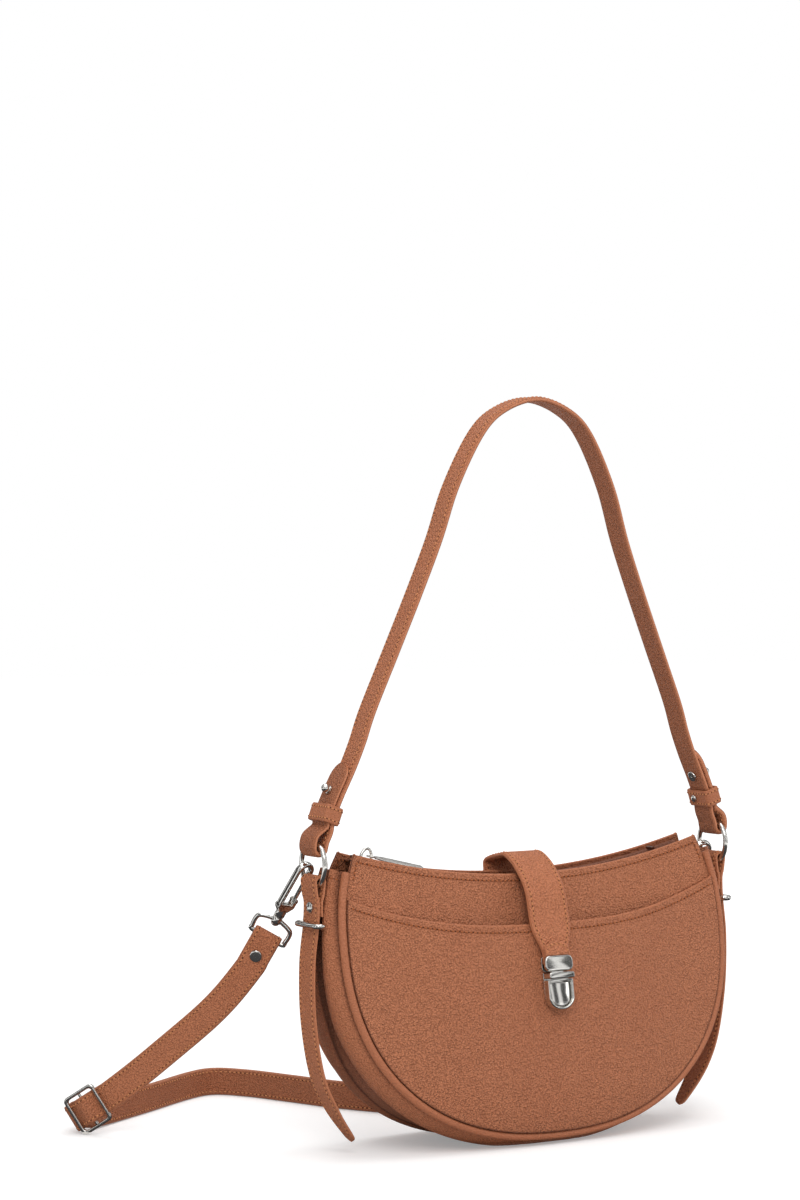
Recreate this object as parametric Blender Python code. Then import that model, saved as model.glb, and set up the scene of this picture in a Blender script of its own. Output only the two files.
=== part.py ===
"""A half-moon leather shoulder bag with a handle, a push-lock flap strap and a clip-on crossbody strap.

+X is to the right when the bag is seen from the front, the front faces -Y, +Z is up. The origin is on the
floor, under the middle of the bag's flat base. Lengths are in metres.
"""

from math import asin, cos, degrees, pi, radians, sin, sqrt

import bpy
import bmesh
import numpy as np
from mathutils import Vector

MM = 0.001

# Fits between neighbouring pieces
GAP = 0.3 * MM
SLIDE_GAP = 0.4 * MM
OVERRUN = 2.0 * MM
COURSE_TOLERANCE = 0.14 * MM

# Half-moon outline, along the line where the piping lies
HALF_WIDTH = 142.4 * MM
WAIST_Z = 130.0 * MM
BELLY_DROP = 124.0 * MM
SHOULDER_RISE = 119.0 * MM
OUTLINE_POWER = 2.3
MOUTH_Z = 184.5 * MM
MOUTH_DIP = 18.5 * MM
GUSSET_TOP_Z = 173.0 * MM

# Depth of the body, half of it to each side of the middle plane
MOUTH_HALF_DEPTH = 10.0 * MM
BASE_HALF_DEPTH = 41.7 * MM
FRONT_SWELL = 5.5 * MM
BACK_SWELL = 9.0 * MM
SWELL_FALL = 60.0 * MM
SWELL_POWER = 2.5

# Leather, lining and piping
PANEL_LEATHER = 1.8 * MM
BAND_LEATHER = 1.8 * MM
GUSSET_LEATHER = 1.2 * MM
LINING_CLOTH = 0.8 * MM
PIPING_RADIUS = 2.2 * MM

# Front and back bands beside the piping, and the folded strip between them
BAND_SPAN = 22.0 * MM
BAND_SWELL = 7.6 * MM
BAND_TURN_SHARE = 0.78
BAND_ROUND_POWER = 0.8
FOLD_HALF_LEAST = 3.0 * MM
FOLD_DEPTH = 10.0 * MM
FOLD_POWER = 1.3
BASE_SWELL = 1.6 * MM

# Front slip pocket
POCKET_EDGE_Z = 136.0 * MM
POCKET_EDGE_RISE = 23.0 * MM
POCKET_EDGE_POWER = 2.6
POCKET_GAPE = 5.9 * MM
POCKET_GAPE_INSET = 37.4 * MM
POCKET_GAPE_POWER = 4

# Zip
TAPE_THICK = 0.9 * MM
TAPE_DROP = 3.0 * MM
COIL_WIDTH = 2.3 * MM
COIL_HEIGHT = 2.2 * MM
COIL_SLIT = 1.6 * MM
ZIP_END_INSET = 18.4 * MM
SLIDER_REST_INSET = 9.0 * MM
SLIDER_STOP_INSET = 34.0 * MM
SLIDER_LENGTH = 9.0 * MM
SLIDER_WIDTH = 8.4 * MM
SLIDER_PLATE = 1.1 * MM
SLIDER_BLADE = 0.7 * MM
BAIL_WIRE = 0.8 * MM
BAIL_HEIGHT = 5.2 * MM
BAIL_LENGTH = 8.0 * MM
PULL_LENGTH = 36.0 * MM
PULL_WIDTH = 4.4 * MM
PULL_THICK = 1.1 * MM
PULL_RISE = 0.38 * MM
PULL_EYE_RADIUS = 2.6 * MM
STOP_LENGTH = 2.4 * MM
STOP_HEIGHT = 1.9 * MM

# Flap strap over the mouth
FLAP_WIDTH = 30.0 * MM
FLAP_END_WIDTH = 19.0 * MM
FLAP_LEATHER = 2.6 * MM
FLAP_ARCH_Z = 178.2 * MM
FLAP_HINGE_Z = 156.0 * MM
FLAP_ANCHOR_LENGTH = 34.0 * MM
PATCH_LENGTH = 9.0 * MM
PATCH_LEATHER = 1.2 * MM

# Push lock, its lower half on the pocket and its upper half on the flap strap
LOCK_Z = 104.0 * MM
LOCK_WIDTH = 20.0 * MM
LOCK_BACK_THICK = 1.0 * MM
BAR_HEIGHT = 4.6 * MM
BAR_DEPTH = 7.4 * MM
SLOT_DEPTH = 3.0 * MM
SLOT_WIDTH = 12.0 * MM
TONGUE_THICK = 1.2 * MM
TONGUE_WIDTH = 9.0 * MM
TONGUE_ENGAGED = 2.0 * MM
SHIELD_HEIGHT = 18.6 * MM
SHIELD_WIDTH = 19.0 * MM
SHIELD_RIM = 1.9 * MM
SHIELD_RIM_DEPTH = 5.2 * MM
BUTTON_DEPTH = 3.4 * MM
BUTTON_TRAVEL = 1.8 * MM
PLATE_HEIGHT = 9.8 * MM
PLATE_DEPTH = 2.2 * MM
PLATE_CORNER = 2.4 * MM
LOCK_BEVEL = 0.5 * MM

# Rings at the sides
RING_STAND_OFF = 9.6 * MM
RING_Z = 177.8 * MM
RING_RADIUS = 13.8 * MM
RING_WIRE = 1.6 * MM

# Side tabs
TAB_WIDTH = 18.0 * MM
TAB_LEATHER = 2.0 * MM
TAB_TIP_WIDTH = 7.0 * MM
TAB_RIVET_Z = 152.0 * MM
TAB_RIVET_RADIUS = 3.4 * MM
TAB_RIVET_HEAD = 1.1 * MM
KEEPER_Z = 141.5 * MM
KEEPER_WIRE = 1.25 * MM
KEEPER_HALF_LENGTH = 11.0 * MM

# Handle
HANDLE_WIDTH = 18.0 * MM
HANDLE_LEATHER = 3.2 * MM
HANDLE_APEX_Z = 464.5 * MM
HANDLE_LEAN = 8.0 * MM
HANDLE_TIP_WIDTH = 9.0 * MM
HANDLE_LOOP_RADIUS = 4.0 * MM
HANDLE_BAND_RISE = 29.5 * MM
HANDLE_BAND_HEIGHT = 11.0 * MM
HANDLE_BAND_WALL = 1.6 * MM
STUD_BALL = 3.1 * MM
STUD_BASE = 2.6 * MM
STUD_NECK = 1.5 * MM
SCREW_RADIUS = 3.6 * MM
SCREW_THICK = 1.0 * MM
BAND_STUD_RADIUS = 2.4 * MM
BAND_STUD_RISE = 1.5 * MM
BAND_STUD_SET_BACK = 3.0 * MM

# Snap hooks, each along its own axis from the ring to the strap
HOOK_RADIUS = 5.4 * MM
HOOK_WIDTH = 4.4 * MM
HOOK_HANG = 1.1 * MM
HOOK_THICK = 2.8 * MM
HOOK_BLOCK_START = 23.5 * MM
HOOK_BLOCK_END = 29.0 * MM
HOOK_BARREL_END = 33.0 * MM
HOOK_BARREL_RADIUS = 3.3 * MM
HOOK_NECK_RADIUS = 1.4 * MM
HOOK_HEAD_RADIUS = 2.4 * MM
HOOK_HEAD_THICK = 1.4 * MM
HOOK_TIP_OVERHANG = 4.2 * MM
GATE_THICK = 2.2 * MM
GATE_WIDTH = 2.6 * MM
GATE_PIVOT = 20.6 * MM
LUG_THICK = 0.8 * MM
PIN_RADIUS = 0.7 * MM
PIN_HEAD = 0.5 * MM
EYE_COLLAR = 4.4 * MM
EYE_COLLAR_RADIUS = 3.2 * MM
EYE_WIRE = 1.5 * MM
EYE_HALF_WIDTH = 11.4 * MM
EYE_LENGTH = 13.0 * MM

# Crossbody strap, its slider and its rivets
STRAP_WIDTH = 18.0 * MM
STRAP_LEATHER = 1.8 * MM
STRAP_LAP = 22.0 * MM
STRAP_RIVET_RADIUS = 3.3 * MM
STRAP_RIVET_HEAD = 0.8 * MM
STRAP_FLOOR_GAP = 0.35 * MM
BUCKLE_LENGTH = 22.0 * MM
BUCKLE_WIDTH = 26.6 * MM
BUCKLE_WALL = 2.3 * MM
BUCKLE_THICK = 2.4 * MM
BUCKLE_CORNER = 3.2 * MM
BUCKLE_BAR = 1.0 * MM
BUCKLE_BAR_SET_BACK = 1.0 * MM
BUCKLE_SLOPE = radians(33.0)

# How the strap lies, as shares of its reach, and how it winds through the slider, as shares of the slider's
# length and of its leather
STRAP_LAP_SHARES = (1.0, 0.7, 0.42, 0.25)
STRAP_RIVET_SHARE = 0.62
STRAP_REACH_SHARE = 0.658
SLIDER_REACH_SHARES = (-1.528, 0.938)
STRAP_HANG_SHARES = ((0.245, 0.0217, -0.0158, -0.0287), (0.418, 0.0113, -0.0192, -0.0262))
STRAP_HANG_SHARES += ((0.58, 0.0163, -0.0082, -0.0177), (0.818, 0.0105, -0.0064, -0.0126))
STRAP_TURN_SHARES = (0.15, 0.4, 0.65, 0.9)
STRAP_WEAVE_SHARES = ((0.8, 0.6), (0.53, 1.7), (0.42, 1.6), (0.29, 0.55), (0.14, -1.25), (0.0, -1.9))
STRAP_WEAVE_SHARES += ((-0.14, -1.25), (-0.28, 0.5), (-0.37, 1.35))
STRAP_BEND_SHARES = ((-0.43, 2.0), (-0.53, 2.45), (-0.585, 3.5), (-0.56, 4.9), (-0.44, 6.4))
STRAP_FLOOR_SHARES = ((-2.12, 1.66), (-1.60, 1.97), (-1.15, 2.26), (-0.92, 2.33), (-0.76, 2.14))
STRAP_FLOOR_SHARES += ((-0.62, 1.78), (-0.47, 1.38), (-0.22, 1.02), (0.30, 0.80), (0.80, 0.71))
STRAP_SETTLE_SHARES = (0.6, 1, 1, 1, 1, 1, 1, 1, 1, 1)
STRAP_CLIMB_SHARES = ((1.18, 0.68, 0.15), (1.46, 0.62, 0.40), (1.57, 0.50, 0.82))
STRAP_TWIST_SHARES = (0.15, 0.45, 0.9)

# Where each hook hangs: the turn round its ring, and its way down from there
HOOK_TURNS = {"left": radians(-27), "right": radians(-32)}
HOOK_WAYS = {"left": (-0.27, 0.46, -0.845), "right": (0.12, 0.45, -0.885)}
EYE_SIDES = {"left": (-0.739, 0.464, 0.489), "right": (0.96, 0.10, 0.18)}

LEFT, RIGHT = -1, 1

# Places that follow from the sizes above
POCKET_GAPE_HALF = HALF_WIDTH - POCKET_GAPE_INSET
ZIP_HALF_LENGTH = HALF_WIDTH - ZIP_END_INSET
SLIDER_START_X = ZIP_HALF_LENGTH - SLIDER_REST_INSET
SLIDER_STOP_X = ZIP_HALF_LENGTH - SLIDER_STOP_INSET
PLATE_FOOT = BAR_HEIGHT / 2 + SLIDE_GAP
STRAP_OUT = LOCK_BACK_THICK + 2 * GAP + FLAP_LEATHER / 2
RING_X = HALF_WIDTH + RING_STAND_OFF
STRAP_REACH = RING_X * STRAP_REACH_SHARE

# Smoothness of the facets
OUTLINE_STEPS = 38
PANEL_ROWS = 4
BAND_COLUMNS = 4
FOLD_COLUMNS = 6
LINING_STEPS = 24
ARC_STEPS = 24
RING_STEPS = 24

# Finishes, as linear colour, roughness and metallic value
FINISHES = {
    "leather": ((0.434, 0.162, 0.084), 0.55, 0.0),
    "leather_shade": ((0.262, 0.102, 0.054), 0.6, 0.0),
    "lining": ((0.102, 0.026, 0.013), 0.9, 0.0),
    "zip_tape": ((0.188, 0.065, 0.032), 0.8, 0.0),
    "nickel": ((0.62, 0.60, 0.57), 0.18, 1.0),
}


def clear_scene():
    """Removes whatever the scene holds."""
    for old in list(bpy.data.objects):
        bpy.data.objects.remove(old, do_unlink=True)


def finish(name):
    """The material of that name, made when it is first asked for."""
    material = bpy.data.materials.get(name)
    if material:
        return material
    colour, roughness, metallic = FINISHES[name]
    material = bpy.data.materials.new(name)
    material.use_nodes = True
    shader = material.node_tree.nodes["Principled BSDF"]
    shader.inputs["Base Color"].default_value = (*colour, 1.0)
    shader.inputs["Roughness"].default_value = roughness
    shader.inputs["Metallic"].default_value = metallic
    material.diffuse_color = (*colour, 1.0)
    return material


def add_solid(name, points, faces, look, origin=(0, 0, 0), sharp=radians(40)):
    """A closed mesh object whose faces point out, with its origin where it turns or slides."""
    mesh = bpy.data.meshes.new(name)
    shape = bmesh.new()
    corners = [shape.verts.new(Vector(p) - Vector(origin)) for p in points]
    for face in faces:
        shape.faces.new([corners[i] for i in face])
    bmesh.ops.remove_doubles(shape, verts=shape.verts, dist=GAP / 30)
    bmesh.ops.dissolve_degenerate(shape, edges=shape.edges, dist=GAP / 300)
    bmesh.ops.recalc_face_normals(shape, faces=shape.faces)
    shape.to_mesh(mesh)
    shape.free()
    mesh.shade_smooth()
    mesh.set_sharp_from_angle(angle=sharp)
    mesh.materials.append(finish(look))
    thing = bpy.data.objects.new(name, mesh)
    thing.location = origin
    bpy.context.collection.objects.link(thing)
    return thing


def as_cutter(thing):
    """Hides a shape that only cuts or joins another."""
    thing.hide_render = True
    thing.display_type = "WIRE"
    return thing


def combine(thing, other, operation):
    """Adds the other shape to this one, or cuts it out."""
    step = thing.modifiers.new(f"{operation.lower()} {other.name}", "BOOLEAN")
    step.operation = operation
    step.object = as_cutter(other)
    step.solver = "EXACT"


def unit(vectors):
    vectors = np.asarray(vectors, float)
    return vectors / np.linalg.norm(vectors, axis=-1, keepdims=True)


def ring_faces(rows, sides, closed=False):
    """Quads round a tube of rings, with both ends capped unless it closes on itself."""
    faces = []
    for i in range(rows if closed else rows - 1):
        a, b = i * sides, (i + 1) % rows * sides
        for j in range(sides):
            k = (j + 1) % sides
            faces.append((a + j, a + k, b + k, b + j))
    if not closed:
        faces += [tuple(range(sides)), tuple((rows - 1) * sides + j for j in range(sides))]
    return faces


def loft(name, sections, look, closed=False, origin=(0, 0, 0), sharp=radians(40)):
    """A solid through a row of sections, each a ring of as many points."""
    sections = np.asarray(sections, float)
    rows, sides = sections.shape[:2]
    return add_solid(name, sections.reshape(-1, 3), ring_faces(rows, sides, closed), look, origin, sharp)


def thick_sheet(name, outer, inner, look):
    """A solid between two grids of points with the same rows and columns."""
    outer, inner = np.asarray(outer, float), np.asarray(inner, float)
    rows, columns = outer.shape[:2]
    size = rows * columns
    faces = []
    for i in range(rows - 1):
        for j in range(columns - 1):
            a = i * columns + j
            faces.append((a, a + 1, a + columns + 1, a + columns))
            faces.append((size + a, size + a + columns, size + a + columns + 1, size + a + 1))
    rim = [(i, 0) for i in range(rows)] + [(rows - 1, j) for j in range(1, columns)]
    rim += [(i, columns - 1) for i in range(rows - 2, -1, -1)] + [(0, j) for j in range(columns - 2, 0, -1)]
    edge = [i * columns + j for i, j in rim]
    for a, b in zip(edge, edge[1:] + edge[:1]):
        faces.append((a, b, size + b, size + a))
    return add_solid(name, np.concatenate([outer.reshape(-1, 3), inner.reshape(-1, 3)]), faces, look)


def even(points, count):
    """The same line read at evenly spaced places along it."""
    points = np.asarray(points, float)
    steps = np.linalg.norm(np.diff(points, axis=0), axis=1)
    along = np.concatenate([[0], np.cumsum(steps)])
    places = np.linspace(0, along[-1], count)
    return np.column_stack([np.interp(places, along, points[:, k]) for k in range(points.shape[1])])


def smooth_line(points, steps=12):
    """A Catmull-Rom curve through the points, with the given steps between one point and the next."""
    points = np.asarray(points, float)
    padded = np.vstack([2 * points[0] - points[1], points, 2 * points[-1] - points[-2]])
    pieces = []
    for i in range(len(points) - 1):
        a, b, c, d = padded[i : i + 4]
        t = np.linspace(0, 1, steps, endpoint=False)[:, None]
        pieces.append(
            0.5 * (2 * b + (c - a) * t + (2 * a - 5 * b + 4 * c - d) * t**2 + (3 * b - 3 * c + d - a) * t**3)
        )
    pieces.append(points[-1:])
    return np.vstack(pieces)


def thin_out(points, longest):
    """Keeps only the points that the line needs to stay within a small distance of its course."""
    kept = {0, len(points) - 1}
    spans = [(0, len(points) - 1)]
    while spans:
        first, last = spans.pop()
        if last - first < 2:
            continue
        chord = points[last] - points[first]
        length = np.linalg.norm(chord)
        middle = points[first + 1 : last] - points[first]
        along = np.clip(middle @ chord / max(length, GAP) ** 2, 0, 1)[:, None]
        off = np.linalg.norm(middle - along * chord, axis=1)
        if off.max() > COURSE_TOLERANCE or length > longest:
            bends = off.max() > COURSE_TOLERANCE / 2
            worst = first + 1 + int(np.argmax(off)) if bends else (first + last) // 2
            kept.add(worst)
            spans += [(first, worst), (worst, last)]
    return sorted(kept)


def ribbon_sections(path, across, widths, thickness, turns=False):
    """Flat sections along a path: across is the way the width lies at each point."""
    path, across = np.asarray(path, float), np.asarray(across, float)
    if turns:
        along = np.roll(path, -1, axis=0) - np.roll(path, 1, axis=0)
    else:
        along = np.gradient(path, axis=0)
    along = unit(along)
    side = unit(across - np.sum(across * along, axis=1, keepdims=True) * along)
    up = np.cross(along, side)
    half = np.broadcast_to(np.asarray(widths, float) / 2, len(path))[:, None]
    lift = thickness / 2
    corners = [path + side * half + up * lift, path - side * half + up * lift]
    corners += [path - side * half - up * lift, path + side * half - up * lift]
    return np.stack(corners, axis=1)


def ribbon(name, path, across, widths, thickness, look, origin=(0, 0, 0)):
    return loft(name, ribbon_sections(path, across, widths, thickness), look, origin=origin)


def wire(name, points, radius, look, closed=False, resolution=2):
    """A round wire along the points."""
    curve = bpy.data.curves.new(name, "CURVE")
    curve.dimensions = "3D"
    curve.bevel_depth = radius
    curve.bevel_resolution = resolution
    curve.use_fill_caps = True
    line = curve.splines.new("POLY")
    line.points.add(len(points) - 1)
    for spot, point in zip(line.points, points):
        spot.co = (*point, 1.0)
    line.use_cyclic_u = closed
    curve.materials.append(finish(look))
    thing = bpy.data.objects.new(name, curve)
    bpy.context.collection.objects.link(thing)
    return thing


def tube(name, points, radius, look, sides=8, closed=False, origin=(0, 0, 0)):
    """A round bar along the points, as a mesh that other shapes can be joined to."""
    points = np.asarray(points, float)
    if closed:
        along = unit(np.roll(points, -1, axis=0) - np.roll(points, 1, axis=0))
    else:
        along = unit(np.gradient(points, axis=0))
    helper = unit(np.cross(along[0], [0.31, 0.52, 0.79]))
    turns = np.linspace(0, 2 * pi, sides, endpoint=False)
    sections = []
    for point, way in zip(points, along):
        helper = unit(helper - np.dot(helper, way) * way)
        other = np.cross(way, helper)
        sections.append([point + radius * (cos(t) * helper + sin(t) * other) for t in turns])
    return loft(name, sections, look, closed=closed, origin=origin)


def turned(name, profile, centre, axis, look, sides=16, origin=None):
    """A lathe shape: the profile's (radius, height) points turned about the axis through the centre."""
    axis = unit(axis)
    helper = np.array([1.0, 0, 0]) if abs(axis[0]) < 0.9 else np.array([0, 1.0, 0])
    first = unit(np.cross(axis, helper))
    second = np.cross(axis, first)
    turn = np.linspace(0, 2 * pi, sides, endpoint=False)
    spokes = np.cos(turn)[:, None] * first + np.sin(turn)[:, None] * second
    rings = [np.asarray(centre) + axis * height + spokes * max(radius, GAP / 2) for radius, height in profile]
    return loft(name, rings, look, origin=centre if origin is None else origin)


def ring_solid(name, profile, centre, axis, look, sides=16):
    """A lathe ring: the closed profile stays clear of the axis."""
    axis = unit(axis)
    helper = np.array([1.0, 0, 0]) if abs(axis[0]) < 0.9 else np.array([0, 1.0, 0])
    first = unit(np.cross(axis, helper))
    second = np.cross(axis, first)
    sections = []
    for turn in np.linspace(0, 2 * pi, sides, endpoint=False):
        spoke = cos(turn) * first + sin(turn) * second
        sections.append([np.asarray(centre) + axis * height + spoke * radius for radius, height in profile])
    return loft(name, sections, look, closed=True)


def slab(name, centre, size, look, axes=None, bevel=0.0, origin=(0, 0, 0)):
    """A box of the given size along its own three axes, with its edges bevelled."""
    axes = np.eye(3) if axes is None else np.asarray(axes, float)
    half = np.asarray(size, float) / 2
    signs = [(-1, -1), (1, -1), (1, 1), (-1, 1)]
    sections = []
    for w in (-1, 1):
        corner = [np.asarray(centre) + axes.T @ (half * np.array([u, v, w])) for u, v in signs]
        sections.append(corner)
    thing = loft(name, sections, look, origin=origin)
    if bevel:
        edge = thing.modifiers.new("rounded edges", "BEVEL")
        edge.width = bevel
        edge.segments = 1
        edge.limit_method = "ANGLE"
    return thing


def outline_plate(name, loop, thickness, place, look, bevel=0.0, origin=(0, 0, 0)):
    """A flat plate: a loop of (across, up) points, given its thickness outwards by place(across, up, out)."""
    low, high = thickness
    sections = [[place(a, u, low) for a, u in loop], [place(a, u, high) for a, u in loop]]
    if bevel:
        middle = np.mean(np.asarray(loop), axis=0)
        size = np.ptp(np.asarray(loop), axis=0) / 2
        inset = [tuple(middle + (np.array(p) - middle) * (1 - bevel / size)) for p in loop]
        sections.insert(1, [place(a, u, high - bevel) for a, u in loop])
        sections[2] = [place(a, u, high) for a, u in inset]
    return loft(name, sections, look, origin=origin, sharp=radians(50))


def rounded_rectangle(width, height, corner, centre=(0, 0), steps=3):
    """Points round a rectangle with round corners."""
    points = []
    for k, (sx, sy) in enumerate([(1, 1), (-1, 1), (-1, -1), (1, -1)]):
        middle = (centre[0] + sx * (width / 2 - corner), centre[1] + sy * (height / 2 - corner))
        for turn in np.linspace(k * pi / 2, (k + 1) * pi / 2, steps + 1):
            points.append((middle[0] + corner * cos(turn), middle[1] + corner * sin(turn)))
    return points


# The body's own shape, as formulas


def outline(count, top_z, inset=0.0):
    """Points (x, z) and outward normals down the left side, round the base and up the right side."""
    start = asin(((top_z - WAIST_Z) / SHOULDER_RISE) ** (OUTLINE_POWER / 2))
    turn = np.linspace(pi - start, 2 * pi + start, 3000)
    c, s = np.cos(turn), np.sin(turn)
    rise = np.where(s > 0, SHOULDER_RISE, BELLY_DROP)
    x = HALF_WIDTH * np.sign(c) * np.abs(c) ** (2 / OUTLINE_POWER)
    z = WAIST_Z + rise * np.sign(s) * np.abs(s) ** (2 / OUTLINE_POWER)
    points = even(np.column_stack([x, z]), count)
    along = unit(np.gradient(points, axis=0))
    normal = np.column_stack([-along[:, 1], along[:, 0]]) * -1
    return points - normal * inset, normal


def mouth_radius():
    half = HALF_WIDTH * (1 - ((MOUTH_Z - WAIST_Z) / SHOULDER_RISE) ** OUTLINE_POWER) ** (1 / OUTLINE_POWER)
    return (half**2 + MOUTH_DIP**2) / (2 * MOUTH_DIP)


MOUTH_RADIUS = mouth_radius()
MOUTH_CENTRE_Z = MOUTH_Z - MOUTH_DIP + MOUTH_RADIUS


def mouth_z(x, lower=0.0):
    """Height of the mouth's hollow edge, or of a line a little below it."""
    return MOUTH_CENTRE_Z - np.sqrt((MOUTH_RADIUS + lower) ** 2 - np.square(x))


def half_depth(z):
    return BASE_HALF_DEPTH + (MOUTH_HALF_DEPTH - BASE_HALF_DEPTH) * np.asarray(z) / MOUTH_Z


def fullness(x, z):
    """1 at the middle of the panels, 0 along the outline."""
    rise = np.where(np.asarray(z) > WAIST_Z, SHOULDER_RISE, BELLY_DROP)
    spread = np.abs(np.asarray(x) / HALF_WIDTH) ** OUTLINE_POWER
    spread = spread + np.abs((np.asarray(z) - WAIST_Z) / rise) ** OUTLINE_POWER
    return 1 - np.clip(spread, 0, 1) ** (SWELL_POWER / OUTLINE_POWER)


def swell(x, z):
    """How far a panel stands out at a place, as a share of its greatest swell."""
    below = np.clip((mouth_z(x) - z) / SWELL_FALL, 0, 1)
    return fullness(x, z) * np.sin(below * pi / 2)


def front_y(x, z):
    return -(half_depth(z) + FRONT_SWELL * swell(x, z))


def back_y(x, z):
    return half_depth(z) + BACK_SWELL * swell(x, z)


def pocket_edge_z(x):
    return POCKET_EDGE_Z + POCKET_EDGE_RISE * np.abs(np.asarray(x) / HALF_WIDTH) ** POCKET_EDGE_POWER


def pocket_y(x, z):
    """Outer face of the front pocket, which gapes a little over its middle."""
    gape = np.clip(1 - np.abs(np.asarray(x) / POCKET_GAPE_HALF) ** 3, 0, 1)
    gape = gape * (1 - (1 - fullness(x, z)) ** POCKET_GAPE_POWER)
    return front_y(x, z) - GAP - PANEL_LEATHER - POCKET_GAPE * gape


def fan_grid(bottom, top, rows):
    """Rows of (x, z) points from the outline up to the upper edge, closing to a point at both ends."""
    share = np.linspace(0, 1, rows + 1)[:, None, None]
    return (1 - share) * bottom[None] + share * top[None]


def panel(name, surface, side, top_z=MOUTH_Z):
    """A whole front or back panel, up to the hollow mouth edge."""
    bottom, _ = outline(OUTLINE_STEPS + 1, top_z, PIPING_RADIUS + GAP)
    reach = bottom[-1, 0]
    x = np.linspace(-reach, reach, OUTLINE_STEPS + 1)
    top = np.column_stack([x, mouth_z(x)])
    top[0], top[-1] = bottom[0], bottom[-1]
    grid = fan_grid(bottom, top, PANEL_ROWS)
    y = surface(grid[..., 0], grid[..., 1])
    outer = np.stack([grid[..., 0], y, grid[..., 1]], axis=-1)
    inner = outer - np.array([0, side * PANEL_LEATHER, 0])
    return thick_sheet(name, outer, inner, "leather")


def pocket_panel():
    """The pocket's front, up to its own curved edge."""
    whole, _ = outline(OUTLINE_STEPS * 4, GUSSET_TOP_Z, PIPING_RADIUS + GAP)
    below = whole[whole[:, 1] < pocket_edge_z(whole[:, 0])]
    bottom = even(below, OUTLINE_STEPS - 3)
    x = np.linspace(bottom[0, 0], bottom[-1, 0], OUTLINE_STEPS - 3)
    top = np.column_stack([x, pocket_edge_z(x)])
    top[0], top[-1] = bottom[0], bottom[-1]
    grid = fan_grid(bottom, top, PANEL_ROWS)
    y = pocket_y(grid[..., 0], grid[..., 1])
    outer = np.stack([grid[..., 0], y, grid[..., 1]], axis=-1)
    inner = outer + np.array([0, PANEL_LEATHER, 0])
    return thick_sheet("pocket_panel", outer, inner, "leather")


def band_reach(z):
    """Distances from the middle plane of a band's two edges, the outer one first."""
    outer = half_depth(z) - PIPING_RADIUS - GAP
    span = np.minimum(BAND_SPAN, outer - FOLD_HALF_LEAST - GAP)
    return outer, outer - span


def band_offset(share):
    """How far a band stands out from the outline, from its piping edge (0) to its seam (1)."""
    return BAND_SWELL * np.sin(pi * BAND_TURN_SHARE * share) ** BAND_ROUND_POWER


SEAM_OFFSET = BAND_SWELL * sin(pi * BAND_TURN_SHARE) ** BAND_ROUND_POWER


def base_swell(z):
    """Extra roundness of the strips under the bag, so that its base is flat on the floor."""
    return BASE_SWELL * np.clip(1 - np.asarray(z) / (3 * BAND_SPAN), 0, 1)


def strip_surface(points, normal, offset, least_z):
    """Points set out from the outline, kept above the floor."""
    x = points[:, None, 0] + normal[:, None, 0] * offset
    z = points[:, None, 1] + normal[:, None, 1] * offset
    return x, np.maximum(z, least_z)


def side_band(name, side):
    """A rounded strip of leather from the piping to the seam of the folded strip."""
    points, normal = outline(OUTLINE_STEPS, GUSSET_TOP_Z)
    share = np.linspace(0, 1, BAND_COLUMNS + 1)[None]
    outer_y, seam_y = band_reach(points[:, 1:])
    y = side * (outer_y + (seam_y - outer_y) * share)
    offset = band_offset(share) + base_swell(points[:, 1:]) * share
    faces = []
    for inward, floor in ((0.0, 0.0), (BAND_LEATHER, BAND_LEATHER)):
        x, z = strip_surface(points, normal, offset - inward, floor)
        faces.append(np.stack([x, np.broadcast_to(y, x.shape), z], axis=-1))
    return thick_sheet(name, faces[0], faces[1], "leather")


def fold_offset(points, share, inward=0.0):
    """Offset of the folded strip: deep where the bag is narrow, none at its base."""
    _, seam_y = band_reach(points[:, 1:])
    _, widest = band_reach(0.0)
    tightness = 1 - np.clip((seam_y - FOLD_HALF_LEAST) / (widest - FOLD_HALF_LEAST), 0, 1)
    depth = FOLD_DEPTH * tightness * (1 - np.abs(share) ** FOLD_POWER)
    return SEAM_OFFSET + base_swell(points[:, 1:]) - depth - inward


def folded_strip():
    """The middle strip of the sides and base, folded inwards at the top."""
    points, normal = outline(OUTLINE_STEPS, GUSSET_TOP_Z)
    share = np.linspace(-1, 1, FOLD_COLUMNS + 1)[None]
    _, seam_y = band_reach(points[:, 1:])
    y = (seam_y - GAP) * share
    faces = []
    for inward in (0.0, GUSSET_LEATHER):
        x, z = strip_surface(points, normal, fold_offset(points, share, inward), inward)
        faces.append(np.stack([x, np.broadcast_to(y, x.shape), z], axis=-1))
    return thick_sheet("folded_gusset", faces[0], faces[1], "leather_shade")


def piping(name, side):
    points, _ = outline(OUTLINE_STEPS, GUSSET_TOP_Z)
    line = np.column_stack([points[:, 0], side * half_depth(points[:, 1]), points[:, 1]])
    return wire(name, line, PIPING_RADIUS, "leather", resolution=1)


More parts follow.
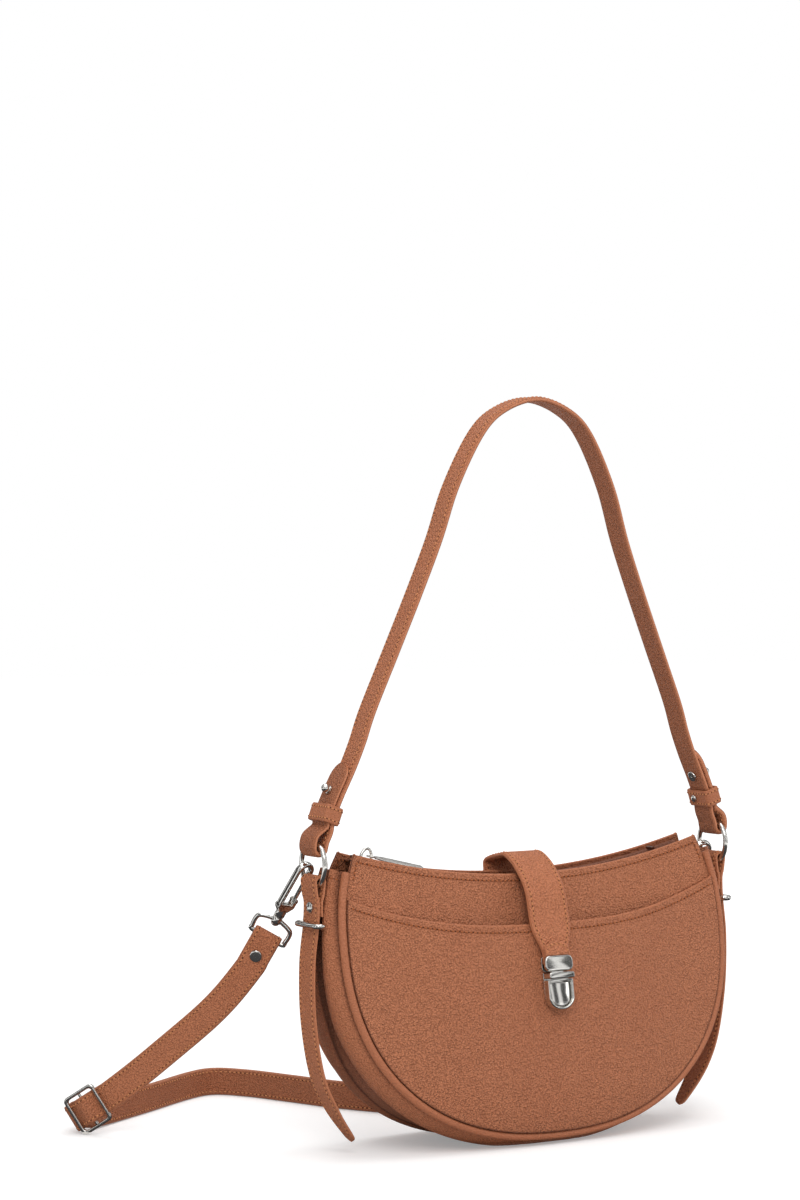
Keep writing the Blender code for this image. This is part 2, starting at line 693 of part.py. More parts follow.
def lining():
    """The cloth bag inside, open at the mouth, as one sheet with a wall."""
    rim_drop = TAPE_DROP + TAPE_THICK + 2 * GAP
    points, normal = outline(LINING_STEPS + 1, GUSSET_TOP_Z - rim_drop)
    lowest = fold_offset(points, 0.0, GUSSET_LEATHER + 2 * GAP)[:, 0]
    edge = -(BAND_LEATHER + PIPING_RADIUS + 2 * GAP)
    sheets = []
    for wall in (0.0, LINING_CLOTH):
        rim_offset = np.minimum(edge, lowest) - wall
        ring = points + normal * rim_offset[:, None]
        reach = ring[-1, 0]
        x = np.linspace(-reach, reach, LINING_STEPS + 1)
        top = np.column_stack([x, np.minimum(mouth_z(x, rim_drop), ring[0, 1])])
        top[0], top[-1] = ring[0], ring[-1]
        grid = fan_grid(ring, top, PANEL_ROWS)
        inset = PANEL_LEATHER + 2 * GAP + wall
        front = front_y(grid[..., 0], grid[..., 1]) + inset
        back = back_y(grid[..., 0], grid[..., 1]) - inset
        down = range(PANEL_ROWS, -1, -1)
        rows = [np.stack([grid[k, :, 0], front[k], grid[k, :, 1]], axis=-1) for k in down]
        for share in np.linspace(0, 1, 5)[1:-1]:
            bulge = np.clip(lowest - wall - rim_offset, 0, None) * sin(pi * share) ** 0.5
            set_out = points + normal * (rim_offset + bulge)[:, None]
            y = front[0] + (back[0] - front[0]) * share
            rows.append(np.stack([set_out[:, 0], y, set_out[:, 1]], axis=-1))
        rows += [np.stack([grid[k, :, 0], back[k], grid[k, :, 1]], axis=-1) for k in range(PANEL_ROWS + 1)]
        sheets.append(np.stack(rows))
    return thick_sheet("lining", sheets[0], sheets[1], "lining")


# Zip


def arc_point(x, lower, y=0.0):
    return np.array([x, y, float(mouth_z(x, lower))])


def arc_frame(x):
    """The directions along the zip, across it and up from it, at a place along it."""
    turn = asin(x / MOUTH_RADIUS)
    return np.array([cos(turn), 0, sin(turn)]), np.array([0, 1.0, 0]), np.array([-sin(turn), 0, cos(turn)])


def arc_bar(name, half_length, near_y, far_y, low, high, look):
    """A bar along the mouth's curve: near_y and far_y give its sides at each x, low and high its depths."""
    rows = []
    for x in np.linspace(-half_length, half_length, ARC_STEPS + 1):
        a, b = near_y(x), far_y(x)
        rows.append([arc_point(x, d, y) for d, y in ((low, a), (low, b), (high, b), (high, a))])
    return loft(name, rows, look)


def zip_parts():
    coil_low = TAPE_DROP + TAPE_THICK / 2 - COIL_HEIGHT / 2
    coil_high = coil_low + COIL_HEIGHT
    inner = COIL_SLIT / 2
    outer = inner + COIL_WIDTH

    def panel_face(x):
        z = float(mouth_z(x, TAPE_DROP))
        return float(half_depth(z)) - PANEL_LEATHER - GAP

    for name, side in (("front", -1), ("back", 1)):
        arc_bar(
            f"zip_coil_{name}", ZIP_HALF_LENGTH - STOP_LENGTH, lambda x: side * inner, lambda x: side * outer,
            coil_low, coil_high, "zip_tape",
        )
        arc_bar(
            f"zip_tape_{name}", ZIP_HALF_LENGTH, lambda x: side * (outer + GAP),
            lambda x: side * panel_face(x), TAPE_DROP, TAPE_DROP + TAPE_THICK, "zip_tape",
        )
    for name, side in (("left", LEFT), ("right", RIGHT)):
        at = side * (ZIP_HALF_LENGTH - STOP_LENGTH / 2 + GAP)
        if side == RIGHT:
            at = SLIDER_STOP_X + SLIDER_LENGTH + STOP_LENGTH
        along, across, up = arc_frame(at)
        centre = arc_point(at, coil_low - STOP_HEIGHT / 2 - GAP)
        slab(f"zip_stop_{name}", centre, (STOP_LENGTH, 2 * outer, STOP_HEIGHT), "nickel", (along, across, up))
    return coil_low, coil_high, outer


def zip_slider(coil_low, coil_high, coil_outer):
    """The slider round both coils, with a blade between them and a bail over it, and its pull."""
    pivot = (0, 0, MOUTH_CENTRE_Z)
    at = -SLIDER_START_X
    along, across, up = arc_frame(at)
    axes = (along, across, up)
    upper = arc_point(at, coil_low - SLIDE_GAP - SLIDER_PLATE / 2)
    lower = arc_point(at, coil_high + SLIDE_GAP + SLIDER_PLATE / 2)
    plate = (SLIDER_LENGTH, SLIDER_WIDTH, SLIDER_PLATE)
    body = slab("zip_slider", upper, plate, "nickel", axes, origin=pivot)
    under = slab("slider_under", lower, plate, "nickel", axes)
    blade_height = np.linalg.norm(upper - lower) + SLIDER_PLATE / 2
    blade = slab(
        "slider_blade", (upper + lower) / 2, (SLIDER_LENGTH * 0.6, SLIDER_BLADE, blade_height), "nickel", axes
    )
    combine(body, under, "UNION")
    combine(body, blade, "UNION")
    foot = SLIDER_PLATE / 2 - BAIL_WIRE / 2
    arch = []
    for turn in np.linspace(0, pi, 9):
        arch.append(upper + along * (-cos(turn) * BAIL_LENGTH / 2) + up * (foot + sin(turn) * BAIL_HEIGHT))
    bail = tube("slider_bail", arch, BAIL_WIRE, "nickel", sides=6)
    combine(body, bail, "UNION")
    grip = radians(33)
    hinge = upper + along * (cos(grip) * BAIL_LENGTH / 2 + GAP) + up * (foot + sin(grip) * BAIL_HEIGHT)
    flat = unit(along * PULL_LENGTH + up * PULL_RISE)
    start = hinge + flat * PULL_EYE_RADIUS
    path = np.array([start + flat * PULL_LENGTH * s for s in (0, 0.25, 0.9, 1)])
    widths = np.array([PULL_WIDTH * 0.6, PULL_WIDTH, PULL_WIDTH, PULL_WIDTH * 0.7])
    sections = ribbon_sections(path, np.tile(across, (4, 1)), widths, PULL_THICK)
    pull = loft("zip_pull", sections, "nickel", origin=hinge)
    eye_turns = np.linspace(0, 2 * pi, 12, endpoint=False)
    eye_line = [
        hinge + flat * (cos(t) * PULL_EYE_RADIUS) + across * (sin(t) * PULL_EYE_RADIUS) for t in eye_turns
    ]
    eye = tube("pull_eye", eye_line, PULL_THICK / 2, "nickel", sides=6, closed=True)
    combine(pull, eye, "UNION")
    print("zip hinge", pivot, "pull hinge", hinge.round(5), "travel",
          round(degrees(asin(SLIDER_START_X / MOUTH_RADIUS) + asin(SLIDER_STOP_X / MOUTH_RADIUS)), 2))


# Flap strap and lock


def lock_place():
    """A function that puts (across, up, out) on the pocket's face at the lock, and the two directions."""
    base = np.array([0, float(pocket_y(0, LOCK_Z)), LOCK_Z])
    low = np.array([0, float(pocket_y(0, LOCK_Z - SHIELD_HEIGHT)), LOCK_Z - SHIELD_HEIGHT])
    up = unit(base - low)
    out = np.cross([1.0, 0, 0], -up)
    if out[1] > 0:
        out = -out

    def place(across, height, outwards):
        return base + np.array([across, 0, 0]) + up * height + out * outwards

    return place, up, out


def flap_route(place):
    """The strap's middle line in the YZ plane, from its hinge behind the bag to the lock."""
    hinge_y = float(back_y(0, FLAP_HINGE_Z - FLAP_LEATHER * 1.5)) + GAP + FLAP_LEATHER / 2
    lie = FLAP_LEATHER / 2 + 2 * GAP
    foot = FLAP_HINGE_Z + GAP / 2
    points = [(hinge_y, foot), (hinge_y, foot + FLAP_LEATHER)]
    for share in (0.45, 0.75):
        z = FLAP_HINGE_Z + (FLAP_ARCH_Z - FLAP_HINGE_Z) * share
        points.append((hinge_y - FLAP_LEATHER * share**3 * 1.4, z))
    points.append((MOUTH_HALF_DEPTH * 0.42, FLAP_ARCH_Z - FLAP_LEATHER / 2 - GAP))
    points.append((-MOUTH_HALF_DEPTH * 0.30, FLAP_ARCH_Z - FLAP_LEATHER / 2))
    front_z = MOUTH_Z - MOUTH_DIP
    points.append((float(front_y(0, front_z)) - lie * 0.8, front_z + FLAP_LEATHER * 1.6))
    for z in (front_z - 0.3 * (front_z - POCKET_EDGE_Z), POCKET_EDGE_Z + FLAP_LEATHER):
        points.append((float(pocket_y(0, z)) - lie, z))
    for height in (PLATE_FOOT + PLATE_HEIGHT + PLATE_CORNER, PLATE_FOOT + PLATE_HEIGHT / 2):
        points.append(tuple(place(0, height, STRAP_OUT)[1:]))
    return np.array(points)


def flap_strap(place):
    route = flap_route(place)
    line = np.vstack([smooth_line(route[:-1], 6), route[-1:]])
    path = np.column_stack([np.zeros(len(line)), line])
    height = path[:, 2]
    narrowing = np.clip((POCKET_EDGE_Z - height) / PLATE_HEIGHT / 2, 0, 1)
    wide = FLAP_WIDTH + (FLAP_END_WIDTH - FLAP_WIDTH) * narrowing
    wide[path[:, 1] > -MOUTH_HALF_DEPTH] = FLAP_WIDTH
    hinge = np.array([0, path[0, 1] + FLAP_LEATHER / 2, FLAP_HINGE_Z])
    across = np.tile([1.0, 0, 0], (len(path), 1))
    ribbon("flap_strap", path, across, wide, FLAP_LEATHER, "leather", origin=hinge)
    print("flap hinge", hinge.round(5))
    foot = FLAP_HINGE_Z - GAP / 2
    anchor = [(0, path[0, 1], foot), (0, path[0, 1], foot - FLAP_LEATHER)]
    for share in (0.3, 0.5, 0.75, 0.9, 1):
        z = foot - share * FLAP_ANCHOR_LENGTH
        anchor.append((0, max(path[0, 1], float(back_y(0, z)) + 2 * GAP + FLAP_LEATHER / 2), z))
    narrow = np.array([1, 1, 1, 1, 1, 0.9, 0.55]) * FLAP_WIDTH
    ribbon("flap_anchor", anchor, np.tile([1.0, 0, 0], (7, 1)), narrow, FLAP_LEATHER, "leather")
    return path, hinge


def shield(width, height, top, steps=8):
    """A loop with a straight top and a round bottom."""
    radius = width / 2
    points = [(radius, top), (-radius, top)]
    for turn in np.linspace(pi, 2 * pi, steps + 1):
        points.append((radius * cos(turn), top - height + radius * 0.8 + radius * 0.8 * sin(turn)))
    return points


def lock(place, up, out, flap_path, hinge):
    """The push lock: a barred base with a sliding button, and the plate and tongue on the strap."""
    across = np.array([1.0, 0, 0])
    axes = (across, up, out)
    back = GAP + LOCK_BACK_THICK
    seat = back + GAP
    under_bar = -BAR_HEIGHT / 2 - GAP
    whole = SHIELD_HEIGHT + BAR_HEIGHT
    back_plate = shield(SHIELD_WIDTH - LOCK_BEVEL, whole, BAR_HEIGHT / 2 - GAP)
    outline_plate("lock_base", back_plate, (GAP, back), place, "nickel")
    bar = slab(
        "lock_bar", place(0, 0, seat + BAR_DEPTH / 2), (LOCK_WIDTH, BAR_HEIGHT, BAR_DEPTH), "nickel", axes
    )
    slot_low = STRAP_OUT - TONGUE_THICK / 2 - SLIDE_GAP
    slot_high = seat + BAR_DEPTH - SLIDE_GAP * 2.5
    slot = slab(
        "lock_slot",
        place(0, BAR_HEIGHT / 2 - SLOT_DEPTH / 2 + OVERRUN / 2, (slot_low + slot_high) / 2),
        (SLOT_WIDTH, SLOT_DEPTH + OVERRUN, slot_high - slot_low), "nickel", axes,
    )
    combine(bar, slot, "DIFFERENCE")
    outer = shield(SHIELD_WIDTH, SHIELD_HEIGHT, under_bar)
    inner = shield(SHIELD_WIDTH - 2 * SHIELD_RIM, SHIELD_HEIGHT - SHIELD_RIM, under_bar)
    sections = []
    for (a, u), (b, v) in zip(outer[1:] + outer[:1], inner[1:] + inner[:1]):
        sections.append([
            place(a, u, seat), place(a, u, seat + SHIELD_RIM_DEPTH * 0.75),
            place((a + b) / 2, (u + v) / 2, seat + SHIELD_RIM_DEPTH),
            place(b, v, seat + SHIELD_RIM_DEPTH * 0.8), place(b, v, seat),
        ])
    loft("lock_rim", sections, "nickel", sharp=radians(60))
    button_width = SHIELD_WIDTH - 2 * SHIELD_RIM - 2 * SLIDE_GAP
    button_height = SHIELD_HEIGHT - SHIELD_RIM - BUTTON_TRAVEL - 3 * SLIDE_GAP
    button = shield(button_width, button_height, under_bar - BUTTON_TRAVEL - 2 * SLIDE_GAP)
    outline_plate(
        "lock_button", button, (seat, seat + BUTTON_DEPTH), place, "nickel", bevel=LOCK_BEVEL * 2,
        origin=place(0, 0, 0),
    )
    plate_low = STRAP_OUT + FLAP_LEATHER / 2 + GAP
    face = rounded_rectangle(
        LOCK_WIDTH, PLATE_HEIGHT, PLATE_CORNER, (0, PLATE_FOOT + PLATE_HEIGHT / 2)
    )
    plate_out = (plate_low, plate_low + PLATE_DEPTH)
    outline_plate("lock_plate", face, plate_out, place, "nickel", bevel=LOCK_BEVEL, origin=hinge)
    clamp_high = STRAP_OUT - FLAP_LEATHER / 2 - GAP
    clamp = rounded_rectangle(
        LOCK_WIDTH - LOCK_BEVEL, PLATE_HEIGHT, PLATE_CORNER, (0, PLATE_FOOT + PLATE_HEIGHT / 2)
    )
    outline_plate(
        "lock_clamp", clamp, (clamp_high - LOCK_BACK_THICK, clamp_high), place, "nickel", origin=hinge
    )
    tongue_top = PLATE_FOOT + PLATE_HEIGHT / 2 - GAP
    tongue_bottom = BAR_HEIGHT / 2 - TONGUE_ENGAGED
    slab(
        "lock_tongue", place(0, (tongue_top + tongue_bottom) / 2, STRAP_OUT),
        (TONGUE_WIDTH, tongue_top - tongue_bottom, TONGUE_THICK), "nickel", axes, origin=hinge,
    )
    print("lock button slides along", up.round(5), "from", place(0, 0, 0).round(5))
    heights = (flap_path - place(0, 0, 0)) @ up
    outs = (flap_path - place(0, 0, 0)) @ out
    facing = np.flatnonzero((heights > 0) & (outs > 0) & (heights < PLATE_HEIGHT * 4))[::-1]
    patch_rows = []
    for share, wide in zip(np.linspace(0, 1, 6), (1, 1, 0.98, 0.9, 0.72, 0.4)):
        height = PLATE_FOOT + PLATE_HEIGHT + GAP + PATCH_LENGTH * share
        low = float(np.interp(height, heights[facing], outs[facing])) + FLAP_LEATHER / 2 + GAP * 1.5
        half = FLAP_END_WIDTH * wide / 2
        high = low + PATCH_LEATHER
        patch_rows.append([place(half, height, high), place(-half, height, high),
                           place(-half, height, low), place(half, height, low)])
    loft("flap_end_patch", patch_rows, "leather", origin=hinge)


# Rings, tabs and handle


def ring(name, side):
    turns = np.linspace(0, 2 * pi, RING_STEPS, endpoint=False)
    line = [(0, RING_RADIUS * cos(t), RING_RADIUS * sin(t)) for t in turns]
    thing = wire(name, line, RING_WIRE, "nickel", closed=True, resolution=1)
    thing.location = (side * RING_X, 0, RING_Z)
    return thing


def ring_seat(width):
    """Height above the ring's centre at which a strap of that width meets the inside of the ring."""
    return sqrt((RING_RADIUS - RING_WIRE) ** 2 - (width / 2) ** 2)


def tab(name, side):
    """A strip looped under the ring, riveted, and left to hang below its keeper."""
    loop = RING_WIRE + GAP * 2 + TAB_LEATHER / 2
    low = RING_Z - ring_seat(TAB_WIDTH) + GAP + TAB_LEATHER / 2 - loop
    inner_x = RING_X - TAB_LEATHER / 2 - GAP / 2
    outer_x = RING_X + TAB_LEATHER / 2 + GAP / 2
    path = [(inner_x, KEEPER_Z + KEEPER_WIRE * 2 + TAB_LEATHER), (inner_x, TAB_RIVET_Z + TAB_RIVET_RADIUS)]
    path += [(RING_X - loop * 0.7, (TAB_RIVET_Z + low) / 2)]
    for turn in np.linspace(pi, 0, 9):
        path.append((RING_X + loop * cos(turn), low + loop * sin(turn)))
    path += [(RING_X + loop * 0.7, (TAB_RIVET_Z + low) / 2)]
    path += [(outer_x, TAB_RIVET_Z + TAB_RIVET_RADIUS), (outer_x, TAB_RIVET_Z - TAB_RIVET_RADIUS)]
    path += [(outer_x + GAP, KEEPER_Z + TAB_LEATHER), (outer_x + GAP * 2, KEEPER_Z - TAB_LEATHER)]
    drop = KEEPER_Z - TAB_LEATHER
    tail_shares = ((0.165, 0.022), (0.40, 0.016), (0.64, -0.027), (0.80, -0.103), (0.945, -0.207))
    path += [(outer_x + reach * drop, drop * (1 - fall)) for fall, reach in tail_shares]
    line = smooth_line(path, 6)
    line = line[thin_out(line, TAB_WIDTH)]
    points = np.column_stack([side * line[:, 0], np.zeros(len(line)), line[:, 1]])
    along = np.concatenate([[0], np.cumsum(np.linalg.norm(np.diff(line, axis=0), axis=1))])
    left = along[-1] - along
    wide = TAB_TIP_WIDTH + (TAB_WIDTH - TAB_TIP_WIDTH) * np.clip(left / (TAB_WIDTH * 1.6), 0, 1) ** 0.6
    ribbon(name, points, np.tile([0, 1.0, 0], (len(points), 1)), wide, TAB_LEATHER, "leather_shade")
    return outer_x, inner_x


def tab_fittings(name, side, outer_x, inner_x):
    """The rivet through the tab, its keeper ring and the leather tongue that holds the keeper."""
    face = side * (outer_x + TAB_LEATHER / 2 + GAP)
    profile = [(0, 0), (TAB_RIVET_RADIUS, 0), (TAB_RIVET_RADIUS, TAB_RIVET_HEAD * 0.5)]
    profile += [(TAB_RIVET_RADIUS * 0.7, TAB_RIVET_HEAD), (0, TAB_RIVET_HEAD)]
    turned(f"tab_rivet_{name}", profile, (face, 0, TAB_RIVET_Z), (side, 0, 0), "nickel", sides=14)
    near = inner_x - TAB_LEATHER / 2 + KEEPER_WIRE - GAP
    far = outer_x + 2 * GAP + TAB_LEATHER / 2 + GAP + KEEPER_WIRE
    corner = (far - near) / 2
    middle = (far + near) / 2
    line = []
    for centre, start in ((KEEPER_HALF_LENGTH - corner, 0), (corner - KEEPER_HALF_LENGTH, pi)):
        for turn in np.linspace(start, start + pi, 8):
            line.append((side * (middle + corner * cos(turn)), centre + corner * sin(turn), KEEPER_Z))
    wire(f"tab_keeper_{name}", line, KEEPER_WIRE, "nickel", closed=True, resolution=1)
    return near


HANDLE_ARCH_SHARES = ((0.951, 0.069), (0.941, 0.098), (0.904, 0.144), (0.852, 0.200), (0.808, 0.255))
HANDLE_ARCH_SHARES += ((0.763, 0.322), (0.660, 0.445), (0.557, 0.569), (0.467, 0.684), (0.388, 0.803))
HANDLE_ARCH_SHARES += ((0.270, 0.918), (0.158, 0.970), (0.0, 0.994))


def handle_half():
    """Middle line of half the handle's strap: its end, the fold under the ring, and up to the apex."""
    rise = HANDLE_APEX_Z - RING_Z
    arch = [(RING_X * across, RING_Z + rise * up) for across, up in HANDLE_ARCH_SHARES]
    strand = smooth_line(arch, 8)
    slope = unit(np.gradient(strand, axis=0))
    outward = np.column_stack([slope[:, 1], -slope[:, 0]])
    lap = strand + outward * (HANDLE_LEATHER + GAP * 1.3)
    loop = HANDLE_LOOP_RADIUS
    under = RING_Z + ring_seat(HANDLE_WIDTH) - GAP - HANDLE_LEATHER / 2 + loop
    fold = [tuple(lap[k]) for k in (25, 21, 17, 13, 9, 6, 3)]
    fold += [(RING_X + loop * 0.5, under + loop * 2), (RING_X + loop * 0.96, under + loop * 0.9)]
    for turn in np.linspace(0, -pi, 7):
        fold.append((RING_X + loop * cos(turn), under + loop * sin(turn)))
    fold.append((RING_X - loop * 1.2, under + loop * 0.8))
    return np.array(fold + arch)


def handle():
    half = handle_half()
    left = np.column_stack([-half[:, 0], half[:, 1]])
    line = smooth_line(np.vstack([left, half[::-1][1:]]), 6)
    line[:, 0] += np.clip((line[:, 1] - RING_Z) / (HANDLE_APEX_Z - RING_Z), 0, 1) * HANDLE_LEAN
    line = line[thin_out(line, HANDLE_WIDTH)]
    points = np.column_stack([line[:, 0], np.zeros(len(line)), line[:, 1]])
    along = np.concatenate([[0], np.cumsum(np.linalg.norm(np.diff(line, axis=0), axis=1))])
    end = np.minimum(along, along[-1] - along)
    full = np.clip(end / (HANDLE_WIDTH * 0.7), 0, 1) ** 0.5
    wide = HANDLE_TIP_WIDTH + (HANDLE_WIDTH - HANDLE_TIP_WIDTH) * full
    pivot = (0, 0, RING_Z)
    across = np.tile([0, 1.0, 0], (len(points), 1))
    ribbon("handle_strap", points, across, wide, HANDLE_LEATHER, "leather", pivot)
    print("handle strap length", round(along[-1], 4))
    handle_fittings("left", LEFT, points, pivot)
    handle_fittings("right", RIGHT, points[::-1], pivot)


def layer_spots(points, height):
    """Where the strap crosses a height, counted from its end: the outer layer first, then the inner one."""
    spots = []
    for a, b in zip(points, points[1:]):
        if (a[2] - height) * (b[2] - height) <= 0 and a[2] != b[2]:
            spots.append((a + (b - a) * (height - a[2]) / (b[2] - a[2]), unit(b - a)))
    return spots[:2]


def handle_fittings(name, side, points, pivot):
    """The leather band round both layers, and the ball stud with its screw."""
    across = np.array([0, 1.0, 0])
    (outer, _), (inner, along) = layer_spots(points, RING_Z + HANDLE_BAND_RISE)
    facing = np.cross(across, along)
    facing = facing * np.sign(facing[0]) * side
    depth = np.dot(outer - inner, facing) + HANDLE_LEATHER + 5 * GAP
    centre = inner + facing * np.dot(outer - inner, facing) / 2
    width = HANDLE_WIDTH + 2 * GAP
    sections = []
    for a, b in ((-1, -1), (1, -1), (1, 1), (-1, 1)):
        rows = []
        for wall, height in ((0, -1), (HANDLE_BAND_WALL, -1), (HANDLE_BAND_WALL, 1), (0, 1)):
            rows.append(
                centre + facing * a * (depth / 2 + wall) + across * b * (width / 2 + wall)
                + along * height * HANDLE_BAND_HEIGHT / 2
            )
        sections.append(rows)
    loft(f"handle_band_{name}", sections, "leather", closed=True, origin=pivot)
    dome = [(0, 0), (BAND_STUD_RADIUS, 0), (BAND_STUD_RADIUS, BAND_STUD_RISE * 0.3)]
    for turn in np.linspace(radians(30), radians(75), 3):
        dome.append((BAND_STUD_RADIUS * cos(turn), BAND_STUD_RISE * (0.3 + 0.7 * sin(turn))))
    dome.append((0, BAND_STUD_RISE))
    seat = centre - facing * (depth / 2 + HANDLE_BAND_WALL + GAP) + across * BAND_STUD_SET_BACK
    turned(f"band_stud_{name}", dome, seat, -facing, "nickel", sides=14, origin=pivot)
    stud_z = RING_Z + HANDLE_BAND_RISE + HANDLE_BAND_HEIGHT * 1.3
    (outer, _), (inner, along) = layer_spots(points, stud_z)
    facing = np.cross(across, along)
    facing = facing * np.sign(facing[0]) * side
    ball = [(0, 0), (STUD_BASE, 0), (STUD_BASE, GAP * 2), (STUD_NECK, GAP * 3), (STUD_NECK, STUD_NECK * 0.8)]
    middle = STUD_NECK * 0.8 + STUD_BALL * 0.85
    for turn in np.linspace(radians(-55), radians(75), 5):
        ball.append((STUD_BALL * cos(turn), middle + STUD_BALL * sin(turn)))
    ball.append((0, middle + STUD_BALL))
    stand = HANDLE_LEATHER / 2 + GAP * 1.5
    turned(f"ball_stud_{name}", ball, outer + facing * stand, facing, "nickel", sides=12, origin=pivot)
    disc = [(0, 0), (SCREW_RADIUS, 0), (SCREW_RADIUS, SCREW_THICK * 0.6), (SCREW_RADIUS * 0.8, SCREW_THICK)]
    disc.append((0, SCREW_THICK))
    turned(f"stud_screw_{name}", disc, inner - facing * stand, -facing, "nickel", sides=12, origin=pivot)


# Snap hooks


def hook_frame(side, ring_turn, lead, flip):
    """The place where the hook holds the ring, and its directions: along, sideways and square to it."""
    spot = np.array([side * RING_X, RING_RADIUS * cos(ring_turn), RING_Z + RING_RADIUS * sin(ring_turn)])
    wire_way = np.array([0, -sin(ring_turn), cos(ring_turn)])
    along = unit(lead)
    square = unit(wire_way - np.dot(wire_way, along) * along)
    sideways = np.cross(square, along) * flip
    return spot - along * HOOK_HANG, along, sideways, square


def snap_hook(name, frame, strap_side):
    """The hook with its block and stem, its gate and pin, and the eye that turns on it for the strap."""
    centre, along, sideways, square = frame

    def at(u, v, w=0.0):
        return centre + along * u + sideways * v + square * w

    bend = [at(HOOK_BLOCK_START + HOOK_THICK / 2, -HOOK_RADIUS), at(HOOK_BLOCK_START / 2, -HOOK_RADIUS)]
    for turn in np.linspace(-pi / 2, pi / 2, 9):
        bend.append(at(-HOOK_RADIUS * cos(turn), HOOK_RADIUS * sin(turn)))
    bend.append(at(HOOK_TIP_OVERHANG, HOOK_RADIUS))
    hook = ribbon(
        f"hook_{name}", bend, np.tile(square, (len(bend), 1)), HOOK_WIDTH, HOOK_THICK, "nickel",
        origin=at(HOOK_BARREL_END, 0),
    )
    axes = (along, sideways, square)
    block_width = 2 * HOOK_RADIUS + HOOK_THICK + GAP
    block = slab(
        f"block_{name}", at((HOOK_BLOCK_START + HOOK_BLOCK_END) / 2, 0),
        (HOOK_BLOCK_END - HOOK_BLOCK_START, block_width, HOOK_WIDTH + 2 * GAP), "nickel", axes,
    )
    combine(hook, block, "UNION")
    lug_length = HOOK_BLOCK_START - GATE_PIVOT + 2 * PIN_RADIUS + OVERRUN
    lug_at = HOOK_BLOCK_START + OVERRUN - lug_length / 2
    for face in (-1, 1):
        lug = slab(
            f"lug_{name}_{face + 1}",
            at(lug_at, HOOK_RADIUS, face * (HOOK_WIDTH + GAP - LUG_THICK) / 2),
            (lug_length, HOOK_THICK, LUG_THICK), "nickel", axes,
        )
        combine(hook, lug, "UNION")
    stem_start = HOOK_BLOCK_END - OVERRUN / 2
    stem = [(0, 0), (HOOK_BARREL_RADIUS, 0), (HOOK_BARREL_RADIUS, HOOK_BARREL_END - stem_start)]
    neck_end = HOOK_BARREL_END + EYE_COLLAR + 2 * GAP - stem_start
    stem += [(HOOK_NECK_RADIUS, HOOK_BARREL_END - stem_start), (HOOK_NECK_RADIUS, neck_end)]
    stem += [(HOOK_HEAD_RADIUS, neck_end), (HOOK_HEAD_RADIUS, neck_end + HOOK_HEAD_THICK * 0.6)]
    stem += [(HOOK_HEAD_RADIUS * 0.6, neck_end + HOOK_HEAD_THICK), (0, neck_end + HOOK_HEAD_THICK)]
    combine(hook, turned(f"stem_{name}", stem, at(stem_start, 0), along, "nickel", sides=14), "UNION")
    pivot = at(GATE_PIVOT, HOOK_RADIUS)
    bore = [(PIN_RADIUS + GAP / 3, -HOOK_WIDTH), (PIN_RADIUS + GAP / 3, HOOK_WIDTH)]
    combine(hook, turned(f"bore_{name}", bore, pivot, square, "nickel", sides=12), "DIFFERENCE")

    gate_start, gate_end = HOOK_TIP_OVERHANG + SLIDE_GAP, HOOK_BLOCK_START - SLIDE_GAP
    gate = slab(
        f"gate_{name}", at((gate_start + gate_end) / 2, HOOK_RADIUS),
        (gate_end - gate_start, GATE_THICK, GATE_WIDTH - 2 * SLIDE_GAP + GAP), "nickel", axes, origin=pivot,
    )
    combine(gate, turned(f"gate_bore_{name}", bore, pivot, square, "nickel", sides=12), "DIFFERENCE")
    reach = HOOK_WIDTH / 2 + GAP
    pin = [(0, -reach - PIN_HEAD), (PIN_RADIUS * 1.6, -reach - PIN_HEAD), (PIN_RADIUS * 1.6, -reach)]
    pin += [(PIN_RADIUS, -reach), (PIN_RADIUS, reach), (PIN_RADIUS * 1.6, reach)]
    pin += [(PIN_RADIUS * 1.6, reach + PIN_HEAD), (0, reach + PIN_HEAD)]
    turned(f"gate_pin_{name}", pin, pivot, square, "nickel", sides=12, origin=pivot)

    collar_at = HOOK_BARREL_END + GAP
    hole = HOOK_NECK_RADIUS + GAP
    profile = [(hole, 0), (EYE_COLLAR_RADIUS, 0), (EYE_COLLAR_RADIUS, EYE_COLLAR), (hole, EYE_COLLAR)]
    eye = ring_solid(f"strap_eye_{name}", profile, at(collar_at, 0), along, "nickel", sides=14)
    middle = collar_at + EYE_COLLAR / 2
    loop = [(0, EYE_COLLAR_RADIUS - EYE_WIRE / 2), (EYE_WIRE, EYE_HALF_WIDTH * 0.72)]
    loop += [(EYE_LENGTH * 0.3, EYE_HALF_WIDTH), (EYE_LENGTH * 0.8, EYE_HALF_WIDTH)]
    loop.append((EYE_LENGTH, EYE_HALF_WIDTH * 0.85))
    loop += [(u, -v) for u, v in reversed(loop)]
    eye_line = [at(middle + u, 0) + strap_side * v for u, v in smooth_line(loop, 3)]
    combine(eye, tube(f"eye_wire_{name}", eye_line, EYE_WIRE, "nickel"), "UNION")
    print("hook", name, "swivel at", at(HOOK_BARREL_END, 0).round(5), "along", along.round(5))
    print("gate", name, "pivot", pivot.round(5), "axis", square.round(5), "sideways", sideways.round(5))
    return at(middle + EYE_LENGTH, 0)


# Crossbody strap


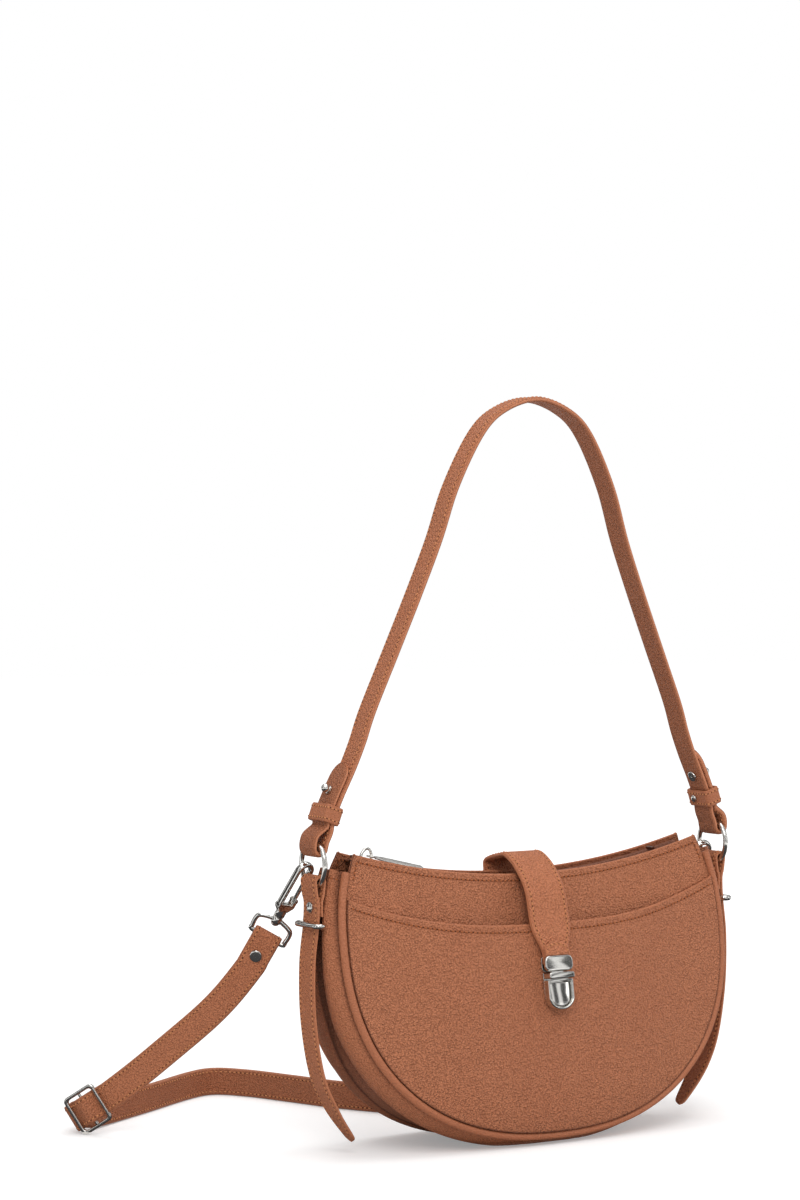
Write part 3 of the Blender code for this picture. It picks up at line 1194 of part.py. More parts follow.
def slider_frame():
    """Centre and directions of the strap's slider, which stands on one corner behind the bag's left."""
    heading = unit(np.array([0.75, -0.66, 0]))
    away = np.array([-heading[1], heading[0], 0])
    slope = unit(heading * cos(BUCKLE_SLOPE) + np.array([0, 0, sin(BUCKLE_SLOPE)]))
    down = np.cross(away, slope)
    if down[2] > 0:
        down = -down
    half_diagonal = BUCKLE_LENGTH / 2 * sin(BUCKLE_SLOPE) + BUCKLE_WIDTH / 2 * cos(BUCKLE_SLOPE)
    corner_round = BUCKLE_CORNER * (sin(BUCKLE_SLOPE) + cos(BUCKLE_SLOPE) - 1)
    side_share, back_share = SLIDER_REACH_SHARES
    lift = half_diagonal - corner_round + STRAP_FLOOR_GAP
    centre = np.array([RING_X * side_share, RING_X * back_share, lift])
    return centre, slope, down, away


def buckle():
    centre, slope, down, away = slider_frame()

    def place(a, u, out):
        return centre + slope * a + down * u + away * out

    outer = rounded_rectangle(BUCKLE_LENGTH, BUCKLE_WIDTH, BUCKLE_CORNER)
    inner = rounded_rectangle(
        BUCKLE_LENGTH - 2 * BUCKLE_WALL, BUCKLE_WIDTH - 2 * BUCKLE_WALL, BUCKLE_CORNER - BUCKLE_WALL / 2
    )
    half = BUCKLE_THICK / 2
    sections = []
    for (a, u), (b, v) in zip(outer, inner):
        sections.append([
            place(a, u, half), place(a, u, -half * 0.5), place((a * 3 + b) / 4, (u * 3 + v) / 4, -half),
            place((a + b * 3) / 4, (u + v * 3) / 4, -half), place(b, v, -half * 0.5), place(b, v, half),
        ])
    frame = loft("strap_slider", sections, "nickel", closed=True)
    bar_reach = BUCKLE_WIDTH / 2 - BUCKLE_WALL / 2
    bar = [(0, -bar_reach), (BUCKLE_BAR, -bar_reach), (BUCKLE_BAR, bar_reach), (0, bar_reach)]
    bar_centre = centre + away * BUCKLE_BAR_SET_BACK
    combine(frame, turned("slider_bar", bar, bar_centre, down, "nickel", sides=10), "UNION")


def eye_wrap(eye, along, face):
    """Points of a fold round an eye's bar, from one face of the strap to the other."""
    radius = EYE_WIRE + GAP * 1.5 + STRAP_LEATHER / 2
    turns = np.linspace(-pi / 2, pi / 2, 7)
    return [eye - along * radius * cos(t) + face * radius * sin(t) for t in turns]


def crossbody_strap(left, right):
    """One leather strip: folded on the left hook's eye, through the slider, round the right eye and back."""
    (left_eye, left_along, left_side), (right_eye, right_along, right_side) = left, right
    layer = STRAP_LEATHER / 2 + GAP * 0.6
    centre, slope, down, away = slider_frame()
    rows = []

    def add(point, across):
        rows.append(np.concatenate([point, unit(across)]))

    def slot(share, out):
        return centre + slope * BUCKLE_LENGTH * share + away * out * STRAP_LEATHER

    back = unit(np.cross(left_side, left_along))
    back = back if back[1] > 0 else -back
    splay = EYE_WIRE + GAP
    for share in STRAP_LAP_SHARES:
        open_up = max(0.0, 1 - share / STRAP_LAP_SHARES[2]) * splay
        add(left_eye + left_along * STRAP_LAP * share + back * (layer + open_up), left_side)
    for point in reversed(eye_wrap(left_eye, left_along, back)):
        add(point, left_side)
    for share in reversed(STRAP_LAP_SHARES):
        open_up = max(0.0, 1 - share / STRAP_LAP_SHARES[2]) * splay
        add(left_eye + left_along * STRAP_LAP * share - back * (layer + open_up), left_side)
    start = left_eye + left_along * STRAP_LAP
    run = slot(*STRAP_WEAVE_SHARES[0]) - start
    for share, (run_share, *sag_shares) in zip(STRAP_TURN_SHARES, STRAP_HANG_SHARES):
        point = start + run * run_share + np.linalg.norm(run) * np.array(sag_shares)
        add(point, left_side * (1 - share) - down * share)
    for share, out in STRAP_WEAVE_SHARES:
        add(slot(share, out), -down)
    single = np.array(rows)

    rows.clear()
    for share, out in STRAP_BEND_SHARES:
        add(slot(share, out), down)
    floor_z = STRAP_WIDTH / 2 + STRAP_FLOOR_GAP
    for share, (x, y) in zip(STRAP_SETTLE_SHARES, STRAP_FLOOR_SHARES):
        standing = down * (1 - share) + np.array([0, 0, -share])
        add(np.array([STRAP_REACH * x, STRAP_REACH * y, floor_z]), standing)
    for share, (x, y, z) in zip(STRAP_TWIST_SHARES, STRAP_CLIMB_SHARES):
        add(STRAP_REACH * np.array([x, y, z]), right_side * share + np.array([0, 0, share - 1]))
    add(right_eye + right_along * STRAP_LAP, right_side)
    double = smooth_line(rows, 6)
    double[:, 2] = np.maximum(double[:, 2], floor_z)
    heading = unit(np.gradient(double[:, :3], axis=0))
    normal = unit(np.cross(heading, double[:, 3:]))
    spread = np.full(len(double), layer)[:, None]
    out_run = np.column_stack([double[:, :3] + normal * spread, double[:, 3:]])
    home_run = np.column_stack([double[:, :3] - normal * spread, double[:, 3:]])[::-1]

    face = unit(np.cross(-right_along, right_side))
    fold = [np.concatenate([p, right_side]) for p in reversed(eye_wrap(right_eye, right_along, face))]
    bar = centre + away * BUCKLE_BAR_SET_BACK
    hug = BUCKLE_BAR + GAP + STRAP_LEATHER / 2
    loop = []
    for turn in np.linspace(radians(100), radians(-165), 9):
        loop.append(np.concatenate([bar + slope * hug * cos(turn) + away * hug * sin(turn), down]))
    first = smooth_line(single, 5)
    first[:, 3:] *= -1
    last = smooth_line(np.vstack([home_run[-2:], loop]), 3)[4:]
    fold = smooth_line(fold, 3)
    line = np.vstack([first, out_run[1:], fold, home_run[:-1], last])
    steps = np.concatenate([[1.0], np.linalg.norm(np.diff(line[:, :3], axis=0), axis=1)])
    line = line[steps > GAP / 3]
    line = line[thin_out(line[:, :3], STRAP_WIDTH)]
    strap = ribbon("crossbody_strap", line[:, :3], line[:, 3:], STRAP_WIDTH, STRAP_LEATHER, "leather")
    lengths = np.linalg.norm(np.diff(line[:, :3], axis=0), axis=1)
    print("strap length", round(lengths.sum(), 4), "rows", len(line))

    spot = left_eye + left_along * STRAP_LAP * STRAP_RIVET_SHARE
    profile = [(0, 0), (STRAP_RIVET_RADIUS, 0), (STRAP_RIVET_RADIUS, STRAP_RIVET_HEAD / 2)]
    profile += [(STRAP_RIVET_RADIUS * 0.75, STRAP_RIVET_HEAD), (0, STRAP_RIVET_HEAD)]
    stand = layer + STRAP_LEATHER / 2 + GAP
    for name, way in (("front", -back), ("back", back)):
        turned(f"strap_rivet_{name}", profile, spot + way * stand, way, "nickel", sides=14)
    return strap


def build():
    clear_scene()
    panel("front_panel", front_y, -1)
    panel("back_panel", back_y, 1)
    pocket_panel()
    side_band("front_band", -1)
    side_band("back_band", 1)
    folded_strip()
    piping("front_piping", -1)
    piping("back_piping", 1)
    lining()
    zip_slider(*zip_parts())
    place, up, out = lock_place()
    lock(place, up, out, *flap_strap(place))
    for name, side in (("left", LEFT), ("right", RIGHT)):
        ring(f"ring_{name}", side)
        outer_x, inner_x = tab(f"side_tab_{name}", side)
        tab_fittings(name, side, outer_x, inner_x)
    handle()
    buckle()
    ends = []
    for name, side, flip in (("left", LEFT, -1), ("right", RIGHT, 1)):
        place = hook_frame(side, HOOK_TURNS[name], HOOK_WAYS[name], flip)
        along = place[1]
        across = np.array(EYE_SIDES[name])
        across = unit(across - np.dot(across, along) * along)
        ends.append((snap_hook(name, place, across), along, across))
    crossbody_strap(*ends)


build()
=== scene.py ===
# %% [markdown]
# # A half-moon leather shoulder bag
#
# The measured model gives every piece its place and its motion. This file draws each piece again as the
# eye sees it: soft leather with grain, seams and stitching, a woven zip, and polished metal. Nearly every
# shape is worked out with numpy as a surface of two parameters, because a bag is made of sheets and straps
# that follow simple curves, and a formula keeps them exactly where the measured solids are.

# %% Load the measured model
from math import asin, cos, pi, radians, sin, sqrt

import bmesh
import bpy
import numpy as np
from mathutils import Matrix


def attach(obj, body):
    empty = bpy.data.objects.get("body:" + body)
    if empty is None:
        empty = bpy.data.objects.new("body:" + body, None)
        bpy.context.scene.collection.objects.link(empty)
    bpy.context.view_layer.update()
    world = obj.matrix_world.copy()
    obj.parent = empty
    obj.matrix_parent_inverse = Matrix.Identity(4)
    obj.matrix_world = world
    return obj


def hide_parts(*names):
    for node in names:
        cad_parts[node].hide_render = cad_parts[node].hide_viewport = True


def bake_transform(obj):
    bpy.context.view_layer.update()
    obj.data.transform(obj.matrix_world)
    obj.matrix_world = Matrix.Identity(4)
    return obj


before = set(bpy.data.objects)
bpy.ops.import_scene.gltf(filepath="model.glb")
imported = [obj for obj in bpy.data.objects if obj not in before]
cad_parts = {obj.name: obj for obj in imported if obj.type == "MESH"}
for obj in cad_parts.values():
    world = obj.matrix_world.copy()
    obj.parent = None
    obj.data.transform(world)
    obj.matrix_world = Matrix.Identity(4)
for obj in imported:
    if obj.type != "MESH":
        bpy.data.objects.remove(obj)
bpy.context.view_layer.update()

MM = 0.001

# %% [markdown]
# ## Camera
#
# The bag is seen from its front left, a little from above. A long lens from two metres keeps the lines
# nearly parallel, as in a product photograph. A camera looks along its own -Z, so a quarter turn about X
# points it at the horizon, and a turn about Z gives its heading.

# %% Camera
CAMERA_PLACE = (-1.1552, -1.6857, 0.365)
CAMERA_HEADING = radians(32.29)
CAMERA_DIP = radians(0.794)
CAMERA_LENS = 97.41

camera_data = bpy.data.cameras.new("camera")
camera_data.lens = CAMERA_LENS
camera = bpy.data.objects.new("camera", camera_data)
camera.location = CAMERA_PLACE
camera.rotation_euler = (pi / 2 - CAMERA_DIP, 0, -CAMERA_HEADING)
bpy.context.collection.objects.link(camera)
bpy.context.scene.camera = camera
bpy.context.scene.view_settings.view_transform = "Standard"
print("camera", CAMERA_PLACE, "lens", CAMERA_LENS)

# %% [markdown]
# ## Shader maths
#
# A finish is a formula over the surface. Wrapping a node's socket in a small class lets that formula be
# written as Python: an expression on values adds its Math nodes by itself. Every other node comes from one
# method that takes its type, its settings and the values or links of its sockets.


# %% Shader maths
class Value:
    """One output socket. The operators add Math nodes to the same finish."""

    def __init__(self, look, socket):
        self.look = look
        self.socket = socket

    def maths(self, operation, first, second):
        """A new Math node on two values or numbers."""
        return self.look.node("ShaderNodeMath", {"operation": operation}, {0: first, 1: second})

    def __add__(self, other):
        return self.maths("ADD", self, other)

    def __sub__(self, other):
        return self.maths("SUBTRACT", self, other)

    def __rsub__(self, other):
        return self.maths("SUBTRACT", other, self)

    def __mul__(self, other):
        return self.maths("MULTIPLY", self, other)

    def highest(self, other):
        """The larger of the two values."""
        return self.maths("MAXIMUM", self, other)

    def between(self, low, high):
        """0 below low, 1 above high, and a smooth rise from one to the other."""
        return self.look.node(
            "ShaderNodeMapRange", {"interpolation_type": "SMOOTHSTEP"},
            {"Value": self, "From Min": low, "From Max": high}, "Result",
        )

    __radd__ = __add__
    __rmul__ = __mul__


class Look:
    """A finish under construction: one material with its node tree and its Principled shader."""

    def __init__(self, name, colour=(1, 1, 1), roughness=0.5, metallic=0.0):
        self.material = bpy.data.materials.new(name)
        self.material.use_nodes = True
        self.tree = self.material.node_tree
        self.shader = self.tree.nodes["Principled BSDF"]
        self.show("Base Color", (*colour, 1))
        self.show("Roughness", roughness)
        self.show("Metallic", metallic)
        self.material.diffuse_color = (*colour, 1)

    def feed(self, socket, value):
        """A value is linked, a plain number or colour is set on the socket itself."""
        if isinstance(value, Value):
            self.tree.links.new(value.socket, socket)
        else:
            socket.default_value = value

    def node(self, kind, settings=None, inputs=None, output=0):
        """A new node with its settings made and its sockets fed, given back as one of its outputs."""
        made = self.tree.nodes.new(kind)
        for key, value in (settings or {}).items():
            setattr(made, key, value)
        for key, value in (inputs or {}).items():
            self.feed(made.inputs[key], value)
        return Value(self, made.outputs[output])

    def place(self):
        """The point itself, in metres along the bag's axes."""
        return self.node("ShaderNodeTexCoord", output="Object")

    def along(self):
        """The two numbers of the piece's UV map."""
        return self.node("ShaderNodeTexCoord", output="UV")

    def mark(self, name):
        """A number that the piece's own mesh carries at every point."""
        return self.node("ShaderNodeAttribute", {"attribute_name": name}, {}, "Fac")

    def stretch(self, vector, factors):
        """Vector * factors, part by part."""
        return self.node("ShaderNodeVectorMath", {"operation": "MULTIPLY"}, {0: vector, 1: factors})

    def noise(self, vector, scale, detail=2.0, output="Fac"):
        """Soft noise with about scale lumps to the metre."""
        return self.node(
            "ShaderNodeTexNoise", {}, {"Vector": vector, "Scale": scale, "Detail": detail}, output
        )

    def blend(self, factor, first, second):
        """The first colour where the factor is 0, the second where it is 1."""
        inputs = {"Factor": factor, 6: first, 7: second}
        return self.node("ShaderNodeMix", {"data_type": "RGBA"}, inputs, 2)

    def bump(self, height, depth):
        """Shades the surface as a relief would be shaded: relief = height * depth."""
        normal = self.node("ShaderNodeBump", {}, {"Height": height, "Distance": depth}, "Normal")
        self.feed(self.shader.inputs["Normal"], normal)

    def show(self, name, value):
        """Feeds one of the shader's own sockets."""
        self.feed(self.shader.inputs[name], value)


# %% [markdown]
# ## Leather
#
# The leather is soft cowhide with a pebbled grain about a millimetre across. Real grain is a net of fine
# valleys round small domes, so a Voronoi pattern's distance to the middle of its cell, bent by a noise,
# gives the domes. Two finer noises roughen them. The valleys, the wrinkles and the seams take a darker
# colour, partly as dye and partly as painted shade, and the cut edges are painted in their own colour: two
# numbers on the mesh, seam and edge, say where that is. On some pieces the first of them is
# painted shade alone.

# %% Leather
GRAIN_SCALE = 880.0
GRAIN_BEND = 0.5 * MM
GRAIN_DEPTH = 1.0 * MM
DOME_SPAN = (0.25, 1.0)
BEND_SCALE = 300.0
WRINKLE_SCALE = 900.0
WRINKLE_STRETCH = (0.6, 0.6, 1.2)
WRINKLE_SPAN = (0.36, 0.64)
PORE_SCALE = 2600.0
CREASE_STRETCH = (95.0, 420.0, 1.0)
TONE_SCALE = 17.0
TONE_SPAN = (0.3, 0.7)
TONE_LEAST = 0.1
TONE_RANGE = 0.5
MOTTLE_SCALE = 210.0
MOTTLE_SPAN = (0.35, 0.75)
# Valleys and wrinkles darken partly as dye and partly as painted shade of their relief.
VALLEY_DYE_AND_SHADE = 0.6
WRINKLE_DYE_AND_SHADE = 0.14
MOTTLE_DYE = 0.08
EDGE_PAINT = 0.8
SEAM_DARKNESS = 0.5
WRINKLE_LIFT = 0.35
PORE_LIFT = 0.12
CREASE_LIFT = 0.7
MOTTLE_LIFT = 0.2
LEATHER_SHINE = 0.3
VALLEY_ROUGHNESS = 0.12
EDGE_SMOOTHNESS = 0.1
MOTTLE_ROUGHNESS = 0.08


def leather_look(name, colour, dark, pale, edge, crease=0.25, grain=1.0, roughness=0.52):
    """Height = (grain * (dome + wrinkle) + pore + crease + mottle) * (1 - edge), each with its own lift.

    Valleys, wrinkles and seams take the dark colour as dye and painted shade, cut edges the edge colour.
    """
    look = Look(name, colour)
    place = look.place()
    wobble = look.noise(place, BEND_SCALE, 1.0, "Color")
    shift = look.stretch(wobble, (GRAIN_BEND, GRAIN_BEND, GRAIN_BEND))
    bent = look.node("ShaderNodeVectorMath", {"operation": "ADD"}, {0: place, 1: shift})
    cells = look.node("ShaderNodeTexVoronoi", {"feature": "F1"}, {"Vector": bent, "Scale": GRAIN_SCALE})
    dome = 1 - cells.between(*DOME_SPAN)
    pore = look.noise(place, PORE_SCALE, 1.0)
    fold = look.noise(look.stretch(look.along(), CREASE_STRETCH), 1.0, 2.0)
    mottle = look.noise(place, MOTTLE_SCALE, 2.0)
    wrinkle = look.noise(look.stretch(place, WRINKLE_STRETCH), WRINKLE_SCALE, 1.0).between(*WRINKLE_SPAN)
    tone = look.noise(place, TONE_SCALE, 2.0)
    worn = look.mark("edge")
    base = look.blend(tone.between(*TONE_SPAN) * TONE_RANGE + TONE_LEAST, (*colour, 1), (*pale, 1))
    base = look.blend(mottle.between(*MOTTLE_SPAN) * MOTTLE_DYE, base, (*dark, 1))
    # Painted shade and dye: the grain's valleys and the wrinkles' troughs take the dark colour.
    base = look.blend((1 - dome) * VALLEY_DYE_AND_SHADE * grain, base, (*dark, 1))
    base = look.blend((1 - wrinkle) * WRINKLE_DYE_AND_SHADE * grain, base, (*dark, 1))
    base = look.blend(worn * EDGE_PAINT, base, (*edge, 1))
    # Seams take painted shade and dye; on some pieces this number carries painted shade alone.
    base = look.blend(look.mark("seam"), base, (*[part * SEAM_DARKNESS for part in dark], 1))
    look.show("Specular IOR Level", LEATHER_SHINE)
    look.show("Base Color", base)
    rough = roughness + VALLEY_ROUGHNESS * (1 - dome) - EDGE_SMOOTHNESS * worn
    look.show("Roughness", rough + MOTTLE_ROUGHNESS * (mottle - 0.5))
    height = dome * grain + wrinkle * (WRINKLE_LIFT * grain) + pore * PORE_LIFT
    height = height + fold * (CREASE_LIFT * crease) + mottle * MOTTLE_LIFT
    look.bump(height * (1 - worn * EDGE_PAINT), GRAIN_DEPTH)
    return look.material


PANEL_LOOK = leather_look(
    "pebbled leather", (0.530, 0.188, 0.088), (0.250, 0.077, 0.033), (0.568, 0.212, 0.101),
    (0.48, 0.175, 0.083),
)
FLAP_LOOK = leather_look(
    "flap leather", (0.590, 0.208, 0.097), (0.270, 0.084, 0.036), (0.620, 0.230, 0.110),
    (0.50, 0.182, 0.087), crease=0.3, grain=0.9,
)
SMOOTH_LOOK = leather_look(
    "smooth leather", (0.410, 0.141, 0.065), (0.230, 0.072, 0.031), (0.445, 0.158, 0.075),
    (0.44, 0.160, 0.076), crease=0.2, grain=0.3, roughness=0.45,
)
BAND_LOOK = leather_look(
    "side band leather", (0.500, 0.177, 0.082), (0.240, 0.074, 0.032), (0.545, 0.202, 0.096),
    (0.40, 0.140, 0.065), crease=0.9, grain=0.7,
)
# The folded strip's leather: the same hide, its darker colours painted shade.
SHADE_LOOK = leather_look(
    "leather in painted shade", (0.330, 0.125, 0.066), (0.190, 0.068, 0.036), (0.370, 0.146, 0.078),
    (0.30, 0.114, 0.060), crease=0.5, grain=0.6,
)
STRAP_LOOK = leather_look(
    "strap leather", (0.520, 0.182, 0.083), (0.240, 0.073, 0.031), (0.560, 0.204, 0.096),
    (0.52, 0.196, 0.096), crease=0.35, grain=0.75,
)
print("leather finishes", [
    finish.name for finish in (PANEL_LOOK, FLAP_LOOK, SMOOTH_LOOK, BAND_LOOK, SHADE_LOOK, STRAP_LOOK)
])

# %% [markdown]
# ## Thread, cloth and metal
#
# The thread is orange-tan and dives into a needle hole at both ends of each stitch: the stitch's own UV map
# runs from 0 to 1 along it, so the colour darkens near both ends and on the holes, as painted shade. A
# darker copy of the same thread is the thread in painted shade. The zip's tape and the lining are woven,
# two crossing waves of threads. The fittings are polished nickel: almost a mirror, with faint hair
# scratches.

# %% Thread, cloth and metal
THREAD_TURNS = (9.0, 2.0, 1.0)
THREAD_TIP_SPAN = (0.62, 0.98)
THREAD_RELIEF = 0.06 * MM
WEAVE_RELIEF = 0.15 * MM
WEAVE_BEND = 0.6
WEAVE_DARKNESS = 0.6
CLOTH_TONE_SCALE = 60.0
CLOTH_TONE = 0.25
METAL_RELIEF = 0.03 * MM
HAIR_STRETCH = (350.0, 350.0, 3200.0)
HAIR_SPAN = (0.55, 0.8)
HAIR_ROUGHNESS = 0.06
CLOUD_SCALE = 130.0
CLOUD_ROUGHNESS = 0.09
CLOUD_COLOUR = 0.82
CLOUD_LEAST = 0.4
CLOUD_TONE = 0.3
CLOUD_LIFT = 0.6


def thread_look(name, colour, hole):
    """Twisted thread, with painted shade where it enters the leather. The second UV number is 1 on the
    holes.
    """
    look = Look(name, colour, 0.62)
    run = look.node("ShaderNodeSeparateXYZ", {}, {0: look.along()})
    flag = Value(look, run.socket.node.outputs["Y"])
    middle = (run - 0.5) * (run - 0.5) * 4
    dark = flag.highest(middle.between(*THREAD_TIP_SPAN))
    look.show("Specular IOR Level", 0.15)
    look.show("Base Color", look.blend(dark, (*colour, 1), (*hole, 1)))
    look.bump(look.noise(look.stretch(look.along(), THREAD_TURNS), 1.0), THREAD_RELIEF)
    return look.material


def woven_look(name, colour, dark, scale, roughness):
    """Cloth: two crossing sets of threads, each a wave, the higher one on top."""
    look = Look(name, colour, roughness)
    place = look.place()
    waves = []
    for direction in ("X", "Z"):
        settings = {"wave_type": "BANDS", "bands_direction": direction}
        inputs = {"Vector": place, "Scale": scale, "Distortion": WEAVE_BEND}
        waves.append(look.node("ShaderNodeTexWave", settings, inputs, "Fac"))
    weave = waves[0].highest(waves[1])
    tone = look.noise(place, CLOTH_TONE_SCALE)
    shade = (1 - weave) * WEAVE_DARKNESS + tone * CLOTH_TONE
    look.show("Base Color", look.blend(shade, (*colour, 1), (*dark, 1)))
    look.bump(weave, WEAVE_RELIEF)
    return look.material


def nickel_look(name, colour=(0.73, 0.715, 0.68), roughness=0.12):
    """Polished metal: a little rougher in cloudy patches and along fine scratches."""
    look = Look(name, colour, roughness, 1.0)
    place = look.place()
    cloud = look.noise(place, CLOUD_SCALE, 3.0)
    hair = look.noise(look.stretch(place, HAIR_STRETCH), 1.0, 1.0)
    worn = roughness + CLOUD_ROUGHNESS * (cloud - CLOUD_LEAST).highest(0.0)
    look.show("Roughness", worn + HAIR_ROUGHNESS * hair.between(*HAIR_SPAN))
    cloudy = (*[part * CLOUD_COLOUR for part in colour], 1)
    look.show("Base Color", look.blend(cloud * CLOUD_TONE, (*colour, 1), cloudy))
    look.bump(hair * (1 - CLOUD_LIFT) + cloud * CLOUD_LIFT, METAL_RELIEF)
    return look.material


# The second colour of each thread, on its needle holes and sunk tips, is painted shade. The thread in
# painted shade is a darker copy of the tan thread.
THREAD = thread_look("tan thread", (0.56, 0.235, 0.105), (0.090, 0.027, 0.012))
THREAD_IN_PAINTED_SHADE = thread_look("tan thread in shade", (0.36, 0.112, 0.040), (0.070, 0.021, 0.010))
DARK_THREAD = thread_look("brown thread", (0.110, 0.042, 0.024), (0.028, 0.011, 0.007))
LINING_LOOK = woven_look("lining cloth", (0.110, 0.030, 0.016), (0.045, 0.012, 0.007), 900.0, 0.88)
TAPE_LOOK = woven_look("zip tape cloth", (0.235, 0.080, 0.038), (0.110, 0.036, 0.018), 700.0, 0.8)
COIL_LOOK = woven_look("zip coil nylon", (0.250, 0.088, 0.044), (0.130, 0.044, 0.022), 300.0, 0.42)
NICKEL = nickel_look("polished nickel")
PULL_METAL = nickel_look("satin nickel", roughness=0.32)
STOP_METAL = nickel_look("brown lacquered metal", (0.150, 0.070, 0.045), 0.42)
print("finishes made", len(bpy.data.materials))

# %% [markdown]
# ## Floor and light
#
# A white sweep and soft studio light. The world lights the bag at a plain level, and shows as white to the
# camera and in reflections. The floor adds a little white of its own to the camera's view, so that it runs
# into the background without an edge and still keeps the bag's soft shadow.

# %% Floor and light
FLOOR_HALF = 7.0
AMBIENT = 0.52
FLOOR_GLOW = 0.27
FLOOR_FAR_GLOW = 0.62
FLOOR_NEAR = 0.45
FLOOR_FAR = 1.7


def seen_directly(look):
    """1 for rays from the camera, a mirror or glass, 0 for rays that carry light."""
    paths = look.tree.nodes.new("ShaderNodeLightPath")
    rays = [Value(look, paths.outputs[f"Is {kind} Ray"]) for kind in ("Camera", "Glossy", "Transmission")]
    return rays[0].highest(rays[1]).highest(rays[2])


def square_corners(half, z):
    """Four corners, each half across and half along from the middle."""
    return [(-half, -half, z), (half, -half, z), (half, half, z), (-half, half, z)]


def set_on_stage(name, points, look):
    """A piece of the studio: every four points make a face."""
    mesh = bpy.data.meshes.new(name)
    mesh.from_pydata(points, [], np.arange(len(points)).reshape(-1, 4).tolist())
    mesh.materials.append(look.material)
    thing = bpy.data.objects.new(name, mesh)
    bpy.context.collection.objects.link(thing)
    return thing


floor_look = Look("white floor", (0.82, 0.82, 0.82), 0.9)
floor_look.show("Specular IOR Level", 0.0)
spread = floor_look.node("ShaderNodeVectorMath", {"operation": "LENGTH"}, {0: floor_look.place()}, "Value")
far = spread.between(FLOOR_NEAR, FLOOR_FAR)
glows = [(glow, glow, glow, 1) for glow in (FLOOR_GLOW, FLOOR_FAR_GLOW)]
floor_look.show("Emission Color", floor_look.blend(far, *glows))
floor_look.show("Emission Strength", seen_directly(floor_look))
set_on_stage("floor", square_corners(FLOOR_HALF, 0), floor_look)

world = bpy.data.worlds.new("studio")
world.use_nodes = True
bpy.context.scene.world = world


class Surroundings(Look):
    """The same maths, in the world's own nodes."""

    def __init__(self, tree):
        self.tree = tree


room = Surroundings(world.node_tree)
background = world.node_tree.nodes["Background"]
background.inputs["Color"].default_value = (1, 1, 1, 1)
room.feed(background.inputs["Strength"], seen_directly(room) * (1 - AMBIENT) + AMBIENT)


def soft_lamp(name, place, aim, size, power):
    """A square lamp turned to its aim."""
    light = bpy.data.lights.new(name, "AREA")
    light.size, light.energy = size, power
    thing = bpy.data.objects.new(name, light)
    thing.location = place
    way = np.array(aim, float) - np.array(place, float)
    flat = float(np.hypot(way[0], way[1]))
    thing.rotation_euler = (np.arctan2(flat, -way[2]), 0, np.arctan2(way[0], -way[1]) + pi)
    bpy.context.collection.objects.link(thing)


BAG_MIDDLE = (0, 0, 0.16)
CARD_COLOUR = (0.035, 0.034, 0.036)
CARD_RADIUS = 1.35
CARD_TURNS = (8, 36, 62, 96, 130, 160, 205, 240, 268, 292, 313, 338)
CARD_HALVES = (0.19, 0.2, 0.17, 0.27, 0.2, 0.27, 0.25, 0.19, 0.12, 0.12, 0.16, 0.19)
CARD_FOOT = 0.03
CARD_HEIGHT = 2.4
LOW_CARD_HALF = 0.75
LOW_CARD_Z = 0.002


def dark_cards():
    """Upright dark cards and a low one that only mirrors see, so that metal has a dark to reflect."""
    points = []
    for turn, half in zip(np.radians(CARD_TURNS), CARD_HALVES):
        place = CARD_RADIUS * np.array([np.cos(turn), np.sin(turn)])
        across = half * np.array([-np.sin(turn), np.cos(turn)])
        near, far = place - across, place + across
        points += [(*near, CARD_FOOT), (*far, CARD_FOOT), (*far, CARD_HEIGHT), (*near, CARD_HEIGHT)]
    points += square_corners(LOW_CARD_HALF, LOW_CARD_Z)
    cards = set_on_stage("dark_cards", points, Look("dark card", CARD_COLOUR, 0.9))
    cards.visible_camera = cards.visible_diffuse = cards.visible_shadow = cards.visible_transmission = False


dark_cards()
soft_lamp("key light", (-1.1, -1.7, 2.0), BAG_MIDDLE, size=1.6, power=34.0)
soft_lamp("top light", (0.2, 0.2, 2.3), BAG_MIDDLE, size=2.0, power=22.0)
soft_lamp("right light", (1.9, -1.1, 0.9), BAG_MIDDLE, size=1.2, power=9.0)

# %% [markdown]
# ## Lines and frames
#
# Straps, bands, wires and piping all follow lines. A Catmull-Rom curve passes through every corner that is
# given, which is how the measured solids were laid out. A line is then read at even steps, and at each
# step three directions tell a section how to stand: along the line, across it, and square to both.


# %% Lines and frames
def unit(vectors):
    """Vector / its length."""
    vectors = np.asarray(vectors, float)
    return vectors / np.maximum(np.linalg.norm(vectors, axis=-1, keepdims=True), 1e-12)


def line_steps(points):
    """Distance from each point to the next."""
    return np.linalg.norm(np.diff(np.asarray(points, float)[:, :3], axis=0), axis=1)


def line_length(points):
    """Sum of the steps."""
    return line_steps(points).sum()


def run_along(points):
    """Distance from the line's start, at each of its points."""
    return np.concatenate([[0], np.cumsum(line_steps(points))])


def closed_up(loop):
    """The loop with its first point again at its end."""
    return np.vstack([loop, loop[:1]])


def even(points, count):
    """The line's own points weighted by distance, so that the new ones are equally far apart."""
    points = np.asarray(points, float)
    along = run_along(points)
    places = np.linspace(0, along[-1], count)
    return np.column_stack([np.interp(places, along, points[:, k]) for k in range(points.shape[1])])


def stepped(points, step):
    """The line read at even places about one step apart."""
    return even(points, max(3, int(round(line_length(points) / step)) + 1))


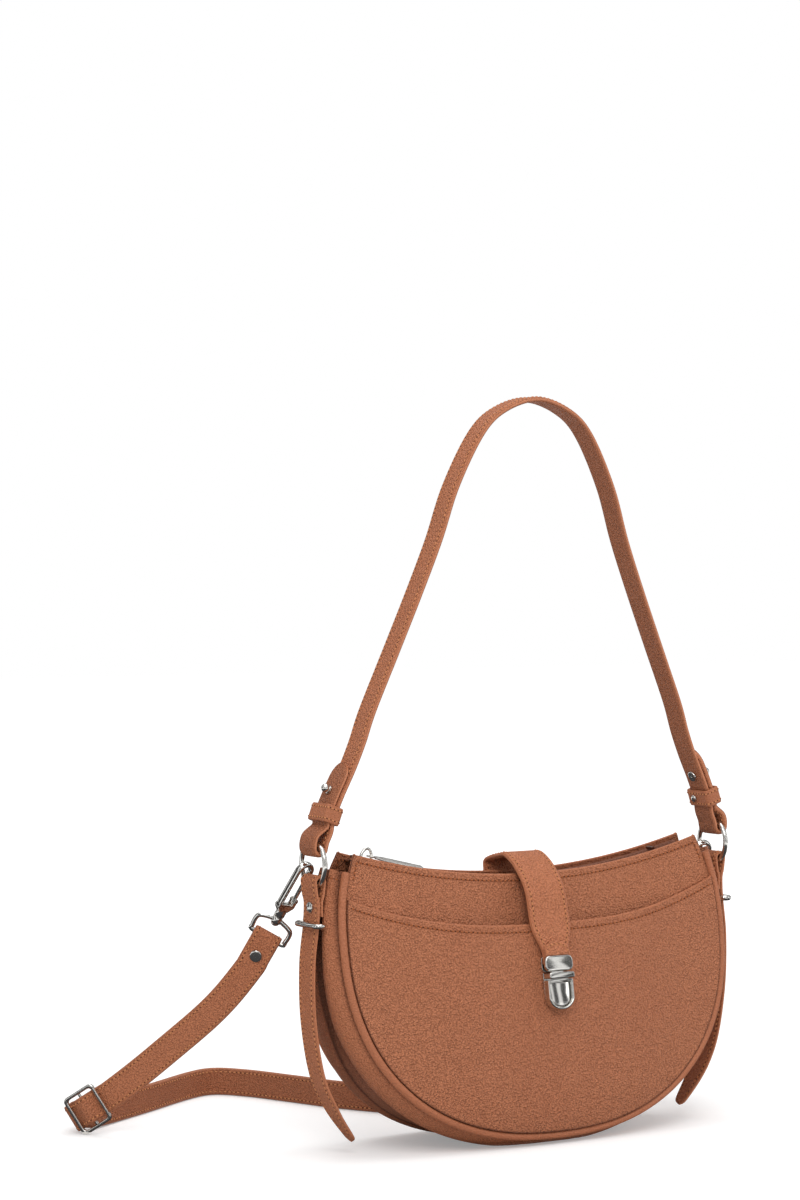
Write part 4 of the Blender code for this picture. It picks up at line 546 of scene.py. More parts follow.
def smooth_line(points, steps):
    """Catmull-Rom: a cubic blend of the four nearest corners, whole stretches at a time."""
    points = np.asarray(points, float)
    padded = np.vstack([2 * points[0] - points[1], points, 2 * points[-1] - points[-2]])
    a, b, c, d = [padded[k : k + len(points) - 1, None] for k in range(4)]
    t = np.linspace(0, 1, steps, endpoint=False)[None, :, None]
    bow, twist = 2 * a - 5 * b + 4 * c - d, 3 * b - 3 * c + d - a
    curve = 0.5 * (2 * b + (c - a) * t + bow * t**2 + twist * t**3)
    return np.vstack([curve.reshape(-1, points.shape[1]), points[-1:]])


def directions(path, across, closed=False):
    """Along the path, across it as far as it allows, and square to both, at every point."""
    path = np.asarray(path, float)
    if closed:
        along = np.roll(path, -1, axis=0) - np.roll(path, 1, axis=0)
    else:
        along = np.gradient(path, axis=0)
    along = unit(along)
    across = np.broadcast_to(np.asarray(across, float), path.shape)
    side = unit(across - np.sum(across * along, axis=1, keepdims=True) * along)
    return along, side, np.cross(along, side)


# %% [markdown]
# ## Sections carried along lines
#
# A strap is one flat section carried along a line. The section here is a closed loop of (across, up)
# numbers from -1 to 1, and the strap's width and thickness scale it at every step. A round wire is the
# same thing with a circle.

# %% Sections carried along lines
JOIN_DISTANCE = 0.003 * MM
LEAST_EDGE = 0.0005 * MM


def flat_section(power=10, count=15):
    """Up = (1 - |across| ^ power) ^ 1/2: flat in the middle and round at both edges."""
    across = np.sin(np.linspace(pi / 2, -pi / 2, count))
    across = np.sign(across) * np.abs(across) ** 0.8
    up = np.sqrt(np.clip(1 - np.abs(across) ** power, 0, 1))
    return np.vstack([np.column_stack([across, up]), np.column_stack([-across, -up])[1:-1]])


def round_section(count=12):
    """(cos t, sin t) round one full turn."""
    turn = np.linspace(0, 2 * pi, count, endpoint=False)
    return np.column_stack([np.cos(turn), np.sin(turn)])


def carried(path, across, width, height, section, closed=False):
    """Point = path + across * a * width / 2 + up * b * height / 2, for every step and every (a, b)."""
    _, side, up = directions(path, across, closed)
    half = np.broadcast_to(np.asarray(width, float) / 2, len(path))[:, None, None]
    lift = np.broadcast_to(np.asarray(height, float) / 2, len(path))[:, None, None]
    a = section[None, :, 0, None]
    b = section[None, :, 1, None]
    return np.asarray(path)[:, None] + side[:, None] * a * half + up[:, None] * b * lift


def tube_faces(rows, sides, closed=False, start=0, caps=True):
    """Quads between neighbouring rings, and a cap at each open end."""
    ring = np.arange(rows if closed else rows - 1)[:, None] * sides
    after = (np.arange(rows if closed else rows - 1)[:, None] + 1) % rows * sides
    a = np.arange(sides)[None]
    b = (a + 1) % sides
    quads = np.stack([ring + a, ring + b, after + b, after + a], axis=-1).reshape(-1, 4) + start
    faces = quads.tolist()
    if caps and not closed:
        faces.append([start + j for j in range(sides)][::-1])
        faces.append([start + (rows - 1) * sides + j for j in range(sides)])
    return faces


class Shape:
    """Points, faces and the numbers that the points carry, gathered from one or more grids."""

    def __init__(self):
        self.points, self.faces, self.uv, self.edge, self.seam = [], [], [], [], []
        self.size = 0

    def add(self, points, faces, uv, edge=0.0, seam=0.0):
        """Points in one list, with faces that already count from the shape's size."""
        self.faces += faces
        self.points.append(points)
        self.uv.append(uv)
        self.edge.append(np.broadcast_to(edge, len(points)))
        self.seam.append(np.broadcast_to(seam, len(points)))
        self.size += len(points)
        return self

    def grid(self, rings, closed=False, caps=True, uv=(0.0, 0.0), edge=0.0, seam=0.0):
        """Rings joined to a tube. Each number is given for all points, for a column or for every point."""
        rings = np.asarray(rings, float)
        rows, sides = rings.shape[:2]
        uv = np.broadcast_to(uv, (rows, sides, 2)).reshape(-1, 2)
        edge, seam = [np.broadcast_to(numbers, (rows, sides)).ravel() for numbers in (edge, seam)]
        faces = tube_faces(rows, sides, closed, self.size, caps)
        return self.add(rings.reshape(-1, 3), faces, uv, edge, seam)


def link_piece(name, mesh, look, body, stands_for, sharp):
    """Makes the object, ties it to its body and hides the measured nodes that it stands for."""
    mesh.shade_smooth()
    mesh.set_sharp_from_angle(angle=radians(sharp))
    mesh.materials.append(look)
    thing = bpy.data.objects.new(name, mesh)
    bpy.context.collection.objects.link(thing)
    if body:
        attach(thing, body)
    if stands_for:
        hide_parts(*stands_for)
    return thing


def put(name, shape, look, body, stands_for=(), sharp=45.0):
    """A piece from a shape: its seams and poles joined and its faces turned out."""
    mesh = bpy.data.meshes.new(name)
    mesh.from_pydata(np.concatenate(shape.points).tolist(), [], shape.faces)
    for key, numbers in (("edge", shape.edge), ("seam", shape.seam)):
        mesh.attributes.new(key, "FLOAT", "POINT").data.foreach_set("value", np.concatenate(numbers))
    corner = np.zeros(len(mesh.loops), dtype=np.int32)
    mesh.loops.foreach_get("vertex_index", corner)
    layer = mesh.uv_layers.new(name="UVMap")
    layer.data.foreach_set("uv", np.concatenate(shape.uv)[corner].ravel())
    work = bmesh.new()
    work.from_mesh(mesh)
    bmesh.ops.remove_doubles(work, verts=work.verts, dist=JOIN_DISTANCE)
    bmesh.ops.dissolve_degenerate(work, edges=work.edges, dist=LEAST_EDGE)
    bmesh.ops.recalc_face_normals(work, faces=work.faces)
    work.to_mesh(mesh)
    work.free()
    return link_piece(name, mesh, look, body, stands_for, sharp)


def metal(part, shape, body, sharp=60.0, side="", look=NICKEL):
    """A fitting, named after the measured node that it stands for."""
    ending = f"_{side}" if side else ""
    return put(f"{part}_metal{ending}", shape, look, body, (f"{part}{ending}",), sharp)


# %% [markdown]
# ## Sheets
#
# A panel is a sheet with two faces and a rolled edge. Its two faces are grids of points with the same rows
# and columns. Each row becomes one closed loop: along the outer face, round the edge in a half circle, and
# back along the inner face. The loops are then joined like the rings of a tube.


# %% Sheets
def edge_roll(outer, inner, toward, steps=5):
    """Half circle from outer to inner edge: centre + half gap * cos t + outward * radius * sin t."""
    centre = (outer + inner) / 2
    half = (outer - inner) / 2
    radius = np.linalg.norm(half, axis=-1, keepdims=True)
    turn = np.linspace(0, pi, steps + 2)[1:-1]
    rows = [centre + half * cos(t) + toward * radius * sin(t) for t in turn]
    return np.stack(rows, axis=1)


def sheet_rings(outer, inner, rolled=True):
    """One closed loop for each row, with its last edge rolled where that is asked for."""
    parts = [outer]
    if rolled:
        toward = unit(outer[:, -1] - outer[:, -2])
        toward[0], toward[-1] = toward[1], toward[-2]
        parts.append(edge_roll(outer[:, -1], inner[:, -1], toward))
    parts.append(inner[:, ::-1])
    return np.concatenate(parts, axis=1)


def padded_numbers(outer, inner, total, roll=0.0):
    """Numbers for a sheet's loops: the outer face's, one for the whole roll, the inner face's."""
    rows = outer.shape[0]
    fill = np.full((rows, total - outer.shape[1] - inner.shape[1]), roll)
    return np.concatenate([outer, fill, inner[:, ::-1]], axis=1)


# %% [markdown]
# ## Stitching
#
# Saddle stitching is a row of short thread ends, each sunk a little at both tips and ending in a needle
# hole. One stitch is a small template of a few dozen faces. It is copied along a row by numpy in one go:
# every stitch gets the place and the three directions of its spot on the leather.

# %% Stitching
STITCH_PITCH = 3.1 * MM
STITCH_LENGTH = 2.2 * MM
STITCH_RADIUS = 0.42 * MM
HOLE_RADIUS = 0.416 * MM
HOLE_AT = 0.56
HOLE_THICK = 0.1 * MM
STITCH_ROWS = ((-0.5, 0.25), (-0.42, 0.75), (-0.2, 1.0), (0.2, 1.0), (0.42, 0.75), (0.5, 0.25))
STITCH_SIDES = 6


def stitch_template(length, radius):
    """The thread's rings and two flat holes, as points (along, across, up), with their UV numbers.

    The thread's middle lies at radius * (0.1 - 0.9 * (2 * run)^4), so that both tips sink in.
    """
    turn = np.linspace(0, 2 * pi, STITCH_SIDES, endpoint=False)
    rings, numbers = [], []
    for run, size in STITCH_ROWS:
        dip = radius * (0.1 - 0.9 * (2 * run) ** 4)
        across, up = radius * size * np.cos(turn), dip + radius * size * np.sin(turn)
        rings.append(np.column_stack([np.full(STITCH_SIDES, run * length), across, up]))
        numbers.append(np.tile([run + 0.5, 0.0], (STITCH_SIDES, 1)))
    faces = tube_faces(len(rings), STITCH_SIDES)
    points = np.concatenate(rings)
    uv = np.concatenate(numbers)
    # Flat discs for the needle holes, whose dark colour is painted shade.
    for end in (-HOLE_AT * length, HOLE_AT * length):
        base = len(points)
        flat = np.column_stack([end + HOLE_RADIUS * np.cos(turn), HOLE_RADIUS * np.sin(turn), 0 * turn])
        tips = np.array([[end, 0, HOLE_THICK / 2], [end, 0, -HOLE_THICK / 2]])
        points = np.vstack([points, flat, tips])
        uv = np.vstack([uv, np.tile([0.5, 1.0], (STITCH_SIDES + 2, 1))])
        for j in range(STITCH_SIDES):
            k = (j + 1) % STITCH_SIDES
            faces.append([base + j, base + k, base + STITCH_SIDES])
            faces.append([base + k, base + j, base + STITCH_SIDES + 1])
    return points, faces, uv


def stitch_row(shape, points, normals, pitch=STITCH_PITCH, length=STITCH_LENGTH, radius=STITCH_RADIUS):
    """Adds a row of stitches: place + along * x + across * y + normal * z for each template point."""
    row = np.column_stack([points, normals])
    row = even(row, max(3, int(round(line_length(row) / pitch)) * 2 + 1))
    along, across, up = directions(row[:, :3], np.cross(row[:, 3:], np.gradient(row[:, :3], axis=0)))
    spots = slice(1, None, 2)
    normal = unit(row[spots, 3:])
    way = unit(along[spots] - np.sum(along[spots] * normal, axis=1, keepdims=True) * normal)
    side = np.cross(normal, way)
    template, faces, uv = stitch_template(length, radius)
    made = (row[spots, None, :3] + way[:, None] * template[None, :, 0, None]
            + side[:, None] * template[None, :, 1, None] + normal[:, None] * template[None, :, 2, None])
    count, size = made.shape[:2]
    offsets = shape.size + np.arange(count) * size
    faces = [[corner + int(offset) for corner in face] for offset in offsets for face in faces]
    shape.add(made.reshape(-1, 3), faces, np.tile(uv, (count, 1)))


def put_stitches(name, rows, body, look=THREAD, **sizes):
    """One piece for all the rows of a body's stitching."""
    shape = Shape()
    for points, normals in rows:
        stitch_row(shape, points, normals, **sizes)
    put(name, shape, look, body, sharp=80.0)
    print(name, "rows", len(rows), "faces", len(shape.faces))


def strap_rows(path, across, width, thickness, inset, faces=(1, -1)):
    """Stitch lines along both edges of a strap, on one or both of its faces."""
    _, side, up = directions(path, across)
    half = np.broadcast_to(np.asarray(width, float) / 2, len(path))[:, None]
    lift = np.broadcast_to(np.asarray(thickness, float) / 2, len(path))[:, None]
    rows = []
    for face in faces:
        for edge in (-1, 1):
            rows.append((path + side * edge * (half - inset) + up * face * lift, up * face))
    return rows


# %% [markdown]
# ## The half moon
#
# The bag's outline is a superellipse, taller above the waist than a circle would be, and its mouth is a
# hollow arc. The panels lean together towards the mouth and swell a little in the middle. These are the
# same formulas as the measured model's, read at far more places.

# %% The half moon
GAP = 0.3 * MM
SLIDE_GAP = 0.4 * MM
HALF_WIDTH = 142.4 * MM
WAIST_Z = 130.0 * MM
BELLY_DROP = 124.0 * MM
SHOULDER_RISE = 119.0 * MM
OUTLINE_POWER = 2.3
MOUTH_Z = 184.5 * MM
MOUTH_DIP = 18.5 * MM
GUSSET_TOP_Z = 173.0 * MM
MOUTH_HALF_DEPTH = 10.0 * MM
BASE_HALF_DEPTH = 41.7 * MM
FRONT_SWELL = 5.5 * MM
BACK_SWELL = 9.0 * MM
SWELL_FALL = 60.0 * MM
SWELL_POWER = 2.5
PANEL_LEATHER = 1.8 * MM
PIPING_RADIUS = 2.2 * MM
COLUMNS = 240


def outline(count, top_z, inset=0.0):
    """|x / width| ^ p + |z / height| ^ p = 1, from the upper left round the base to the upper right."""
    start = asin(((top_z - WAIST_Z) / SHOULDER_RISE) ** (OUTLINE_POWER / 2))
    turn = np.linspace(pi - start, 2 * pi + start, 3000)
    c, s = np.cos(turn), np.sin(turn)
    rise = np.where(s > 0, SHOULDER_RISE, BELLY_DROP)
    x = HALF_WIDTH * np.sign(c) * np.abs(c) ** (2 / OUTLINE_POWER)
    z = WAIST_Z + rise * np.sign(s) * np.abs(s) ** (2 / OUTLINE_POWER)
    flat = np.column_stack([x, 0 * x, z])
    points = even(flat, count)[:, [0, 2]]
    along = unit(np.gradient(points, axis=0))
    normal = np.column_stack([along[:, 1], -along[:, 0]])
    return points - normal * inset, normal


MOUTH_SHARE = 1 - ((MOUTH_Z - WAIST_Z) / SHOULDER_RISE) ** OUTLINE_POWER
MOUTH_HALF = HALF_WIDTH * MOUTH_SHARE ** (1 / OUTLINE_POWER)
MOUTH_RADIUS = (MOUTH_HALF**2 + MOUTH_DIP**2) / (2 * MOUTH_DIP)
MOUTH_CENTRE_Z = MOUTH_Z - MOUTH_DIP + MOUTH_RADIUS


def mouth_z(x, lower=0.0):
    """A circle's lower arc, or one that much larger about the same centre."""
    return MOUTH_CENTRE_Z - np.sqrt((MOUTH_RADIUS + lower) ** 2 - np.square(x))


def below_mouth(x, z):
    """Distance under the mouth's edge, measured straight to its arc."""
    return np.hypot(x, MOUTH_CENTRE_Z - z) - MOUTH_RADIUS


def half_depth(z):
    """Half the bag's depth, which falls in a straight line from the base to the mouth."""
    return BASE_HALF_DEPTH + (MOUTH_HALF_DEPTH - BASE_HALF_DEPTH) * np.asarray(z) / MOUTH_Z


def fullness(x, z):
    """1 at the middle of a panel, 0 along the outline."""
    rise = np.where(np.asarray(z) > WAIST_Z, SHOULDER_RISE, BELLY_DROP)
    spread = np.abs(np.asarray(x) / HALF_WIDTH) ** OUTLINE_POWER
    spread = spread + np.abs((np.asarray(z) - WAIST_Z) / rise) ** OUTLINE_POWER
    return 1 - np.clip(spread, 0, 1) ** (SWELL_POWER / OUTLINE_POWER)


def swell(x, z):
    """Fullness * sin(quarter turn * distance under the mouth / fall)."""
    below = np.clip((mouth_z(x) - z) / SWELL_FALL, 0, 1)
    return fullness(x, z) * np.sin(below * pi / 2)


def front_y(x, z):
    """-(half depth + swell)."""
    return -(half_depth(z) + FRONT_SWELL * swell(x, z))


def back_y(x, z):
    """Half depth + a larger swell."""
    return half_depth(z) + BACK_SWELL * swell(x, z)


print("mouth radius", round(MOUTH_RADIUS, 4), "centre height", round(MOUTH_CENTRE_Z, 4))

# %% [markdown]
# ## Front and back panels
#
# Each panel is a fan of lines from the outline up to its own top edge. The turned edge is two layers of
# leather, so it stands up as a soft ridge, and the stitching pulls a shallow groove beside it. Both are
# bumps in the distance from the edge: a smooth step for the ridge and a narrow bell for the groove.

# %% Panel shapes
EDGE_TURN = 3.4 * MM
EDGE_RIDGE = 0.26 * MM
SEAM_INSET = 4.3 * MM
GROOVE_DEPTH = 0.12 * MM
GROOVE_WIDTH = 0.9 * MM
# Width and strength of the darkening along seams and stitching grooves: dye and painted shade.
SEAM_DARK_WIDTH = 0.8 * MM
SEAM_DYE_AND_SHADE = 0.85
GROOVE_DYE_AND_SHADE = 0.06
RIM_PAINT = 0.5
RIM_PAINT_WIDTH = 0.5 * MM
ROLL_PAINT = 0.55
MOUTH_RIDGE = 0.6 * EDGE_RIDGE
FAN_ROWS = ((0.0, 0.03, 4), (0.03, 0.93, 28), (0.93, 1.0, 24))


def smooth_step(value):
    """Value^2 * (3 - 2 * value), held between 0 and 1."""
    value = np.clip(value, 0, 1)
    return value * value * (3 - 2 * value)


def bell(distance, width):
    """e ^ -(distance / width)^2."""
    return np.exp(-((distance / width) ** 2))


def turned_edge(distance, ridge):
    """Ridge within the turn, less the groove along the stitching: both in the distance from the edge."""
    height = ridge * (1 - smooth_step(distance / (EDGE_TURN * 1.1)))
    return height - GROOVE_DEPTH * bell(distance - SEAM_INSET, GROOVE_WIDTH)


def fan(bottom, top):
    """Share * top + (1 - share) * bottom, with more rows near the top, where the edge is shaped."""
    share = np.concatenate([[0.0]] + [np.linspace(*rows)[1:] for rows in FAN_ROWS])
    return (1 - share)[None, :, None] * bottom[:, None] + share[None, :, None] * top[:, None]


def leather_panel(bottom, top, face_y, distance, inward, ridge):
    """Outer face at face_y less the edge's ridge, inner face one leather behind it."""
    grid = fan(bottom, top)
    x, z = grid[..., 0], grid[..., 1]
    gap = distance(x, z)
    y = face_y(x, z) - inward * turned_edge(gap, ridge)
    outer = np.stack([x, y, z], axis=-1)
    inner_y = face_y(x, z) + inward * PANEL_LEATHER
    inner = np.stack([x, inner_y, z], axis=-1)
    rings = sheet_rings(outer, inner)
    rim = np.linalg.norm(grid - bottom[:, None], axis=-1)
    # Painted shade and dye along the piping seam and in the stitching groove.
    dye_and_shade = SEAM_DYE_AND_SHADE * bell(rim, SEAM_DARK_WIDTH) + GROOVE_DYE_AND_SHADE * bell(gap - SEAM_INSET, GROOVE_WIDTH)
    seam = padded_numbers(dye_and_shade, 0 * dye_and_shade, rings.shape[1])
    painted = RIM_PAINT * bell(gap, RIM_PAINT_WIDTH)
    edge = padded_numbers(painted, painted, rings.shape[1], ROLL_PAINT)
    return Shape().grid(rings, uv=sheet_uv(rings), edge=edge, seam=seam)


def sheet_uv(rings):
    """Metres along the rows and across them, for creases that follow the piece."""
    rows, sides = rings.shape[:2]
    run = np.linspace(0, line_length(rings[:, sides // 4]), rows)
    across = run_along(rings[rows // 2])
    return np.stack(np.broadcast_arrays(run[:, None], across[None]), axis=-1)


def whole_panel(part, face_y, side):
    """A front or back from the piping up to the mouth's arc."""
    bottom, _ = outline(COLUMNS, MOUTH_Z, PIPING_RADIUS + GAP)
    x = np.linspace(bottom[0, 0], bottom[-1, 0], COLUMNS)
    top = np.column_stack([x, mouth_z(x, PANEL_LEATHER / 2)])
    top[0], top[-1] = bottom[0], bottom[-1]
    shape = leather_panel(bottom, top, face_y, below_mouth, -side, MOUTH_RIDGE)
    put(f"{part}_leather", shape, PANEL_LOOK, "bag", (part,))


whole_panel("front_panel", front_y, -1)
whole_panel("back_panel", back_y, 1)
print("panels", COLUMNS, "columns each")

# %% [markdown]
# ## Front pocket
#
# The pocket is a second front, cut lower in a long curve, and it gapes a little over its middle where the
# lock pulls at it. Its turned edge is the thickest ridge on the bag.

# %% Front pocket
POCKET_EDGE_Z = 136.0 * MM
POCKET_EDGE_RISE = 23.0 * MM
POCKET_EDGE_POWER = 2.6
POCKET_GAPE = 5.9 * MM
POCKET_GAPE_HALF = 105.0 * MM
POCKET_GAPE_POWER = 4
POCKET_GAPE_SIDE_POWER = 3


def pocket_edge_z(x):
    """Lowest height + rise * |x / half width| ^ power."""
    return POCKET_EDGE_Z + POCKET_EDGE_RISE * np.abs(np.asarray(x) / HALF_WIDTH) ** POCKET_EDGE_POWER


def pocket_y(x, z):
    """The front, one leather further out, plus a gape that fades towards the sides and the base."""
    gape = np.clip(1 - np.abs(np.asarray(x) / POCKET_GAPE_HALF) ** POCKET_GAPE_SIDE_POWER, 0, 1)
    gape = gape * (1 - (1 - fullness(x, z)) ** POCKET_GAPE_POWER)
    return front_y(x, z) - GAP - PANEL_LEATHER - POCKET_GAPE * gape


def below_pocket_edge(x, z):
    """Height under the edge, shortened where the edge slopes."""
    slope = POCKET_EDGE_RISE * POCKET_EDGE_POWER / HALF_WIDTH
    slope = slope * np.abs(np.asarray(x) / HALF_WIDTH) ** (POCKET_EDGE_POWER - 1)
    return (pocket_edge_z(x) - z) / np.sqrt(1 + slope**2)


whole, _ = outline(COLUMNS * 6, GUSSET_TOP_Z, PIPING_RADIUS + GAP)
lower = whole[whole[:, 1] < pocket_edge_z(whole[:, 0])]
pocket_bottom = even(np.insert(lower, 1, 0, axis=1), COLUMNS)[:, [0, 2]]
pocket_x = np.linspace(pocket_bottom[0, 0], pocket_bottom[-1, 0], COLUMNS)
pocket_top = np.column_stack([pocket_x, pocket_edge_z(pocket_x) - PANEL_LEATHER / 2])
pocket_top[0], pocket_top[-1] = pocket_bottom[0], pocket_bottom[-1]
pocket = leather_panel(pocket_bottom, pocket_top, pocket_y, below_pocket_edge, 1, EDGE_RIDGE)
put("pocket_leather", pocket, PANEL_LOOK, "bag", ("pocket_panel",))
print("pocket reach", pocket_x[[0, -1]].round(4))

# %% [markdown]
# ## Stitching on the panels
#
# A row lies on a panel at a fixed distance from its edge. Its height above the leather comes from the same
# face formula, and the normal from the slopes of that formula in both directions.

# %% Stitching on the panels
SLOPE_STEP = 0.5 * MM
EAR_SEAM_Z = 168.0 * MM
EAR_SEAM_INSET = 0.8 * SEAM_INSET
POCKET_SEAM_INSET = 1.03 * SEAM_INSET
POCKET_ROW_END = 1.5 * MM
STITCH_LIFT = 0.5 * GROOVE_DEPTH
STITCH_INSIDE = 1.02 * PANEL_LEATHER


def on_face(face_y, x, z, side, depth=0.0):
    """Points on a face and their normals: (dy/dx, -1, dy/dz) for the front, reversed for the back."""
    y = face_y(x, z) - side * depth
    slope_x = (face_y(x + SLOPE_STEP, z) - face_y(x - SLOPE_STEP, z)) / (2 * SLOPE_STEP)
    slope_z = (face_y(x, z + SLOPE_STEP) - face_y(x, z - SLOPE_STEP)) / (2 * SLOPE_STEP)
    normals = unit(np.column_stack([-side * slope_x, np.full(len(x), float(side)), -side * slope_z]))
    return np.column_stack([x, y, z]), normals


def mouth_row():
    """Up one ear's side, along under the mouth, and down the other ear, as (x, z)."""
    side_line, _ = outline(900, MOUTH_Z, PIPING_RADIUS + GAP + EAR_SEAM_INSET)
    inside = below_mouth(side_line[:, 0], side_line[:, 1]) > SEAM_INSET
    ear = side_line[inside & (side_line[:, 1] > EAR_SEAM_Z) & (side_line[:, 0] < 0)][::-1]
    reach = -ear[-1, 0]
    x = np.linspace(-reach, reach, 400)[1:-1]
    middle = np.column_stack([x, mouth_z(x, SEAM_INSET)])
    return np.vstack([ear, middle, ear[::-1] * [-1, 1]])


row_x, row_z = mouth_row().T
pocket_row_x = np.linspace(pocket_x[0] + POCKET_ROW_END, pocket_x[-1] - POCKET_ROW_END, 400)
pocket_row_z = pocket_edge_z(pocket_row_x) - POCKET_SEAM_INSET
panel_rows = [on_face(front_y, row_x, row_z, -1, -STITCH_LIFT)]
panel_rows.append(on_face(back_y, row_x, row_z, 1, STITCH_LIFT))
for face_y, side in ((front_y, -1), (back_y, 1)):
    points, normals = on_face(face_y, row_x, row_z, side, STITCH_INSIDE)
    panel_rows.append((points, -normals))
panel_rows.append(on_face(pocket_y, pocket_row_x, pocket_row_z, -1, -STITCH_LIFT))
put_stitches("panel_stitching", panel_rows, "bag", THREAD_IN_PAINTED_SHADE)

# %% [markdown]
# ## Side bands
#
# Beside each line of piping runs a rounded band: a sheet that leaves the outline in part of a sine wave and
# comes back towards it at the seam with the folded strip. Under the base it is kept above the floor.

# %% Side bands
BAND_THICK = 1.8 * MM
BAND_SPAN = 22.0 * MM
BAND_SWELL = 7.6 * MM
BAND_TURN_SHARE = 0.78
BAND_ROUND_POWER = 0.8
FOLD_HALF_LEAST = 3.0 * MM
FOLD_DEPTH = 10.0 * MM
FOLD_POWER = 1.3
BASE_SWELL = 1.6 * MM
GUSSET_LEATHER = 1.2 * MM
SEAM_OFFSET = BAND_SWELL * sin(pi * BAND_TURN_SHARE) ** BAND_ROUND_POWER
RUN_COUNT = 300
BAND_COLUMNS = 22
BAND_GATHER = 1.15
BAND_RIM_DARK_WIDTH = 1.8 * SEAM_DARK_WIDTH
BAND_SEAM_DYE_AND_SHADE = 0.6
# Painted shade over the far half of the back band.
BACK_BAND_SHADE = 0.35


def band_reach(z):
    """How far from the middle a band starts, beside the piping, and ends, at its seam."""
    outer = half_depth(z) - PIPING_RADIUS - GAP
    return outer, outer - np.minimum(BAND_SPAN, outer - FOLD_HALF_LEAST - GAP)


def band_offset(share):
    """Swell * sin(turn * share) ^ power, from the piping (0) to the seam (1)."""
    return BAND_SWELL * np.sin(pi * BAND_TURN_SHARE * share) ** BAND_ROUND_POWER


def base_swell(z):
    """A little more leather under the base, fading out over three band widths."""
    return BASE_SWELL * np.clip(1 - np.asarray(z) / (3 * BAND_SPAN), 0, 1)


def set_out(points, normal, offset, y, least_z):
    """Points moved out from the outline by the offset, but never under the floor."""
    x = points[:, None, 0] + normal[:, None, 0] * offset
    z = np.maximum(points[:, None, 1] + normal[:, None, 1] * offset, least_z)
    return np.stack([x, np.broadcast_to(y, x.shape), z], axis=-1)


run_points, run_normal = outline(RUN_COUNT, GUSSET_TOP_Z)
run_length = line_length(np.insert(run_points, 1, 0, axis=1))


def side_band(part, side, shade=0.0):
    """Both faces of a band, dark with dye and painted shade at piping and seam. Gives back its outer face.
    """
    share = np.linspace(0, 1, BAND_COLUMNS)[None] ** BAND_GATHER
    outer_y, seam_y = band_reach(run_points[:, 1:])
    y = side * (outer_y + (seam_y - outer_y) * share)
    offset = band_offset(share) + base_swell(run_points[:, 1:]) * share
    outer = set_out(run_points, run_normal, offset, y, 0.0)
    inner = set_out(run_points, run_normal, offset - BAND_THICK, y, BAND_THICK)
    rings = sheet_rings(outer, inner, rolled=False)
    width = (outer_y - seam_y) * share
    dye_and_shade = SEAM_DYE_AND_SHADE * bell(width, BAND_RIM_DARK_WIDTH)
    dye_and_shade = dye_and_shade + BAND_SEAM_DYE_AND_SHADE * bell(outer_y - seam_y - width, SEAM_DARK_WIDTH)
    # Painted shade over the far half of the band, as much as the shade asks for.
    dye_and_shade = np.clip(dye_and_shade + shade * smooth_step(share / 0.5), 0, 1)
    seam = padded_numbers(dye_and_shade, 0 * dye_and_shade, rings.shape[1])
    shape = Shape().grid(rings, uv=sheet_uv(rings), seam=seam)
    put(f"{part}_leather", shape, BAND_LOOK, "bag", (part,))
    return outer


front_band = side_band("front_band", -1)
back_band = side_band("back_band", 1, BACK_BAND_SHADE)

# %% [markdown]
# ## Folded strip
#
# One strip joins the two bands. It folds inwards towards the mouth, where the bag is narrow, and lies flat
# under the base. The fold's depth follows from how narrow the strip is, and a raised seam runs along it.

# %% Folded strip
FOLD_SEAM_RISE = 0.5 * MM
FOLD_SEAM_WIDTH = 1.1 * MM
FOLD_SEAM_LEAST_Z = 4 * MM
# Darkening along the strip's edges and over its sunken middle seam: dye and painted shade.
FOLD_SEAM_DARK_WIDTH = 1.6 * MM
FOLD_EDGE_DYE_AND_SHADE = 0.8
FOLD_SEAM_DYE_AND_SHADE = 0.3


def fold_offset(points, share, inward=0.0):
    """Seam offset less a fold that is deep where the strip is narrow."""
    _, seam_y = band_reach(points[:, 1:])
    _, widest = band_reach(0.0)
    tightness = 1 - np.clip((seam_y - FOLD_HALF_LEAST) / (widest - FOLD_HALF_LEAST), 0, 1)
    depth = FOLD_DEPTH * tightness * (1 - np.abs(share) ** FOLD_POWER)
    return SEAM_OFFSET + base_swell(points[:, 1:]) - depth - inward


fold_share = np.linspace(-1, 1, 33)[None]
_, fold_seam_y = band_reach(run_points[:, 1:])
fold_y = (fold_seam_y - GAP) * fold_share
ridge = FOLD_SEAM_RISE * bell(fold_y, FOLD_SEAM_WIDTH) * (run_points[:, 1:] > FOLD_SEAM_LEAST_Z)
fold_out = fold_offset(run_points, fold_share) + ridge
fold_in = fold_offset(run_points, fold_share, GUSSET_LEATHER)
fold_outer = set_out(run_points, run_normal, fold_out, fold_y, 0.0)
fold_inner = set_out(run_points, run_normal, fold_in, fold_y, GUSSET_LEATHER)
fold_rings = sheet_rings(fold_outer, fold_inner, rolled=False)
edge_near = fold_seam_y * (1 - np.abs(fold_share))
# Painted shade and dye along the strip's edges and over its sunken middle seam.
fold_dye_and_shade = FOLD_EDGE_DYE_AND_SHADE * bell(edge_near, SEAM_DARK_WIDTH) + FOLD_SEAM_DYE_AND_SHADE * bell(fold_y, FOLD_SEAM_DARK_WIDTH)
fold_seam_dye_and_shade = padded_numbers(fold_dye_and_shade, 0 * fold_dye_and_shade, fold_rings.shape[1])
fold_shape = Shape().grid(fold_rings, uv=sheet_uv(fold_rings), seam=fold_seam_dye_and_shade)
# The whole strip takes the leather in painted shade.
put("folded_strip_leather", fold_shape, SHADE_LOOK, "bag", ("folded_gusset",))

# %% [markdown]
# ## Piping
#
# The piping is a cord wrapped in leather: a plain round section carried along the outline of each panel.

# %% Piping
PIPING_FULLNESS = 0.25 * MM


